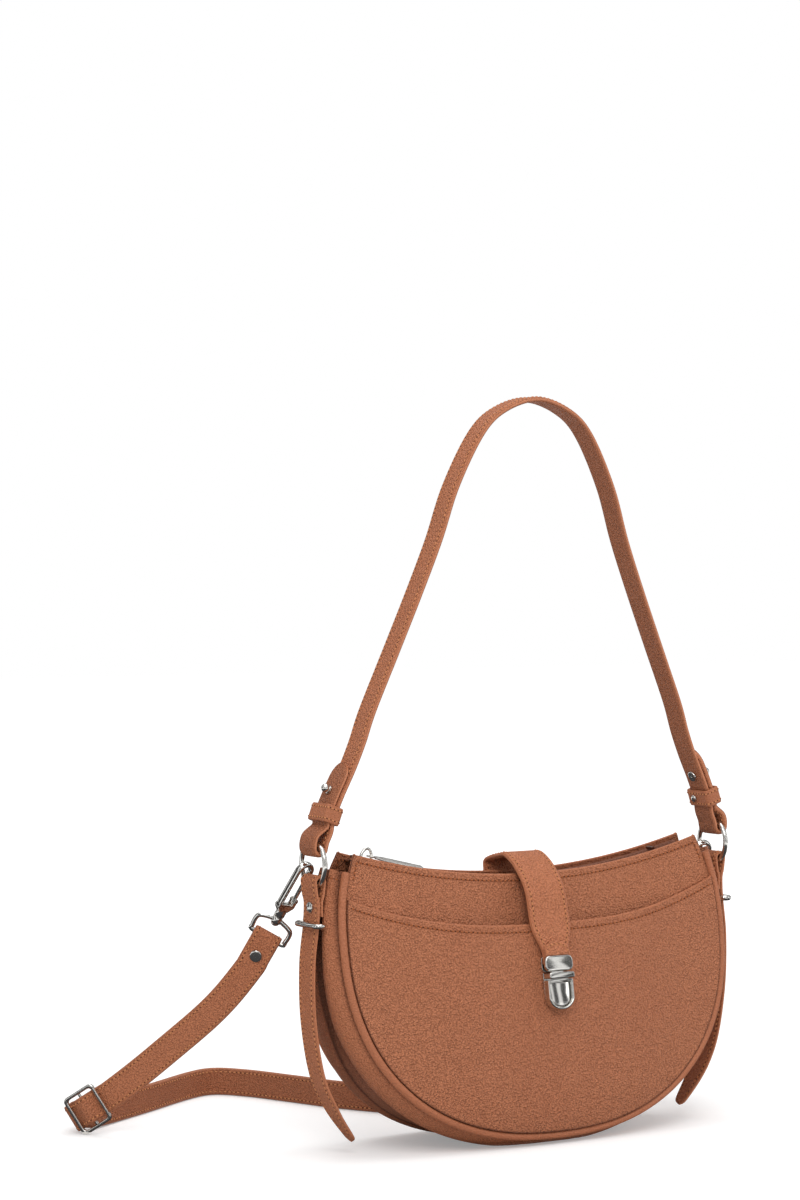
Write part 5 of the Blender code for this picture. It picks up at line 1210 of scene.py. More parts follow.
def piping(part, side):
    """The cord of one panel, a little fuller than measured so that it presses into the leather."""
    line = np.column_stack([run_points[:, 0], side * half_depth(run_points[:, 1]), run_points[:, 1]])
    wide = 2 * (PIPING_RADIUS + PIPING_FULLNESS)
    rings = carried(line, (0, 1, 0), wide, wide, round_section(20))
    put(f"{part}_leather", Shape().grid(rings, uv=sheet_uv(rings)), SMOOTH_LOOK, "bag", (part,))


piping("front_piping", -1)
piping("back_piping", 1)
print("piping length", round(run_length, 4))

# %% [markdown]
# ## Stitching on the sides
#
# Three rows show on each side: one across the top of each band, and a pair of dark rows beside the fold's
# own seam. A row on a grid is simply one of its columns or rows, with the normal from the cross product of
# the grid's two directions.


# %% Stitching on the sides
BAND_ROW_STEP = 3
FOLD_ROW_COLUMNS = (13, 19)
FOLD_ROW_LEAST_Z = 12 * MM


def grid_normals(grid, outwards):
    """Cross product of the grid's two directions, turned to the asked side."""
    cross = np.cross(np.gradient(grid, axis=0), np.gradient(grid, axis=1))
    cross = unit(cross)
    facing = np.sum(cross * outwards, axis=-1, keepdims=True)
    return cross * np.where(facing < 0, -1, 1)


run_out = np.stack([run_normal[:, 0], 0 * run_normal[:, 0], run_normal[:, 1]], axis=-1)[:, None]
side_rows = []
for band in (front_band, back_band):
    normals = grid_normals(band, run_out)
    for index in (BAND_ROW_STEP, RUN_COUNT - 1 - BAND_ROW_STEP):
        side_rows.append((band[index, 2:-1], normals[index, 2:-1]))
put_stitches("band_stitching", side_rows, "bag", THREAD_IN_PAINTED_SHADE)

fold_normals = grid_normals(fold_outer, run_out)
above = run_points[:, 1] > FOLD_ROW_LEAST_Z
fold_rows = []
for index in FOLD_ROW_COLUMNS:
    for half in (run_points[:, 0] < 0, run_points[:, 0] > 0):
        chosen = above & half
        fold_rows.append((fold_outer[chosen, index], fold_normals[chosen, index]))
put_stitches("fold_stitching", fold_rows, "bag", DARK_THREAD)

# %% [markdown]
# ## Lining
#
# Inside hangs a cloth bag, one continuous sheet with a wall: down the front, round the base and up the
# back. It closes to a point under each ear, so its rows run from rim to rim.

# %% Lining
LINING_CLOTH = 0.8 * MM
TAPE_DROP = 3.0 * MM
TAPE_THICK = 0.9 * MM
LINING_COLUMNS = 72
LINING_ROWS = 18


def lining():
    """The panels' faces set inwards, joined under the base by an arc between them."""
    rim_drop = TAPE_DROP + TAPE_THICK + 2 * GAP
    points, normal = outline(LINING_COLUMNS, GUSSET_TOP_Z - rim_drop)
    lowest = fold_offset(points, 0.0, GUSSET_LEATHER + 2 * GAP)[:, 0]
    edge = -(BAND_THICK + PIPING_RADIUS + 2 * GAP)
    sheets = []
    for wall in (0.0, LINING_CLOTH):
        rim = np.minimum(edge, lowest) - wall
        ring = points + normal * rim[:, None]
        x = np.linspace(ring[0, 0], ring[-1, 0], LINING_COLUMNS)
        top = np.column_stack([x, np.minimum(mouth_z(x, rim_drop), ring[0, 1])])
        top[0], top[-1] = ring[0], ring[-1]
        share = np.linspace(0, 1, LINING_ROWS)[:, None, None]
        grid = (1 - share) * ring[None] + share * top[None]
        inset = PANEL_LEATHER + 2 * GAP + wall
        front = front_y(grid[..., 0], grid[..., 1]) + inset
        back = back_y(grid[..., 0], grid[..., 1]) - inset
        front_rows = np.stack([grid[..., 0], front, grid[..., 1]], axis=-1)[::-1]
        back_rows = np.stack([grid[..., 0], back, grid[..., 1]], axis=-1)
        turn = np.linspace(0, 1, 9)[1:-1, None]
        bulge = np.clip(lowest - wall - rim, 0, None) * np.sin(pi * turn) ** 0.5
        out = points[None] + normal[None] * (rim + bulge)[..., None]
        y = front[0] + (back[0] - front[0]) * turn
        under = np.stack([out[..., 0], y, out[..., 1]], axis=-1)
        sheets.append(np.concatenate([front_rows, under, back_rows]).transpose(1, 0, 2))
    rings = sheet_rings(*sheets, rolled=False)
    put("lining_cloth", Shape().grid(rings), LINING_LOOK, "bag", ("lining",))


lining()

# %% [markdown]
# ## Zip
#
# The zip follows the mouth's arc a little below its edge. Each side is a woven tape with a nylon coil: a
# spiral wound round a cord. The spiral is a circle carried along a helix, y = a * cos t and z = b * sin t,
# while t grows with the distance along the arc.

# %% Zip tapes and coils
COIL_WIDTH = 2.3 * MM
COIL_HEIGHT = 2.2 * MM
COIL_SLIT = 1.6 * MM
COIL_PITCH = 1.5 * MM
COIL_WIRE = 0.55 * MM
ZIP_HALF_LENGTH = 124.0 * MM
STOP_LENGTH = 2.4 * MM
ZIP_SEAM_INSET = 1.1 * MM
ZIP_THREAD_RADIUS = 0.28 * MM
CORD_WIDTH_SHARE = 1.5
CORD_HEIGHT_SHARE = 1.4
COIL_LOW = TAPE_DROP + TAPE_THICK / 2 - COIL_HEIGHT / 2
COIL_HIGH = COIL_LOW + COIL_HEIGHT
COIL_INNER = COIL_SLIT / 2
COIL_OUTER = COIL_INNER + COIL_WIDTH
COIL_TURN_STEPS = 9


def on_arc(x, lower, y):
    """A place under the mouth's edge: the arc's radius grows by the depth."""
    x, lower, y = np.broadcast_arrays(np.asarray(x, float), lower, y)
    turn = np.arcsin(x / MOUTH_RADIUS)
    reach = MOUTH_RADIUS + lower
    return np.stack([reach * np.sin(turn), y, MOUTH_CENTRE_Z - reach * np.cos(turn)], axis=-1)


def zip_side(name, side):
    """One tape, from the coil to the panel, and its coil wound round a cord."""
    x = np.linspace(-ZIP_HALF_LENGTH, ZIP_HALF_LENGTH, 160)
    depth = TAPE_DROP + TAPE_THICK / 2
    panel = half_depth(mouth_z(x, TAPE_DROP)) - PANEL_LEATHER - GAP
    near = COIL_OUTER + GAP
    path = on_arc(x, depth, side * (near + panel) / 2)
    rings = carried(path, (0, 1, 0), panel - near, TAPE_THICK, flat_section(12, 9))
    put(f"zip_tape_cloth_{name}", Shape().grid(rings), TAPE_LOOK, "bag", (f"zip_tape_{name}",))
    reach = ZIP_HALF_LENGTH - STOP_LENGTH
    turns = int(2 * reach / COIL_PITCH)
    turn = np.linspace(0, 2 * pi * turns, turns * COIL_TURN_STEPS)
    x = np.linspace(-reach, reach, len(turn))
    middle = (COIL_INNER + COIL_OUTER) / 2
    wide = (COIL_WIDTH - COIL_WIRE) / 2
    high = (COIL_HEIGHT - COIL_WIRE) / 2
    helix = on_arc(x, depth - high * np.sin(turn), side * (middle + wide * np.cos(turn)))
    outward = helix - on_arc(x, depth, side * middle)
    coil = Shape().grid(carried(helix, outward, COIL_WIRE, COIL_WIRE, round_section(5)))
    line = np.linspace(-reach, reach, 120)
    core = on_arc(line, depth, side * middle)
    cord = (wide * CORD_WIDTH_SHARE, high * CORD_HEIGHT_SHARE)
    coil.grid(carried(core, (0, 1, 0), *cord, round_section(8)))
    put(f"zip_coil_nylon_{name}", coil, COIL_LOOK, "bag", (f"zip_coil_{name}",), sharp=80)


zip_side("front", -1)
zip_side("back", 1)
zip_rows = []
for side in (-1, 1):
    x = np.linspace(-ZIP_HALF_LENGTH * 0.98, ZIP_HALF_LENGTH * 0.98, 200)
    points = on_arc(x, TAPE_DROP, side * (COIL_OUTER + GAP + ZIP_SEAM_INSET))
    up = unit(np.array([0, 0, MOUTH_CENTRE_Z]) - points * [1, 0, 1])
    zip_rows.append((points, up))
put_stitches("zip_stitching", zip_rows, "bag", DARK_THREAD, radius=ZIP_THREAD_RADIUS)

# %% [markdown]
# ## Plates, boxes and lathe shapes
#
# The fittings are small castings. A plate is an outline with a height at which it starts and ends, and its
# upper edge is rolled in a quarter circle by drawing the outline in along its own normals. A knob or rivet
# is a profile turned about an axis: point = centre + axis * h + spoke * r.


# %% Plates, boxes and lathe shapes
POLE_RADIUS = 0.02 * MM


def inset_loop(loop, amount):
    """Every corner moved inwards along the loop's own normal."""
    loop = np.asarray(loop, float)
    along = unit(np.roll(loop, -1, axis=0) - np.roll(loop, 1, axis=0))
    normal = np.column_stack([along[:, 1], -along[:, 0]])
    area = np.sum(loop[:, 0] * np.roll(loop[:, 1], -1) - np.roll(loop[:, 0], -1) * loop[:, 1])
    return loop - normal * amount * np.sign(area)


def plate_rings(loop, low, high, bevel, place, both=False):
    """Rings from the lower to the upper face, the edges rolled by quarter circles."""
    turn = np.linspace(0, pi / 2, 5)
    top = [(bevel * (1 - cos(t)), high - bevel + bevel * sin(t)) for t in turn]
    bottom = [(0.0, low)]
    if both:
        bottom = [(bevel * (1 - cos(t)), low + bevel - bevel * sin(t)) for t in turn[::-1]]
    rings = []
    for draw, level in bottom + top:
        drawn = inset_loop(loop, draw)
        rings.append(place(drawn[:, 0], drawn[:, 1], level))
    return np.stack(rings)


def round_corners(width, height, corner, centre=(0.0, 0.0), steps=10):
    """Four quarter circles round a rectangle."""
    parts = []
    for k, (sx, sy) in enumerate([(1, 1), (-1, 1), (-1, -1), (1, -1)]):
        turn = np.linspace(k * pi / 2, (k + 1) * pi / 2, steps)
        middle = np.array([centre[0] + sx * (width / 2 - corner), centre[1] + sy * (height / 2 - corner)])
        parts.append(middle + corner * np.column_stack([np.cos(turn), np.sin(turn)]))
    return np.concatenate(parts)


def spokes(axis, count):
    """Directions square to the axis: first * cos t + second * sin t."""
    axis = unit(axis)
    helper = np.array([1.0, 0, 0]) if abs(axis[0]) < 0.9 else np.array([0, 1.0, 0])
    first = unit(np.cross(axis, helper))
    second = np.cross(axis, first)
    turn = np.linspace(0, 2 * pi, count, endpoint=False)[:, None]
    return axis, np.cos(turn) * first + np.sin(turn) * second


def turned_rings(profile, centre, axis, count=32):
    """Centre + axis * h + spoke * r, for a profile of (r, h)."""
    axis, around = spokes(axis, count)
    profile = np.asarray(profile, float)
    return (np.asarray(centre) + axis * profile[:, None, 1:2]
            + around[None] * np.maximum(profile[:, None, 0:1], POLE_RADIUS))


def dome(radius, rise, skirt=0.25, steps=7):
    """Profile of a rivet head: a short skirt and a quarter ellipse."""
    turn = np.linspace(0, pi / 2, steps)
    upper = np.column_stack([radius * np.cos(turn) ** 0.8, rise * (skirt + (1 - skirt) * np.sin(turn))])
    return np.vstack([[[0, 0], [radius * 0.97, 0]], upper])


def box_rings(centre, size, axes, bevel):
    """A box whose edges are rolled, its size along three given axes."""
    axes = np.asarray(axes, float)
    centre = np.asarray(centre, float)
    half = size[2] / 2

    def place(a, b, c):
        """Centre + a, b and c along the box's three axes."""
        return centre + a[:, None] * axes[0] + b[:, None] * axes[1] + c * axes[2]

    loop = round_corners(size[0], size[1], bevel * 1.2, steps=4)
    return plate_rings(loop, -half, half, bevel, place, both=True)


def softened_copy(part, body, width, side="", look=NICKEL):
    """The measured solid's own mesh, merged, with its sharp edges rolled by a Bevel modifier."""
    ending = f"_{side}" if side else ""
    work = bmesh.new()
    work.from_mesh(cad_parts[part + ending].data)
    bmesh.ops.remove_doubles(work, verts=work.verts, dist=JOIN_DISTANCE)
    bmesh.ops.dissolve_limit(work, angle_limit=radians(1), verts=work.verts, edges=work.edges)
    mesh = bpy.data.meshes.new(part)
    work.to_mesh(mesh)
    work.free()
    mesh.materials.clear()
    thing = link_piece(f"{part}_metal{ending}", mesh, look, body, (part + ending,), 30.0)
    soften = thing.modifiers.new("rounded edges", "BEVEL")
    soften.width, soften.segments = width, 3
    soften.limit_method = "ANGLE"
    soften.harden_normals = True


# %% [markdown]
# ## Zip slider and pull
#
# The slider is two small plates with a blade between them. A bail of round wire arches over it, and the
# pull hangs in the bail by a round eye: a long flat bar that lies along the zip.

# %% Zip slider and pull
SLIDER_START_X = 115.0 * MM
SLIDER_LENGTH = 9.0 * MM
SLIDER_WIDTH = 8.4 * MM
SLIDER_PLATE = 1.1 * MM
SLIDER_BLADE = 0.7 * MM
BAIL_WIRE = 0.95 * MM
BAIL_HEIGHT = 5.2 * MM
BAIL_LENGTH = 8.0 * MM
PULL_LENGTH = 36.0 * MM
PULL_WIDTH = 4.4 * MM
PULL_THICK = 1.1 * MM
PULL_RISE = 0.38 * MM
PULL_EYE_RADIUS = 2.6 * MM
BAIL_GRIP = radians(33)
PULL_ROLL = radians(32)
BAIL_EXTRA = 2.0 * MM
SLIDER_BEVEL = 0.45 * MM
BLADE_BEVEL = 0.2 * MM
STOP_BEVEL = 0.3 * MM
NECK_SHARE = 0.2
TIP_START = 0.955

zip_turn = asin(-SLIDER_START_X / MOUTH_RADIUS)
zip_along = np.array([cos(zip_turn), 0, sin(zip_turn)])
zip_across = np.array([0, 1.0, 0])
zip_up = np.array([-sin(zip_turn), 0, cos(zip_turn)])
zip_axes = (zip_along, zip_across, zip_up)


def at_slider(lower):
    """The place on the zip's middle line where the slider starts, at a depth under the mouth's edge."""
    return np.array([-SLIDER_START_X, 0, float(mouth_z(-SLIDER_START_X, lower))])


upper_plate = at_slider(COIL_LOW - SLIDE_GAP - SLIDER_PLATE / 2)
lower_plate = at_slider(COIL_HIGH + SLIDE_GAP + SLIDER_PLATE / 2)
slider = Shape()
for centre in (upper_plate, lower_plate):
    size = (SLIDER_LENGTH, SLIDER_WIDTH, SLIDER_PLATE)
    slider.grid(box_rings(centre, size, zip_axes, SLIDER_BEVEL))
blade_size = (SLIDER_LENGTH * 0.6, SLIDER_BLADE, float(np.linalg.norm(upper_plate - lower_plate)))
slider.grid(box_rings((upper_plate + lower_plate) / 2, blade_size, zip_axes, BLADE_BEVEL))
foot = SLIDER_PLATE / 2 - BAIL_WIRE / 2
turn = np.linspace(0, pi, 33)[:, None]
bail_rise = foot + np.sin(turn) * (BAIL_HEIGHT + BAIL_EXTRA)
bail = upper_plate + zip_along * (-np.cos(turn) * BAIL_LENGTH / 2) + zip_up * bail_rise
slider.grid(carried(bail, zip_across, 2 * BAIL_WIRE, 2 * BAIL_WIRE, round_section(14)))
metal("zip_slider", slider, "zip_slider", 45.0)

pull_hinge = upper_plate + zip_along * (cos(BAIL_GRIP) * BAIL_LENGTH / 2 + GAP)
pull_hinge = pull_hinge + zip_up * (foot + sin(BAIL_GRIP) * BAIL_HEIGHT)
pull_way = unit(zip_along * PULL_LENGTH + zip_up * PULL_RISE)
turn = np.linspace(0, 2 * pi, 36, endpoint=False)[:, None]
eye_line = pull_hinge + pull_way * (np.cos(turn) * PULL_EYE_RADIUS)
eye_line = eye_line + zip_across * (np.sin(turn) * PULL_EYE_RADIUS)
pull_normal = np.cross(pull_way, zip_across)
pull_eye = carried(eye_line, pull_normal, PULL_THICK, PULL_THICK, round_section(12), closed=True)
pull = Shape().grid(pull_eye, closed=True)
share = np.linspace(0, 1, 40)
bar = pull_hinge + pull_way * (PULL_EYE_RADIUS + PULL_LENGTH * share)[:, None]
neck = PULL_WIDTH * (0.55 + 0.45 * smooth_step(share / NECK_SHARE))
tip = np.sqrt(np.clip(1 - np.clip((share - TIP_START) / (1 - TIP_START), 0, 1) ** 2, 0.04, 1))
pull_side = zip_across * cos(PULL_ROLL) + pull_normal * sin(PULL_ROLL) * np.sign(pull_normal[2])
pull.grid(carried(bar, pull_side, neck * tip, PULL_THICK, flat_section(8, 11)))
metal("zip_pull", pull, "zip_pull", 45.0, look=PULL_METAL)
for side in ("left", "right"):
    softened_copy("zip_stop", "bag", STOP_BEVEL, side, STOP_METAL)
print("pull hinge", pull_hinge.round(5))

# %% [markdown]
# ## Lock's place on the pocket
#
# The lock sits on the pocket's face and takes that face's slope: up runs along the pocket, out stands
# square to it. Strap, patch and lock are all set out from its base point in these two directions.

# %% Lock's place on the pocket
FLAP_WIDTH = 30.0 * MM
FLAP_END_WIDTH = 19.0 * MM
FLAP_LEATHER = 2.6 * MM
FLAP_ARCH_Z = 178.2 * MM
FLAP_HINGE_Z = 156.0 * MM
FLAP_ANCHOR_LENGTH = 34.0 * MM
PATCH_LENGTH = 9.0 * MM
PATCH_LEATHER = 1.2 * MM
LOCK_Z = 104.0 * MM
LOCK_WIDTH = 20.0 * MM
LOCK_BACK_THICK = 1.0 * MM
BAR_HEIGHT = 4.6 * MM
BAR_DEPTH = 7.4 * MM
SHIELD_HEIGHT = 18.6 * MM
SHIELD_WIDTH = 19.0 * MM
SHIELD_RIM = 1.9 * MM
SHIELD_RIM_DEPTH = 5.2 * MM
BUTTON_DEPTH = 3.4 * MM
BUTTON_TRAVEL = 1.8 * MM
PLATE_HEIGHT = 9.8 * MM
PLATE_DEPTH = 2.2 * MM
PLATE_CORNER = 2.4 * MM
PLATE_END_CORNER = 3.6 * MM
PLATE_WIDENING = 0.4 * MM
BUTTON_BULGE = 0.7 * MM
BUTTON_RAISE = 1.1 * MM
VISOR_TOP = -2.2 * MM
VISOR_FOOT = -3.6 * MM
VISOR_THICK = 0.8 * MM
SLOT_WIDTH = 12.0 * MM
SLOT_DEPTH = 3.0 * MM
BAR_FOOT = -1.9 * MM
BAR_NARROWING = 0.6 * MM
BAR_FRONT_WALL = 2.0 * MM
PLATE_FOOT = BAR_HEIGHT / 2 + SLIDE_GAP
STRAP_OUT = LOCK_BACK_THICK + 2 * GAP + FLAP_LEATHER / 2

lock_base_point = np.array([0, float(pocket_y(0, LOCK_Z)), LOCK_Z])
lock_low_z = LOCK_Z - SHIELD_HEIGHT
LOCK_UP = unit(lock_base_point - np.array([0, float(pocket_y(0, lock_low_z)), lock_low_z]))
LOCK_OUT = np.cross([1.0, 0, 0], LOCK_UP)
LOCK_OUT = LOCK_OUT * -np.sign(LOCK_OUT[1])


def at_lock(across, height, outwards):
    """Base + x * across + up * height + out * outwards, on the sloping face of the pocket."""
    across, height, outwards = np.broadcast_arrays(np.asarray(across, float), height, outwards)
    spot = lock_base_point + height[..., None] * LOCK_UP + outwards[..., None] * LOCK_OUT
    return spot + across[..., None] * np.array([1.0, 0, 0])


# %% [markdown]
# ## Flap strap
#
# One strip of doubled leather is sewn to the back, arches over the zip, runs down the front and narrows to
# the lock. It is drawn as one line of rings and made in three stretches that share their end rings: the
# anchor stays with the bag, the long part rides on the flap, and the 16 mm between them are a piece of
# their own at the hinge line.


# %% Flap strap
def flap_route():
    """Corners of the strip's middle line in the YZ plane, from the hinge to the lock."""
    hinge_y = float(back_y(0, FLAP_HINGE_Z - FLAP_LEATHER * 1.5)) + GAP + FLAP_LEATHER / 2
    lie = FLAP_LEATHER / 2 + 2 * GAP
    hinge_foot = FLAP_HINGE_Z + GAP / 2
    points = [(hinge_y, hinge_foot), (hinge_y, hinge_foot + FLAP_LEATHER)]
    for part in (0.45, 0.75):
        arch_z = FLAP_HINGE_Z + (FLAP_ARCH_Z - FLAP_HINGE_Z) * part
        points.append((hinge_y - FLAP_LEATHER * part**3 * 1.4, arch_z))
    points.append((MOUTH_HALF_DEPTH * 0.42, FLAP_ARCH_Z - FLAP_LEATHER / 2 - GAP))
    points.append((-MOUTH_HALF_DEPTH * 0.30, FLAP_ARCH_Z - FLAP_LEATHER / 2))
    front_z = MOUTH_Z - MOUTH_DIP
    points.append((float(front_y(0, front_z)) - lie * 0.8, front_z + FLAP_LEATHER * 1.6))
    for z in (front_z - 0.3 * (front_z - POCKET_EDGE_Z), POCKET_EDGE_Z + FLAP_LEATHER):
        points.append((float(pocket_y(0, z)) - lie, z))
    for height in (PLATE_FOOT + PLATE_HEIGHT + PLATE_CORNER, PLATE_FOOT + PLATE_HEIGHT / 2):
        points.append(tuple(at_lock(0, height, STRAP_OUT)[1:]))
    return np.array(points)


route = flap_route()
flap_line = np.vstack([smooth_line(route[:-1], 24), route[-1:]])
hinge_y = flap_line[0, 0]
anchor = [(hinge_y, FLAP_HINGE_Z - GAP), (hinge_y, FLAP_HINGE_Z - GAP - FLAP_LEATHER)]
for part in (0.3, 0.5, 0.75, 0.9, 1.0):
    z = FLAP_HINGE_Z - GAP / 2 - part * FLAP_ANCHOR_LENGTH
    anchor.append((max(hinge_y, float(back_y(0, z)) + 2 * GAP + FLAP_LEATHER / 2), z))
flap_yz = np.vstack([smooth_line(anchor, 8)[::-1], flap_line])
flap_path = stepped(np.column_stack([np.zeros(len(flap_yz)), flap_yz]), 0.9 * MM)
narrowing = np.clip((POCKET_EDGE_Z - flap_path[:, 2]) / PLATE_HEIGHT / 2, 0, 1)
flap_width = FLAP_WIDTH + (FLAP_END_WIDTH - FLAP_WIDTH) * smooth_step(narrowing)
flap_width[flap_path[:, 1] > -MOUTH_HALF_DEPTH] = FLAP_WIDTH
rise = np.clip((flap_path[:, 2] - flap_path[0, 2]) / (FLAP_WIDTH * 0.45), 0, 1)
on_back = flap_path[:, 1] > MOUTH_HALF_DEPTH
flap_width = np.where(on_back, FLAP_WIDTH * (1 - (1 - rise) ** 2.2 * 0.92), flap_width)


PAINT_START = 0.93
BLEND_REACH = 8.0 * MM
STRAP_SHARP = 70.0


def strap_numbers(section, width, run):
    """Paint where the section turns round at its edges, and metres along and across the strap."""
    edge = smooth_step((np.abs(section[:, 0]) - PAINT_START) / (1 - PAINT_START))
    edge = np.broadcast_to(edge, (len(run), len(section)))
    uv = np.stack(np.broadcast_arrays(run[:, None], (section[:, 0] * width / 2)[None]), axis=-1)
    return edge, uv


def strap(
    name, path, across, width, thickness, look, body, stands_for, power, closed=False, count=19, seam=0.0
):
    """A leather strap: the flat section carried along the path, its edges painted."""
    section = flat_section(power, count)
    rings = carried(path, across, width, thickness, section, closed)
    edge, uv = strap_numbers(section, float(np.max(width)), run_along(path))
    shape = Shape().grid(rings, closed=closed, uv=uv, edge=edge, seam=seam)
    put(name, shape, look, body, (stands_for,), STRAP_SHARP)


behind = flap_path[:, 1] > MOUTH_HALF_DEPTH
anchor_end = int(np.flatnonzero(behind & (flap_path[:, 2] < FLAP_HINGE_Z - BLEND_REACH))[-1])
flap_start = int(np.flatnonzero(behind & (flap_path[:, 2] > FLAP_HINGE_Z + BLEND_REACH))[0])
flap_section = flat_section(16, 19)
flap_rings = carried(flap_path, (1, 0, 0), flap_width, FLAP_LEATHER, flap_section)
flap_edge, flap_uv = strap_numbers(flap_section, FLAP_WIDTH, run_along(flap_path))


def flap_piece(name, rows, body, stands_for=()):
    """The rings of one stretch. Neighbouring stretches share their end rings."""
    shape = Shape().grid(flap_rings[rows], uv=flap_uv[rows], edge=flap_edge[rows])
    return put(name, shape, FLAP_LOOK, body, stands_for, STRAP_SHARP)


flap_piece("flap_anchor_leather", slice(0, anchor_end + 1), "bag", ("flap_anchor",))
flap_piece("flap_strap_leather", slice(flap_start, None), "flap", ("flap_strap",))
flap_hinge = flap_piece("flap_hinge_leather", slice(anchor_end, flap_start + 1), None)
blend_ends = [(0, float(hinge_y), float(flap_path[k, 2])) for k in (anchor_end, flap_start)]
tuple(blend_ends[0])
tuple(blend_ends[1])
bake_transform(flap_hinge)
print("flap strap length", round(line_length(flap_path), 4))

# %% [markdown]
# ## Patch and stitching on the flap
#
# A small patch with a rounded tip is sewn on above the lock. The strap's height off the pocket is read from
# its own line, and the patch lies that much further out. A row of stitches follows the patch's arc.

# %% Patch and stitching on the flap
FLAP_SEAM_INSET = 3.0 * MM
FLAP_ROW_END = 4
ANCHOR_ROW_START = 8
ARC_SIDE_INSET = 1.9 * MM
ARC_START = 1.2 * MM
ARC_HEIGHT = PATCH_LENGTH - 3.2 * MM
moving = slice(flap_start, len(flap_path) - FLAP_ROW_END)
still = slice(ANCHOR_ROW_START, anchor_end)
flap_rows, anchor_rows = [
    strap_rows(flap_path[rows], (1, 0, 0), flap_width[rows], FLAP_LEATHER, FLAP_SEAM_INSET, faces)
    for rows, faces in ((moving, (1, -1)), (still, (1,)))
]

heights = (flap_path - lock_base_point) @ LOCK_UP
outs = (flap_path - lock_base_point) @ LOCK_OUT
facing = np.flatnonzero((heights > 0) & (outs > 0) & (heights < PLATE_HEIGHT * 4))[::-1]
patch_share = np.linspace(0, 1, 26)
patch_height = PLATE_FOOT + PLATE_HEIGHT + GAP + PATCH_LENGTH * patch_share
patch_low = np.interp(patch_height, heights[facing], outs[facing]) + FLAP_LEATHER / 2 + GAP
patch_path = at_lock(0.0, patch_height, patch_low + PATCH_LEATHER / 2)
patch_width = FLAP_END_WIDTH * np.sqrt(np.clip(1 - patch_share**3.0, 0.002, 1))
strap(
    "flap_patch_leather", patch_path, (1, 0, 0), patch_width, PATCH_LEATHER, FLAP_LOOK, "flap",
    "flap_end_patch", power=14,
)
arc = np.linspace(0, 1, 60)
arc_share = np.sin(arc * pi / 2)
half_arc = (FLAP_END_WIDTH / 2 - ARC_SIDE_INSET) * np.sqrt(np.clip(1 - arc_share**3.0, 0, 1))
arc_height = PLATE_FOOT + PLATE_HEIGHT + ARC_START + ARC_HEIGHT * arc_share
arc_out = np.interp(arc_height, patch_height, patch_low) + PATCH_LEATHER
left_arc = at_lock(-half_arc, arc_height, arc_out)
right_arc = at_lock(half_arc, arc_height, arc_out)[::-1][1:]
patch_line = np.vstack([left_arc, right_arc])
flap_rows.append((patch_line, np.tile(LOCK_OUT, (len(patch_line), 1))))
put_stitches("flap_stitching", flap_rows, "flap")
put_stitches("flap_anchor_stitching", anchor_rows, "bag")

# %% [markdown]
# ## Push lock
#
# The lock's lower half is a thick bar over a shield with a sliding button, its upper half a plate on the
# strap's end. Each is an outline with rolled edges, set on the pocket's slope. The rim's section is drawn
# from the outer to the inner shield.


# %% Push lock
RIM_SECTION = ((0, 0), (0, 0.7), (0.06, 0.84), (0.2, 0.94), (0.4, 1.0))
RIM_SECTION += ((0.6, 1.0), (0.8, 0.93), (0.94, 0.82), (1, 0.68), (1, 0))
LOCK_AXES = (np.array([1.0, 0, 0]), LOCK_UP, LOCK_OUT)
SHIELD_FOOT_SHARE = 0.8
VISOR_BEVEL = 0.3 * MM
BAR_BEVEL = 1.0 * MM
WALL_BEVEL = 0.2 * MM
BUTTON_BEVEL = 0.7 * MM
PLATE_BEVEL = 1.0 * MM
BACK_BEVEL = 0.3 * MM
TONGUE_BEVEL = 0.25 * MM


def shield(width, height, top):
    """A straight top, then half an ellipse from the left side round to the right."""
    radius = width / 2
    turn = np.linspace(pi, 2 * pi, 37)
    foot = radius * SHIELD_FOOT_SHARE
    arc = np.column_stack([radius * np.cos(turn), top - height + foot + foot * np.sin(turn)])
    return np.vstack([[[radius, top], [-radius, top]], arc])


lock_back = GAP + LOCK_BACK_THICK
lock_seat = lock_back + GAP
under_bar = -BAR_HEIGHT / 2 - GAP
outer = np.roll(shield(SHIELD_WIDTH, SHIELD_HEIGHT, under_bar), -1, axis=0)
inner = np.roll(shield(SHIELD_WIDTH - 2 * SHIELD_RIM, SHIELD_HEIGHT - SHIELD_RIM, under_bar), -1, axis=0)
rim = [
    at_lock(*((1 - part) * outer + part * inner).T, lock_seat + SHIELD_RIM_DEPTH * height)
    for part, height in RIM_SECTION
]


def lock_box(shape, across, heights, outs, bevel):
    """A box between two places across, two heights and two distances out."""
    spans = np.array([across, heights, outs])
    middle, size = spans.mean(axis=1), np.abs(spans[:, 1] - spans[:, 0])
    shape.grid(box_rings(at_lock(*middle), size, LOCK_AXES, bevel))


lock_shield = Shape().grid(np.stack(rim, axis=1))
half_visor = SHIELD_WIDTH / 2 - SHIELD_RIM * 0.7
visor_outs = (lock_seat + SHIELD_RIM_DEPTH - VISOR_THICK, lock_seat + SHIELD_RIM_DEPTH)
lock_box(lock_shield, (-half_visor, half_visor), (VISOR_FOOT, VISOR_TOP), visor_outs, VISOR_BEVEL)
metal("lock_rim", lock_shield, "bag", 50.0)

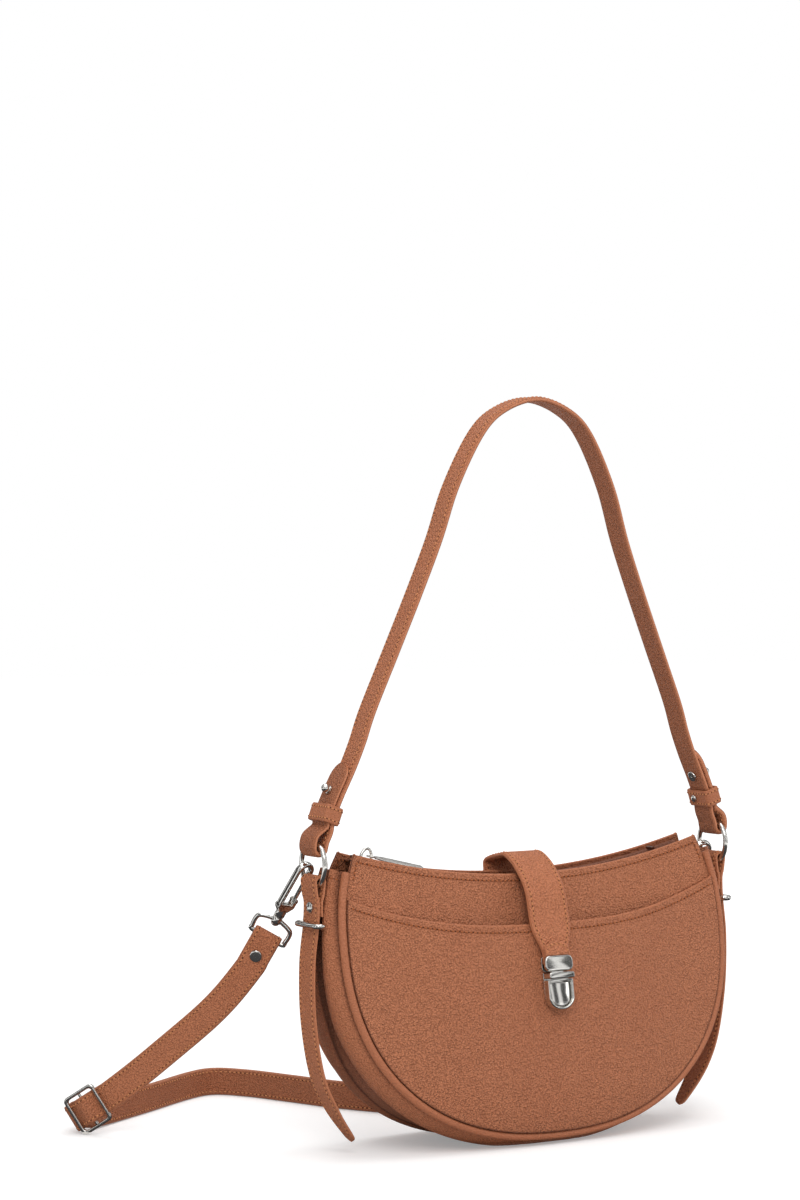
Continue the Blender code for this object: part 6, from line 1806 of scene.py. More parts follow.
bar = Shape()
bar_out = lock_seat + BAR_DEPTH
half_bar = LOCK_WIDTH / 2 - BAR_NARROWING
bar_top = BAR_HEIGHT / 2 - 0.2 * MM
half_slot = SLOT_WIDTH / 2
lock_box(bar, (-half_bar, half_bar), (BAR_FOOT, bar_top), (bar_out - BAR_FRONT_WALL, bar_out), BAR_BEVEL)
wall = (lock_seat, bar_out - BAR_FRONT_WALL / 2)
ease = 0.3 * MM
half_wall = half_bar - ease
lock_box(bar, (-half_wall, half_wall), (BAR_FOOT + ease, bar_top - SLOT_DEPTH), wall, WALL_BEVEL)
for side in (-1, 1):
    ends = (side * half_slot, side * half_wall)
    lock_box(bar, ends, (BAR_FOOT + ease, bar_top - ease), wall, WALL_BEVEL)
metal("lock_bar", bar, "bag")

button_width = SHIELD_WIDTH - 2 * SHIELD_RIM - 2 * SLIDE_GAP
button_height = SHIELD_HEIGHT - SHIELD_RIM - BUTTON_TRAVEL - 3 * SLIDE_GAP
button_top = under_bar - BUTTON_TRAVEL - 2 * SLIDE_GAP + BUTTON_RAISE
button = shield(button_width, button_height + BUTTON_RAISE, button_top)


def at_button(across, height, outwards):
    """Its face is a little round from side to side: out * (1 - (across / half)^2) * bulge."""
    bulge = BUTTON_BULGE * (1 - np.square(across / (button_width / 2)))
    return at_lock(across, height, outwards + bulge * (outwards - lock_seat) / BUTTON_DEPTH)


rings = plate_rings(button, lock_seat, lock_seat + BUTTON_DEPTH, BUTTON_BEVEL, at_button)
metal("lock_button", Shape().grid(rings), "lock_button")

plate_low = STRAP_OUT + FLAP_LEATHER / 2 + GAP
plate_middle = (0, PLATE_FOOT + PLATE_HEIGHT / 2)
plate_loop = round_corners(LOCK_WIDTH + 2 * PLATE_WIDENING, PLATE_HEIGHT, PLATE_END_CORNER, plate_middle)
rings = plate_rings(plate_loop, plate_low, plate_low + PLATE_DEPTH, PLATE_BEVEL, at_lock)
metal("lock_plate", Shape().grid(rings), "flap")
softened_copy("lock_base", "bag", BACK_BEVEL)
softened_copy("lock_clamp", "flap", BACK_BEVEL)
softened_copy("lock_tongue", "flap", TONGUE_BEVEL)
print("lock up", LOCK_UP.round(4), "out", LOCK_OUT.round(4))

# %% [markdown]
# ## Rings and side tabs
#
# A ring of round wire stands at each side. A strap is looped under it, riveted to itself, and left to hang
# as a tapered tail below an oval keeper ring. A wire is a circle carried along its line, and a closed line
# needs only its own plane as the way across.

# %% Rings and side tabs
RING_X = 152.0 * MM
RING_Z = 177.8 * MM
RING_RADIUS = 13.8 * MM
RING_WIRE = 1.6 * MM
TAB_WIDTH = 18.0 * MM
TAB_LEATHER = 2.0 * MM
TAB_TIP_WIDTH = 7.0 * MM
TAB_RIVET_Z = 152.0 * MM
TAB_RIVET_RADIUS = 3.4 * MM
TAB_RIVET_HEAD = 1.1 * MM
KEEPER_Z = 141.5 * MM
KEEPER_WIRE = 1.75 * MM
KEEPER_HALF_LENGTH = 12.8 * MM
TAB_ROW_START = 7 * MM
TAB_ROW_END = 3 * MM
TAB_SEAM_INSET = 2.4 * MM
TAB_TIP_ROUND = 4.0 * MM
SIDES = {"left": -1, "right": 1}


def wire_piece(part, line, normal, radius, body, side):
    """A round wire along a closed line that lies in one plane."""
    rings = carried(line, normal, 2 * radius, 2 * radius, round_section(14), closed=True)
    metal(part, Shape().grid(rings, closed=True), body, 80.0, side)


def ring_seat(width):
    """Where a strap of that width meets the inside of the ring: the side of a right triangle."""
    return sqrt((RING_RADIUS - RING_WIRE) ** 2 - (width / 2) ** 2)


def tab_line():
    """Corners of the tab's middle line for the right side, from its inner end to the tail's tip."""
    loop = RING_WIRE + GAP * 2 + TAB_LEATHER / 2
    low = RING_Z - ring_seat(TAB_WIDTH) + GAP + TAB_LEATHER / 2 - loop
    inner_x = RING_X - TAB_LEATHER / 2 - GAP / 2
    outer_x = RING_X + TAB_LEATHER / 2 + GAP / 2
    path = [(inner_x, KEEPER_Z + KEEPER_WIRE * 2 + TAB_LEATHER), (inner_x, TAB_RIVET_Z + TAB_RIVET_RADIUS)]
    path += [(RING_X - loop * 0.7, (TAB_RIVET_Z + low) / 2)]
    path += [(RING_X + loop * cos(t), low + loop * sin(t)) for t in np.linspace(pi, 0, 9)]
    path += [(RING_X + loop * 0.7, (TAB_RIVET_Z + low) / 2)]
    path += [(outer_x, TAB_RIVET_Z + TAB_RIVET_RADIUS), (outer_x, TAB_RIVET_Z - TAB_RIVET_RADIUS)]
    path += [(outer_x + GAP, KEEPER_Z + TAB_LEATHER), (outer_x + GAP * 2, KEEPER_Z - TAB_LEATHER)]
    drop = KEEPER_Z - TAB_LEATHER
    tail = ((0.165, 0.022), (0.40, 0.016), (0.64, -0.027), (0.80, -0.103), (0.945, -0.207))
    path += [(outer_x + reach * drop, drop * (1 - fall)) for fall, reach in tail]
    return smooth_line(path, 18), inner_x, outer_x


tab_flat, tab_inner_x, tab_outer_x = tab_line()
tab_flat = stepped(np.insert(tab_flat, 1, 0, axis=1), 1.0 * MM)
from_tip = line_length(tab_flat) - run_along(tab_flat)
tab_taper = TAB_TIP_WIDTH + (TAB_WIDTH - TAB_TIP_WIDTH) * np.clip(from_tip / (TAB_WIDTH * 1.6), 0, 1) ** 0.6
tab_width = tab_taper * np.sqrt(np.clip(1 - np.clip(1 - from_tip / TAB_TIP_ROUND, 0, 1) ** 2.2, 0.004, 1))
turn = np.linspace(0, 2 * pi, 96, endpoint=False)
for name, side in SIDES.items():
    round_y, round_z = RING_RADIUS * np.cos(turn), RING_Z + RING_RADIUS * np.sin(turn)
    circle = np.column_stack([0 * turn + side * RING_X, round_y, round_z])
    wire_piece("ring", circle, (1, 0, 0), RING_WIRE, f"ring_{name}", name)
    path = tab_flat * [side, 1, 1]
    strap(
        f"side_tab_leather_{name}", path, (0, 1, 0), tab_width, TAB_LEATHER, STRAP_LOOK, "bag",
        f"side_tab_{name}", power=14,
    )
    keep = (from_tip > TAB_ROW_START) & (from_tip < line_length(tab_flat) - TAB_ROW_END)
    tab_rows = strap_rows(path[keep], (0, 1, 0), tab_taper[keep], TAB_LEATHER, TAB_SEAM_INSET)
    put_stitches(f"side_tab_stitching_{name}", tab_rows, "bag")
    face = side * (tab_outer_x + TAB_LEATHER / 2 + GAP)
    head = turned_rings(dome(TAB_RIVET_RADIUS, TAB_RIVET_HEAD), (face, 0, TAB_RIVET_Z), (side, 0, 0))
    metal("tab_rivet", Shape().grid(head), "bag", side=name)
    near = tab_inner_x - TAB_LEATHER / 2 + KEEPER_WIRE - GAP
    far = tab_outer_x + 2 * GAP + TAB_LEATHER / 2 + GAP + KEEPER_WIRE
    corner, middle = (far - near) / 2, (far + near) / 2
    bend = np.linspace(0, pi, 18)
    keeper_x = middle + corner * np.concatenate([np.cos(bend), -np.cos(bend)])
    half_y = KEEPER_HALF_LENGTH - corner + corner * np.sin(bend)
    oval = np.column_stack([side * keeper_x, np.concatenate([half_y, -half_y]), np.full(36, KEEPER_Z)])
    oval = stepped(closed_up(oval), 1.2 * MM)[:-1]
    wire_piece("tab_keeper", oval, (0, 0, 1), KEEPER_WIRE, "bag", name)
print("tab length", round(line_length(tab_flat), 4))

# %% [markdown]
# ## Handle
#
# The handle is one long strap whose ends fold round the rings and come back up on the outside, where a
# leather band and a ball stud hold them. Its line is an arch drawn from a few corners. The tips are rounded
# points, and the layers stay a hair apart.

# %% Handle strap
HANDLE_WIDTH = 18.0 * MM
HANDLE_LEATHER = 3.2 * MM
HANDLE_APEX_Z = 464.5 * MM
HANDLE_LEAN = 8.0 * MM
HANDLE_LOOP_RADIUS = 4.0 * MM
HANDLE_BAND_RISE = 29.5 * MM
HANDLE_BAND_HEIGHT = 11.0 * MM
HANDLE_BAND_WALL = 1.6 * MM
HANDLE_ARCH_SHARES = ((0.951, 0.069), (0.941, 0.098), (0.904, 0.144), (0.852, 0.200), (0.808, 0.255))
HANDLE_ARCH_SHARES += ((0.763, 0.322), (0.660, 0.445), (0.557, 0.569), (0.467, 0.684), (0.388, 0.803))
HANDLE_ARCH_SHARES += ((0.270, 0.918), (0.158, 0.970), (0.0, 0.994))
STUD_BALL = 2.7 * MM
STUD_BASE = 2.6 * MM
STUD_NECK = 1.5 * MM
SCREW_RADIUS = 3.6 * MM
SCREW_THICK = 1.0 * MM
SCREW_DIMPLE = 0.9 * MM
BAND_STUD_RADIUS = 2.4 * MM
BAND_STUD_RISE = 1.5 * MM
BAND_STUD_SET_BACK = 3.0 * MM
HANDLE_ROW_START = 7.5 * MM
HANDLE_SEAM_INSET = 2.5 * MM
# Painted shade on the handle's inner face.
INNER_SHADE = 0.3


def handle_half():
    """Middle line of the right half: the end's lap, the fold under the ring, and up to the apex."""
    rise = HANDLE_APEX_Z - RING_Z
    arch = [(RING_X * across, RING_Z + rise * up) for across, up in HANDLE_ARCH_SHARES]
    strand = smooth_line(arch, 8)
    slope = unit(np.gradient(strand, axis=0))
    lap = strand + np.column_stack([slope[:, 1], -slope[:, 0]]) * (HANDLE_LEATHER + GAP * 1.3)
    loop = HANDLE_LOOP_RADIUS
    under = RING_Z + ring_seat(HANDLE_WIDTH) - GAP - HANDLE_LEATHER / 2 + loop
    fold = [tuple(lap[k]) for k in (25, 21, 17, 13, 9, 6, 3)]
    fold += [(RING_X + loop * 0.5, under + loop * 2), (RING_X + loop * 0.96, under + loop * 0.9)]
    fold += [(RING_X + loop * cos(t), under + loop * sin(t)) for t in np.linspace(0, -pi, 7)]
    fold.append((RING_X - loop * 1.2, under + loop * 0.8))
    return np.array(fold + arch)


half_line = handle_half()
handle_flat = smooth_line(np.vstack([half_line * [-1, 1], half_line[::-1][1:]]), 14)
handle_flat[:, 0] += np.clip((handle_flat[:, 1] - RING_Z) / (HANDLE_APEX_Z - RING_Z), 0, 1) * HANDLE_LEAN
handle_path = stepped(np.insert(handle_flat, 1, 0, axis=1), 1.3 * MM)
run = run_along(handle_path)
to_end = np.minimum(run, run[-1] - run)
tip = np.clip(to_end / (HANDLE_WIDTH * 0.62), 0, 1)
handle_width = HANDLE_WIDTH * np.clip(1 - (1 - tip) ** 2.3, 0.02, 1) ** 0.62
# The inner face takes painted shade through the seam number.
strap(
    "handle_strap_leather", handle_path, (0, 1, 0), handle_width, HANDLE_LEATHER, STRAP_LOOK, "handle",
    "handle_strap", power=12, seam=INNER_SHADE * (flat_section(12, 19)[:, 1] < -0.3),
)
sewn = to_end > HANDLE_ROW_START
outer_rows = strap_rows(
    handle_path[sewn], (0, 1, 0), handle_width[sewn], HANDLE_LEATHER, HANDLE_SEAM_INSET, (1,)
)
put_stitches("handle_stitching", outer_rows, "handle")
print("handle strap length", round(run[-1], 4))

# %% [markdown]
# ## Bands and studs of the handle
#
# The band is a strap carried round a rectangle with rounded corners, which lies square to the handle where
# the two layers cross its height. The ball stud and its screw back sit a little higher, one on each face.

# %% Bands and studs of the handle
BAND_CORNER = 1.6 * MM
BAND_SEAM_INSET = 2.1 * MM


def layer_spots(points, height):
    """Where the strap crosses a height, counted from its end: the outer layer, then the inner one."""
    drop = points[:, 2] - height
    crossing = np.flatnonzero(drop[:-1] * drop[1:] <= 0)[:2]
    a, b = points[crossing], points[crossing + 1]
    share = ((height - a[:, 2]) / (b[:, 2] - a[:, 2]))[:, None]
    return a + (b - a) * share, unit(b - a)


for name, side in SIDES.items():
    points = handle_path if side < 0 else handle_path[::-1]
    spots, ways = layer_spots(points, RING_Z + HANDLE_BAND_RISE)
    (band_outer, band_inner), band_along = spots, ways[1]
    across = np.array([0, 1.0, 0])
    outwards = np.cross(across, band_along)
    outwards = outwards * np.sign(outwards[0]) * side
    apart = float(np.dot(band_outer - band_inner, outwards))
    depth = apart + HANDLE_LEATHER + 5 * GAP
    centre = band_inner + outwards * apart / 2
    across_band = HANDLE_WIDTH + 2 * GAP + HANDLE_BAND_WALL
    loop = round_corners(depth + HANDLE_BAND_WALL, across_band, BAND_CORNER, steps=7)
    loop = stepped(closed_up(loop), 0.8 * MM)[:-1]
    line = centre + outwards * loop[:, :1] + across * loop[:, 1:2]
    strap(
        f"handle_band_leather_{name}", line, band_along, HANDLE_BAND_HEIGHT, HANDLE_BAND_WALL, SMOOTH_LOOK,
        "handle", f"handle_band_{name}", power=10, closed=True,
    )
    normal = directions(line, band_along, closed=True)[2]
    normal = closed_up(normal * np.sign(np.dot(normal[0], line[0] - centre)))
    band_rows = []
    for sign in (-1, 1):
        level = closed_up(line + band_along * sign * (HANDLE_BAND_HEIGHT / 2 - BAND_SEAM_INSET))
        band_rows.append((level + normal * HANDLE_BAND_WALL / 2, normal))
    put_stitches(f"handle_band_stitching_{name}", band_rows, "handle", pitch=2.8 * MM, length=2.0 * MM)
    seat = centre - outwards * (depth / 2 + HANDLE_BAND_WALL + GAP) + across * BAND_STUD_SET_BACK
    knob = turned_rings(dome(BAND_STUD_RADIUS, BAND_STUD_RISE), seat, -outwards)
    metal("band_stud", Shape().grid(knob), "handle", side=name)

    spots, ways = layer_spots(points, RING_Z + HANDLE_BAND_RISE + HANDLE_BAND_HEIGHT * 1.3)
    outwards = np.cross(across, ways[1])
    outwards = outwards * np.sign(outwards[0]) * side
    middle = STUD_NECK * 0.4 + STUD_BALL * 0.85
    bend = np.linspace(radians(-55), radians(88), 14)
    ball = np.vstack([
        [[0, 0], [STUD_BASE, 0], [STUD_BASE, GAP * 2], [STUD_NECK, GAP * 3]],
        np.column_stack([STUD_BALL * np.cos(bend), middle + STUD_BALL * np.sin(bend)]),
    ])
    stand = HANDLE_LEATHER / 2 + GAP * 1.5
    rings = turned_rings(ball, spots[0] + outwards * stand, outwards)
    metal("ball_stud", Shape().grid(rings), "handle", side=name)
    disc = [(0, 0), (SCREW_RADIUS, 0), (SCREW_RADIUS, SCREW_THICK * 0.6)]
    disc += [(SCREW_RADIUS * 0.93, SCREW_THICK * 0.9), (SCREW_RADIUS * 0.85, SCREW_THICK)]
    disc += [(SCREW_DIMPLE, SCREW_THICK), (SCREW_DIMPLE - 0.1 * MM, SCREW_THICK * 0.6)]
    rings = turned_rings(disc, spots[1] - outwards * stand, -outwards)
    metal("stud_screw", Shape().grid(rings), "handle", 50.0, name)
print("handle ends dressed")

# %% [markdown]
# ## Snap hooks
#
# Each hook is bent from one thick bar, with a block, a barrel and a stem on which the strap's eye turns. A
# small gate on a pin closes its mouth. All of them are drawn in the hook's own three directions.

# %% Snap hooks
HOOK_RADIUS = 5.4 * MM
HOOK_WIDTH = 4.4 * MM
HOOK_HANG = 1.1 * MM
HOOK_THICK = 2.8 * MM
HOOK_BLOCK_START = 23.5 * MM
HOOK_BLOCK_END = 29.0 * MM
HOOK_BARREL_END = 33.0 * MM
HOOK_BARREL_RADIUS = 3.3 * MM
HOOK_NECK_RADIUS = 1.4 * MM
HOOK_HEAD_RADIUS = 2.4 * MM
HOOK_HEAD_THICK = 1.4 * MM
HOOK_TIP_OVERHANG = 4.2 * MM
GATE_THICK = 2.2 * MM
GATE_WIDTH = 2.6 * MM
GATE_PIVOT = 20.6 * MM
LUG_THICK = 0.8 * MM
PIN_RADIUS = 0.7 * MM
PIN_HEAD = 0.5 * MM
OVERRUN = 2.0 * MM
EYE_COLLAR = 4.4 * MM
EYE_COLLAR_RADIUS = 3.2 * MM
EYE_WIRE = 1.5 * MM
EYE_HALF_WIDTH = 11.4 * MM
EYE_LENGTH = 13.0 * MM
HOOK_BLOCK_BEVEL = 0.9 * MM
LUG_BEVEL = 0.25 * MM
GATE_BEVEL = 0.4 * MM
BARREL_BEVEL = 0.5 * MM
COLLAR_BEVEL = 0.4 * MM
EYE_START = HOOK_BARREL_END + GAP
EYE_MIDDLE = EYE_START + EYE_COLLAR / 2
HOOK_TURNS = {"left": radians(-27), "right": radians(-32)}
HOOK_WAYS = {"left": (-0.27, 0.46, -0.845), "right": (0.12, 0.45, -0.885)}
EYE_SIDES = {"left": (-0.739, 0.464, 0.489), "right": (0.96, 0.10, 0.18)}
HOOK_FLIPS = {"left": -1, "right": 1}


class HookPlace:
    """A hook's own three directions: place = centre + along * u + sideways * v + square * w."""

    def __init__(self, name):
        turn = HOOK_TURNS[name]
        across, out, up = SIDES[name] * RING_X, RING_RADIUS * cos(turn), RING_Z + RING_RADIUS * sin(turn)
        wire_way = np.array([0, -sin(turn), cos(turn)])
        self.along = unit(HOOK_WAYS[name])
        self.square = unit(wire_way - np.dot(wire_way, self.along) * self.along)
        self.sideways = np.cross(self.square, self.along) * HOOK_FLIPS[name]
        self.axes = (self.along, self.sideways, self.square)
        self.centre = np.array([across, out, up]) - self.along * HOOK_HANG

    def at(self, u, v=0.0, w=0.0):
        """The places of whole arrays or of single numbers."""
        u, v, w = [np.asarray(value, float)[..., None] for value in (u, v, w)]
        return self.centre + self.along * u + self.sideways * v + self.square * w


def mirrored(corners):
    """Corners of one half, then the same ones backwards with v turned round."""
    return corners + [(u, -v) for u, v in reversed(corners)]


def hook_bend(spot):
    """The bar: down one side, half a circle round the ring, and up to the tip, where it thins."""
    bend = [spot.at(HOOK_BLOCK_START + HOOK_THICK / 2, -HOOK_RADIUS)]
    bend.append(spot.at(HOOK_BLOCK_START / 2, -HOOK_RADIUS))
    for turn in np.linspace(-pi / 2, pi / 2, 33):
        bend.append(spot.at(-HOOK_RADIUS * cos(turn), HOOK_RADIUS * sin(turn)))
    bend.append(spot.at(HOOK_TIP_OVERHANG, HOOK_RADIUS))
    line = stepped(bend, 0.7 * MM)
    nose = np.clip(np.arange(len(line))[::-1] / 3, 0, 1)
    wide, thick = HOOK_WIDTH * (0.75 + 0.25 * nose), HOOK_THICK * (0.7 + 0.3 * nose)
    return carried(line, spot.square, wide, thick, flat_section(4, 11))


def hook_block(spot):
    """The block behind the mouth: shoulders that taper to the barrel, all edges rolled."""
    half = HOOK_RADIUS + (HOOK_THICK + GAP) / 2
    shoulder = HOOK_BLOCK_START + HOOK_THICK * 0.8
    corners = [(HOOK_BLOCK_START, -half), (shoulder, -half), (HOOK_BLOCK_END, -HOOK_BARREL_RADIUS)]
    loop = even(closed_up(np.array(mirrored(corners))), 49)[:-1]
    thick = HOOK_WIDTH / 2 + GAP
    return plate_rings(loop, -thick, thick, HOOK_BLOCK_BEVEL, spot.at, both=True)


def hook_lugs(spot):
    """Two thin cheeks that hold the gate's pin between them."""
    length = HOOK_BLOCK_START - GATE_PIVOT + 2 * PIN_RADIUS + OVERRUN
    middle = HOOK_BLOCK_START + OVERRUN - length / 2
    size = (length, HOOK_THICK, LUG_THICK)
    for face in (-1, 1):
        place = spot.at(middle, HOOK_RADIUS, face * (HOOK_WIDTH + GAP - LUG_THICK) / 2)
        yield box_rings(place, size, spot.axes, LUG_BEVEL)


def hook_stem(spot):
    """Barrel, neck and head, turned about the hook's length."""
    start = HOOK_BLOCK_END - OVERRUN / 2
    barrel_end = HOOK_BARREL_END - start
    neck_end = HOOK_BARREL_END + EYE_COLLAR + 2 * GAP - start
    stem = [(0, 0), (HOOK_BARREL_RADIUS, 0), (HOOK_BARREL_RADIUS, barrel_end - BARREL_BEVEL)]
    stem += [(HOOK_BARREL_RADIUS - BARREL_BEVEL, barrel_end), (HOOK_NECK_RADIUS, barrel_end)]
    stem += [(HOOK_NECK_RADIUS, neck_end), (HOOK_HEAD_RADIUS, neck_end)]
    stem += [(HOOK_HEAD_RADIUS, neck_end + HOOK_HEAD_THICK * 0.5)]
    stem += [(HOOK_HEAD_RADIUS * 0.6, neck_end + HOOK_HEAD_THICK), (0, neck_end + HOOK_HEAD_THICK)]
    return turned_rings(stem, spot.at(start), spot.along)


def gate_rings(spot):
    """The gate: a bar from the tip of the hook to its block."""
    start, end = HOOK_TIP_OVERHANG + SLIDE_GAP, HOOK_BLOCK_START - SLIDE_GAP
    size = (end - start, GATE_THICK, GATE_WIDTH - 2 * SLIDE_GAP + GAP)
    return box_rings(spot.at((start + end) / 2, HOOK_RADIUS), size, spot.axes, GATE_BEVEL)


def pin_rings(spot):
    """The pin, with the same head at both ends."""
    reach = HOOK_WIDTH / 2 + GAP
    head = PIN_RADIUS * 1.6
    pin = [(PIN_RADIUS, reach), (head, reach), (head, reach + PIN_HEAD * 0.6)]
    pin += [(head * 0.8, reach + PIN_HEAD), (0, reach + PIN_HEAD)]
    pin = [(r, -h) for r, h in pin[::-1]] + pin
    return turned_rings(pin, spot.at(GATE_PIVOT, HOOK_RADIUS), spot.square, 20)


def strap_eye(spot, strap_side):
    """A collar that turns on the stem, and a rounded wire frame for the strap."""
    ease = COLLAR_BEVEL
    hole = HOOK_NECK_RADIUS + GAP
    collar = [(hole, 0), (EYE_COLLAR_RADIUS - ease, 0), (EYE_COLLAR_RADIUS, ease)]
    collar += [(EYE_COLLAR_RADIUS, EYE_COLLAR - ease), (EYE_COLLAR_RADIUS - ease, EYE_COLLAR)]
    collar += [(hole, EYE_COLLAR), (hole, 0)]
    eye = Shape().grid(turned_rings(collar, spot.at(EYE_START), spot.along), caps=False)
    corners = [(0, EYE_COLLAR_RADIUS - EYE_WIRE / 2), (EYE_WIRE, EYE_HALF_WIDTH * 0.72)]
    corners += [(EYE_LENGTH * 0.3, EYE_HALF_WIDTH), (EYE_LENGTH * 0.8, EYE_HALF_WIDTH)]
    corners.append((EYE_LENGTH, EYE_HALF_WIDTH * 0.85))
    flat = smooth_line(mirrored(corners), 10)
    line = spot.at(EYE_MIDDLE) + spot.along * flat[:, :1] + strap_side * flat[:, 1:]
    wire = (2 * EYE_WIRE, 2 * EYE_WIRE, round_section(14))
    return eye.grid(carried(stepped(line, 0.9 * MM), np.cross(spot.along, strap_side), *wire))


def snap_hook(name):
    """A hook with its gate, pin and eye. Gives back where the strap's bar is, and its two directions."""
    spot = HookPlace(name)
    hook = Shape().grid(hook_bend(spot)).grid(hook_block(spot))
    for rings in hook_lugs(spot):
        hook.grid(rings)
    metal("hook", hook.grid(hook_stem(spot)), f"hook_{name}", 55.0, name)
    metal("gate", Shape().grid(gate_rings(spot)), f"gate_{name}", 55.0, name)
    metal("gate_pin", Shape().grid(pin_rings(spot)), f"hook_{name}", 45.0, name)
    strap_side = np.array(EYE_SIDES[name])
    strap_side = unit(strap_side - np.dot(strap_side, spot.along) * spot.along)
    metal("strap_eye", strap_eye(spot, strap_side), "bag", 55.0, name)
    return spot.at(EYE_MIDDLE + EYE_LENGTH), spot.along, strap_side


strap_ends = {name: snap_hook(name) for name in SIDES}
for name, (eye, _, _) in strap_ends.items():
    print("strap eye", name, eye.round(5))

# %% [markdown]
# ## Strap slider
#
# A rounded frame with a bar across it takes up the strap's length. Its section is drawn between the outer
# and the inner outline, flat in front with sloping edges.

# %% Strap slider
STRAP_WIDTH = 18.0 * MM
STRAP_LEATHER = 1.8 * MM
STRAP_LAP = 22.0 * MM
STRAP_RIVET_RADIUS = 3.8 * MM
STRAP_RIVET_HEAD = 0.8 * MM
STRAP_FLOOR_GAP = 0.35 * MM
BUCKLE_LENGTH = 22.0 * MM
BUCKLE_WIDTH = 26.6 * MM
BUCKLE_WALL = 2.3 * MM
BUCKLE_THICK = 2.4 * MM
BUCKLE_CORNER = 3.2 * MM
BUCKLE_BAR = 1.0 * MM
BUCKLE_BAR_SET_BACK = 1.0 * MM
BUCKLE_SLOPE = radians(33.0)
STRAP_REACH = RING_X * 0.658
SLIDER_REACH_SHARES = (-1.528, 0.938)

heading = unit(np.array([0.75, -0.66, 0]))
BUCKLE_AWAY = np.array([-heading[1], heading[0], 0])
BUCKLE_ALONG = unit(heading * cos(BUCKLE_SLOPE) + np.array([0, 0, sin(BUCKLE_SLOPE)]))
BUCKLE_DOWN = np.cross(BUCKLE_AWAY, BUCKLE_ALONG)
BUCKLE_DOWN = BUCKLE_DOWN * -np.sign(BUCKLE_DOWN[2])
half_diagonal = BUCKLE_LENGTH / 2 * sin(BUCKLE_SLOPE) + BUCKLE_WIDTH / 2 * cos(BUCKLE_SLOPE)
corner_round = BUCKLE_CORNER * (sin(BUCKLE_SLOPE) + cos(BUCKLE_SLOPE) - 1)
slider_lift = half_diagonal - corner_round + STRAP_FLOOR_GAP
BUCKLE_CENTRE = np.array([RING_X * SLIDER_REACH_SHARES[0], RING_X * SLIDER_REACH_SHARES[1], slider_lift])


def at_buckle(loop, out):
    """Centre + along * u + down * v + away * out, for a loop of (u, v)."""
    return BUCKLE_CENTRE + loop[:, :1] * BUCKLE_ALONG + loop[:, 1:] * BUCKLE_DOWN + BUCKLE_AWAY * out


frame_outer = round_corners(BUCKLE_LENGTH, BUCKLE_WIDTH, BUCKLE_CORNER)
frame_inner = round_corners(
    BUCKLE_LENGTH - 2 * BUCKLE_WALL, BUCKLE_WIDTH - 2 * BUCKLE_WALL, BUCKLE_CORNER - BUCKLE_WALL / 2
)
FRAME_SECTION = ((0.06, 1), (0, 0.9), (0, -0.45), (0.05, -0.62), (0.22, -0.96), (0.3, -1), (0.7, -1))
FRAME_SECTION += ((0.78, -0.96), (0.95, -0.62), (1, -0.45), (1, 0.9), (0.94, 1))
buckle_loops = [
    at_buckle((1 - s) * frame_outer + s * frame_inner, out * BUCKLE_THICK / 2) for s, out in FRAME_SECTION
]
buckle = Shape().grid(np.stack(buckle_loops, axis=1), closed=True)
bar_reach = BUCKLE_WIDTH / 2 - BUCKLE_WALL / 2
bar = [(0, -bar_reach), (BUCKLE_BAR, -bar_reach), (BUCKLE_BAR, bar_reach), (0, bar_reach)]
buckle.grid(turned_rings(bar, BUCKLE_CENTRE + BUCKLE_AWAY * BUCKLE_BAR_SET_BACK, BUCKLE_DOWN, 20))
metal("strap_slider", buckle, "bag", 35.0)
print("slider centre", BUCKLE_CENTRE.round(5))

# %% [markdown]
# ## Crossbody strap
#
# One strip nearly a metre and a half long: folded on the left hook's eye, down through the slider, along
# the floor behind the bag, up to the right hook's eye, and back beside itself to the slider's bar. Its
# corners are shares of its reach, as in the measured model, and a curve through them gives the line.

# %% Crossbody strap
STRAP_LAP_SHARES = (1.0, 0.7, 0.42, 0.25)
STRAP_RIVET_SHARE = 0.62
STRAP_HANG_SHARES = ((0.245, 0.0217, -0.0158, -0.0287), (0.418, 0.0113, -0.0192, -0.0262))
STRAP_HANG_SHARES += ((0.58, 0.0163, -0.0082, -0.0177), (0.818, 0.0105, -0.0064, -0.0126))
STRAP_TURN_SHARES = (0.15, 0.4, 0.65, 0.9)
STRAP_WEAVE_SHARES = ((0.8, 0.6), (0.53, 1.7), (0.42, 1.6), (0.29, 0.55), (0.14, -1.25), (0.0, -1.9))
STRAP_WEAVE_SHARES += ((-0.14, -1.25), (-0.28, 0.5), (-0.37, 1.35))
STRAP_BEND_SHARES = ((-0.43, 2.0), (-0.53, 2.45), (-0.585, 3.5), (-0.56, 4.9), (-0.44, 6.4))
STRAP_FLOOR_SHARES = ((-2.12, 1.66), (-1.60, 1.97), (-1.15, 2.26), (-0.92, 2.33), (-0.76, 2.14))
STRAP_FLOOR_SHARES += ((-0.62, 1.78), (-0.47, 1.38), (-0.22, 1.02), (0.30, 0.80), (0.80, 0.71))
STRAP_SETTLE_SHARES = (0.6, 1, 1, 1, 1, 1, 1, 1, 1, 1)
STRAP_CLIMB_SHARES = ((1.18, 0.68, 0.15), (1.46, 0.62, 0.40), (1.57, 0.50, 0.82))
STRAP_TWIST_SHARES = (0.15, 0.45, 0.9)
STRAP_LAYER = STRAP_LEATHER / 2 + GAP * 0.6
LAP_STEPS = 60
HANG_STEPS = 300
LYING_Z = 0.03
LYING_FADE = 0.015
# Painted shade on the strap where it lies low on the floor.
LYING_SHADE = 0.2
STRAP_SEAM_INSET = 2.3 * MM


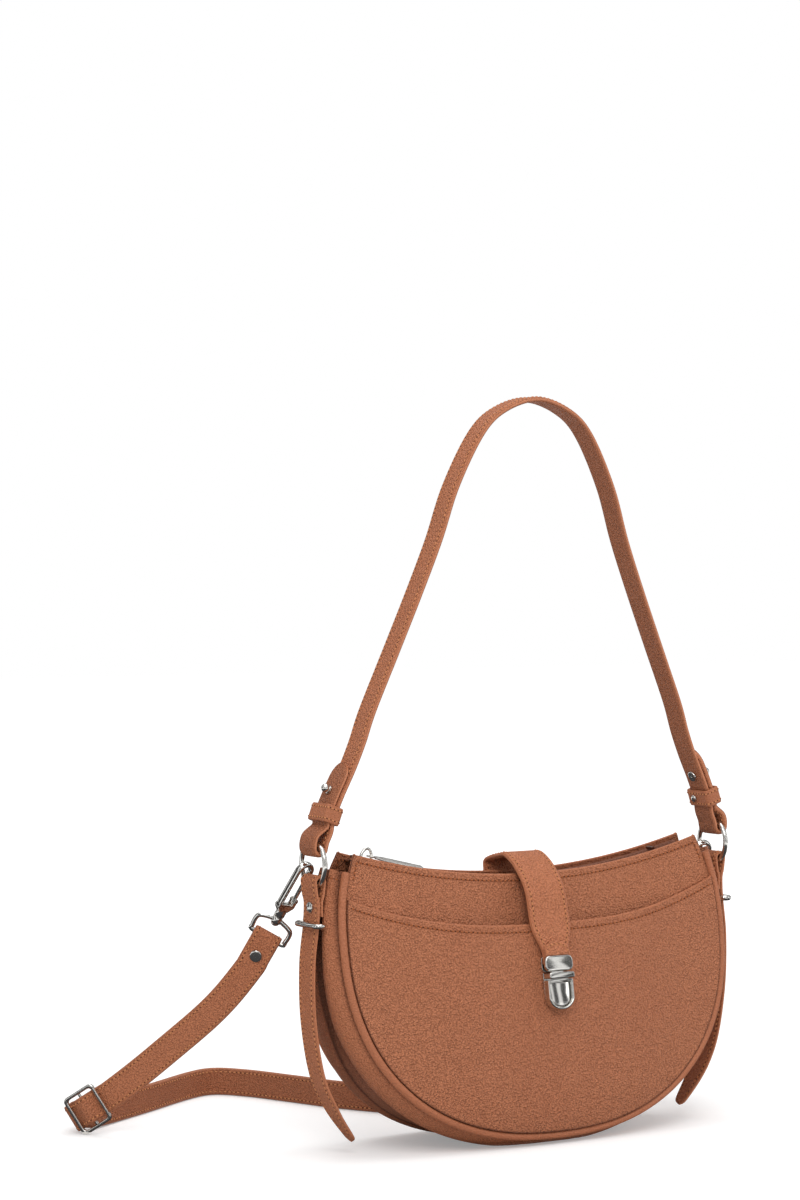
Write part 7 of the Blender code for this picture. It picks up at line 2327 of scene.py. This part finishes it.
def eye_wrap(eye, along, face):
    """Half circle round an eye's bar, from one face of the strap to the other."""
    radius = EYE_WIRE + GAP * 1.5 + STRAP_LEATHER / 2
    turns = np.linspace(-pi / 2, pi / 2, 7)[:, None]
    return eye - along * radius * np.cos(turns) + face * radius * np.sin(turns)


def at_slot(share, out):
    """Centre + along * slider length * share + away * strap leather * out."""
    return BUCKLE_CENTRE + BUCKLE_ALONG * BUCKLE_LENGTH * share + BUCKLE_AWAY * out * STRAP_LEATHER


def with_across(points, across):
    """Each point with the way across the strap there, as one row of six numbers."""
    points = np.atleast_2d(points)
    return np.column_stack([points, np.tile(unit(across), (len(points), 1))])


left_eye, left_along, left_side = strap_ends["left"]
right_eye, right_along, right_side = strap_ends["right"]
strap_back = unit(np.cross(left_side, left_along))
strap_back = strap_back * np.sign(strap_back[1])


def left_lap(shares, face):
    """Along the lap, opening a little where it reaches the eye's bar."""
    shares = np.array(shares)[:, None]
    open_up = np.maximum(0, 1 - shares / STRAP_LAP_SHARES[2]) * (EYE_WIRE + GAP)
    return left_eye + left_along * STRAP_LAP * shares + face * strap_back * (STRAP_LAYER + open_up)


def strap_course():
    """The whole strip's middle line and the way across it, from the lap's end to the slider's bar."""
    rows = [with_across(left_lap(STRAP_LAP_SHARES, 1), left_side)]
    rows.append(with_across(eye_wrap(left_eye, left_along, strap_back)[::-1], left_side))
    rows.append(with_across(left_lap(STRAP_LAP_SHARES[::-1], -1), left_side))
    start = left_eye + left_along * STRAP_LAP
    span = at_slot(*STRAP_WEAVE_SHARES[0]) - start
    for share, (part, *sag) in zip(STRAP_TURN_SHARES, STRAP_HANG_SHARES):
        point = start + span * part + np.linalg.norm(span) * np.array(sag)
        rows.append(with_across(point, left_side * (1 - share) - BUCKLE_DOWN * share))
    rows += [with_across(at_slot(share, out), -BUCKLE_DOWN) for share, out in STRAP_WEAVE_SHARES]
    first = smooth_line(np.vstack(rows), 16)
    first[:, 3:] *= -1

    rows = [with_across(at_slot(share, out), BUCKLE_DOWN) for share, out in STRAP_BEND_SHARES]
    floor_z = STRAP_WIDTH / 2 + STRAP_FLOOR_GAP
    for share, (x, y) in zip(STRAP_SETTLE_SHARES, STRAP_FLOOR_SHARES):
        standing = BUCKLE_DOWN * (1 - share) + np.array([0, 0, -share])
        rows.append(with_across(np.array([STRAP_REACH * x, STRAP_REACH * y, floor_z]), standing))
    for share, place in zip(STRAP_TWIST_SHARES, STRAP_CLIMB_SHARES):
        standing = right_side * share + np.array([0, 0, share - 1])
        rows.append(with_across(STRAP_REACH * np.array(place), standing))
    rows.append(with_across(right_eye + right_along * STRAP_LAP, right_side))
    double = smooth_line(np.vstack(rows), 18)
    double[:, 2] = np.maximum(double[:, 2], floor_z)
    way = unit(np.gradient(double[:, :3], axis=0))
    normal = unit(np.cross(way, double[:, 3:]))
    out_run = np.column_stack([double[:, :3] + normal * STRAP_LAYER, double[:, 3:]])
    home_run = np.column_stack([double[:, :3] - normal * STRAP_LAYER, double[:, 3:]])[::-1]
    face = unit(np.cross(-right_along, right_side))
    fold = smooth_line(with_across(eye_wrap(right_eye, right_along, face)[::-1], right_side), 9)
    hug = BUCKLE_BAR + GAP + STRAP_LEATHER / 2
    turns = np.linspace(radians(100), radians(-165), 9)[:, None]
    bar_centre = BUCKLE_CENTRE + BUCKLE_AWAY * BUCKLE_BAR_SET_BACK
    held = bar_centre + BUCKLE_ALONG * hug * np.cos(turns) + BUCKLE_AWAY * hug * np.sin(turns)
    hold = with_across(held, BUCKLE_DOWN)
    last = smooth_line(np.vstack([home_run[[-7, -1]], hold]), 9)[12:]
    return np.vstack([first, out_run[1:], fold, home_run[:-1], last])


def eased(rows, first, last, rounds=260):
    """Each point moves to (before + 2 * itself + after) / 4, again and again, between the two ends."""
    rows = rows.copy()
    for _ in range(rounds):
        part = rows[first:last]
        rows[first + 1:last - 1] = (part[:-2] + 2 * part[1:-1] + part[2:]) / 4
    return rows


course = stepped(strap_course(), 1.6 * MM)
hang_start = int(np.argmin(np.linalg.norm(course[:LAP_STEPS, :3] - left_lap([1.0], -1), axis=1)))
hang_end = int(np.argmin(np.linalg.norm(course[:HANG_STEPS, :3] - at_slot(*STRAP_WEAVE_SHARES[0]), axis=1)))
course = eased(course, hang_start, hang_end)
# The stretch lying on the floor takes painted shade through the seam number.
lying = smooth_step((LYING_Z - course[:, 2]) / LYING_FADE)[:, None]
strap(
    "crossbody_strap_leather", course[:, :3], course[:, 3:], STRAP_WIDTH, STRAP_LEATHER, STRAP_LOOK, "bag",
    "crossbody_strap", power=16, count=15, seam=LYING_SHADE * lying,
)
print("strap hangs between steps", hang_start, hang_end)
strap_seams = strap_rows(course[:, :3], course[:, 3:], STRAP_WIDTH, STRAP_LEATHER, STRAP_SEAM_INSET)
put_stitches("crossbody_stitching", strap_seams, "bag", pitch=3.3 * MM, length=2.3 * MM)
spot = left_eye + left_along * STRAP_LAP * STRAP_RIVET_SHARE
stand = STRAP_LAYER + STRAP_LEATHER / 2 + GAP
for name, way in (("front", -strap_back), ("back", strap_back)):
    rings = turned_rings(dome(STRAP_RIVET_RADIUS, STRAP_RIVET_HEAD, 0.4), spot + way * stand, way)
    metal("strap_rivet", Shape().grid(rings), "bag", side=name)
print("crossbody strap length", round(line_length(course), 4))
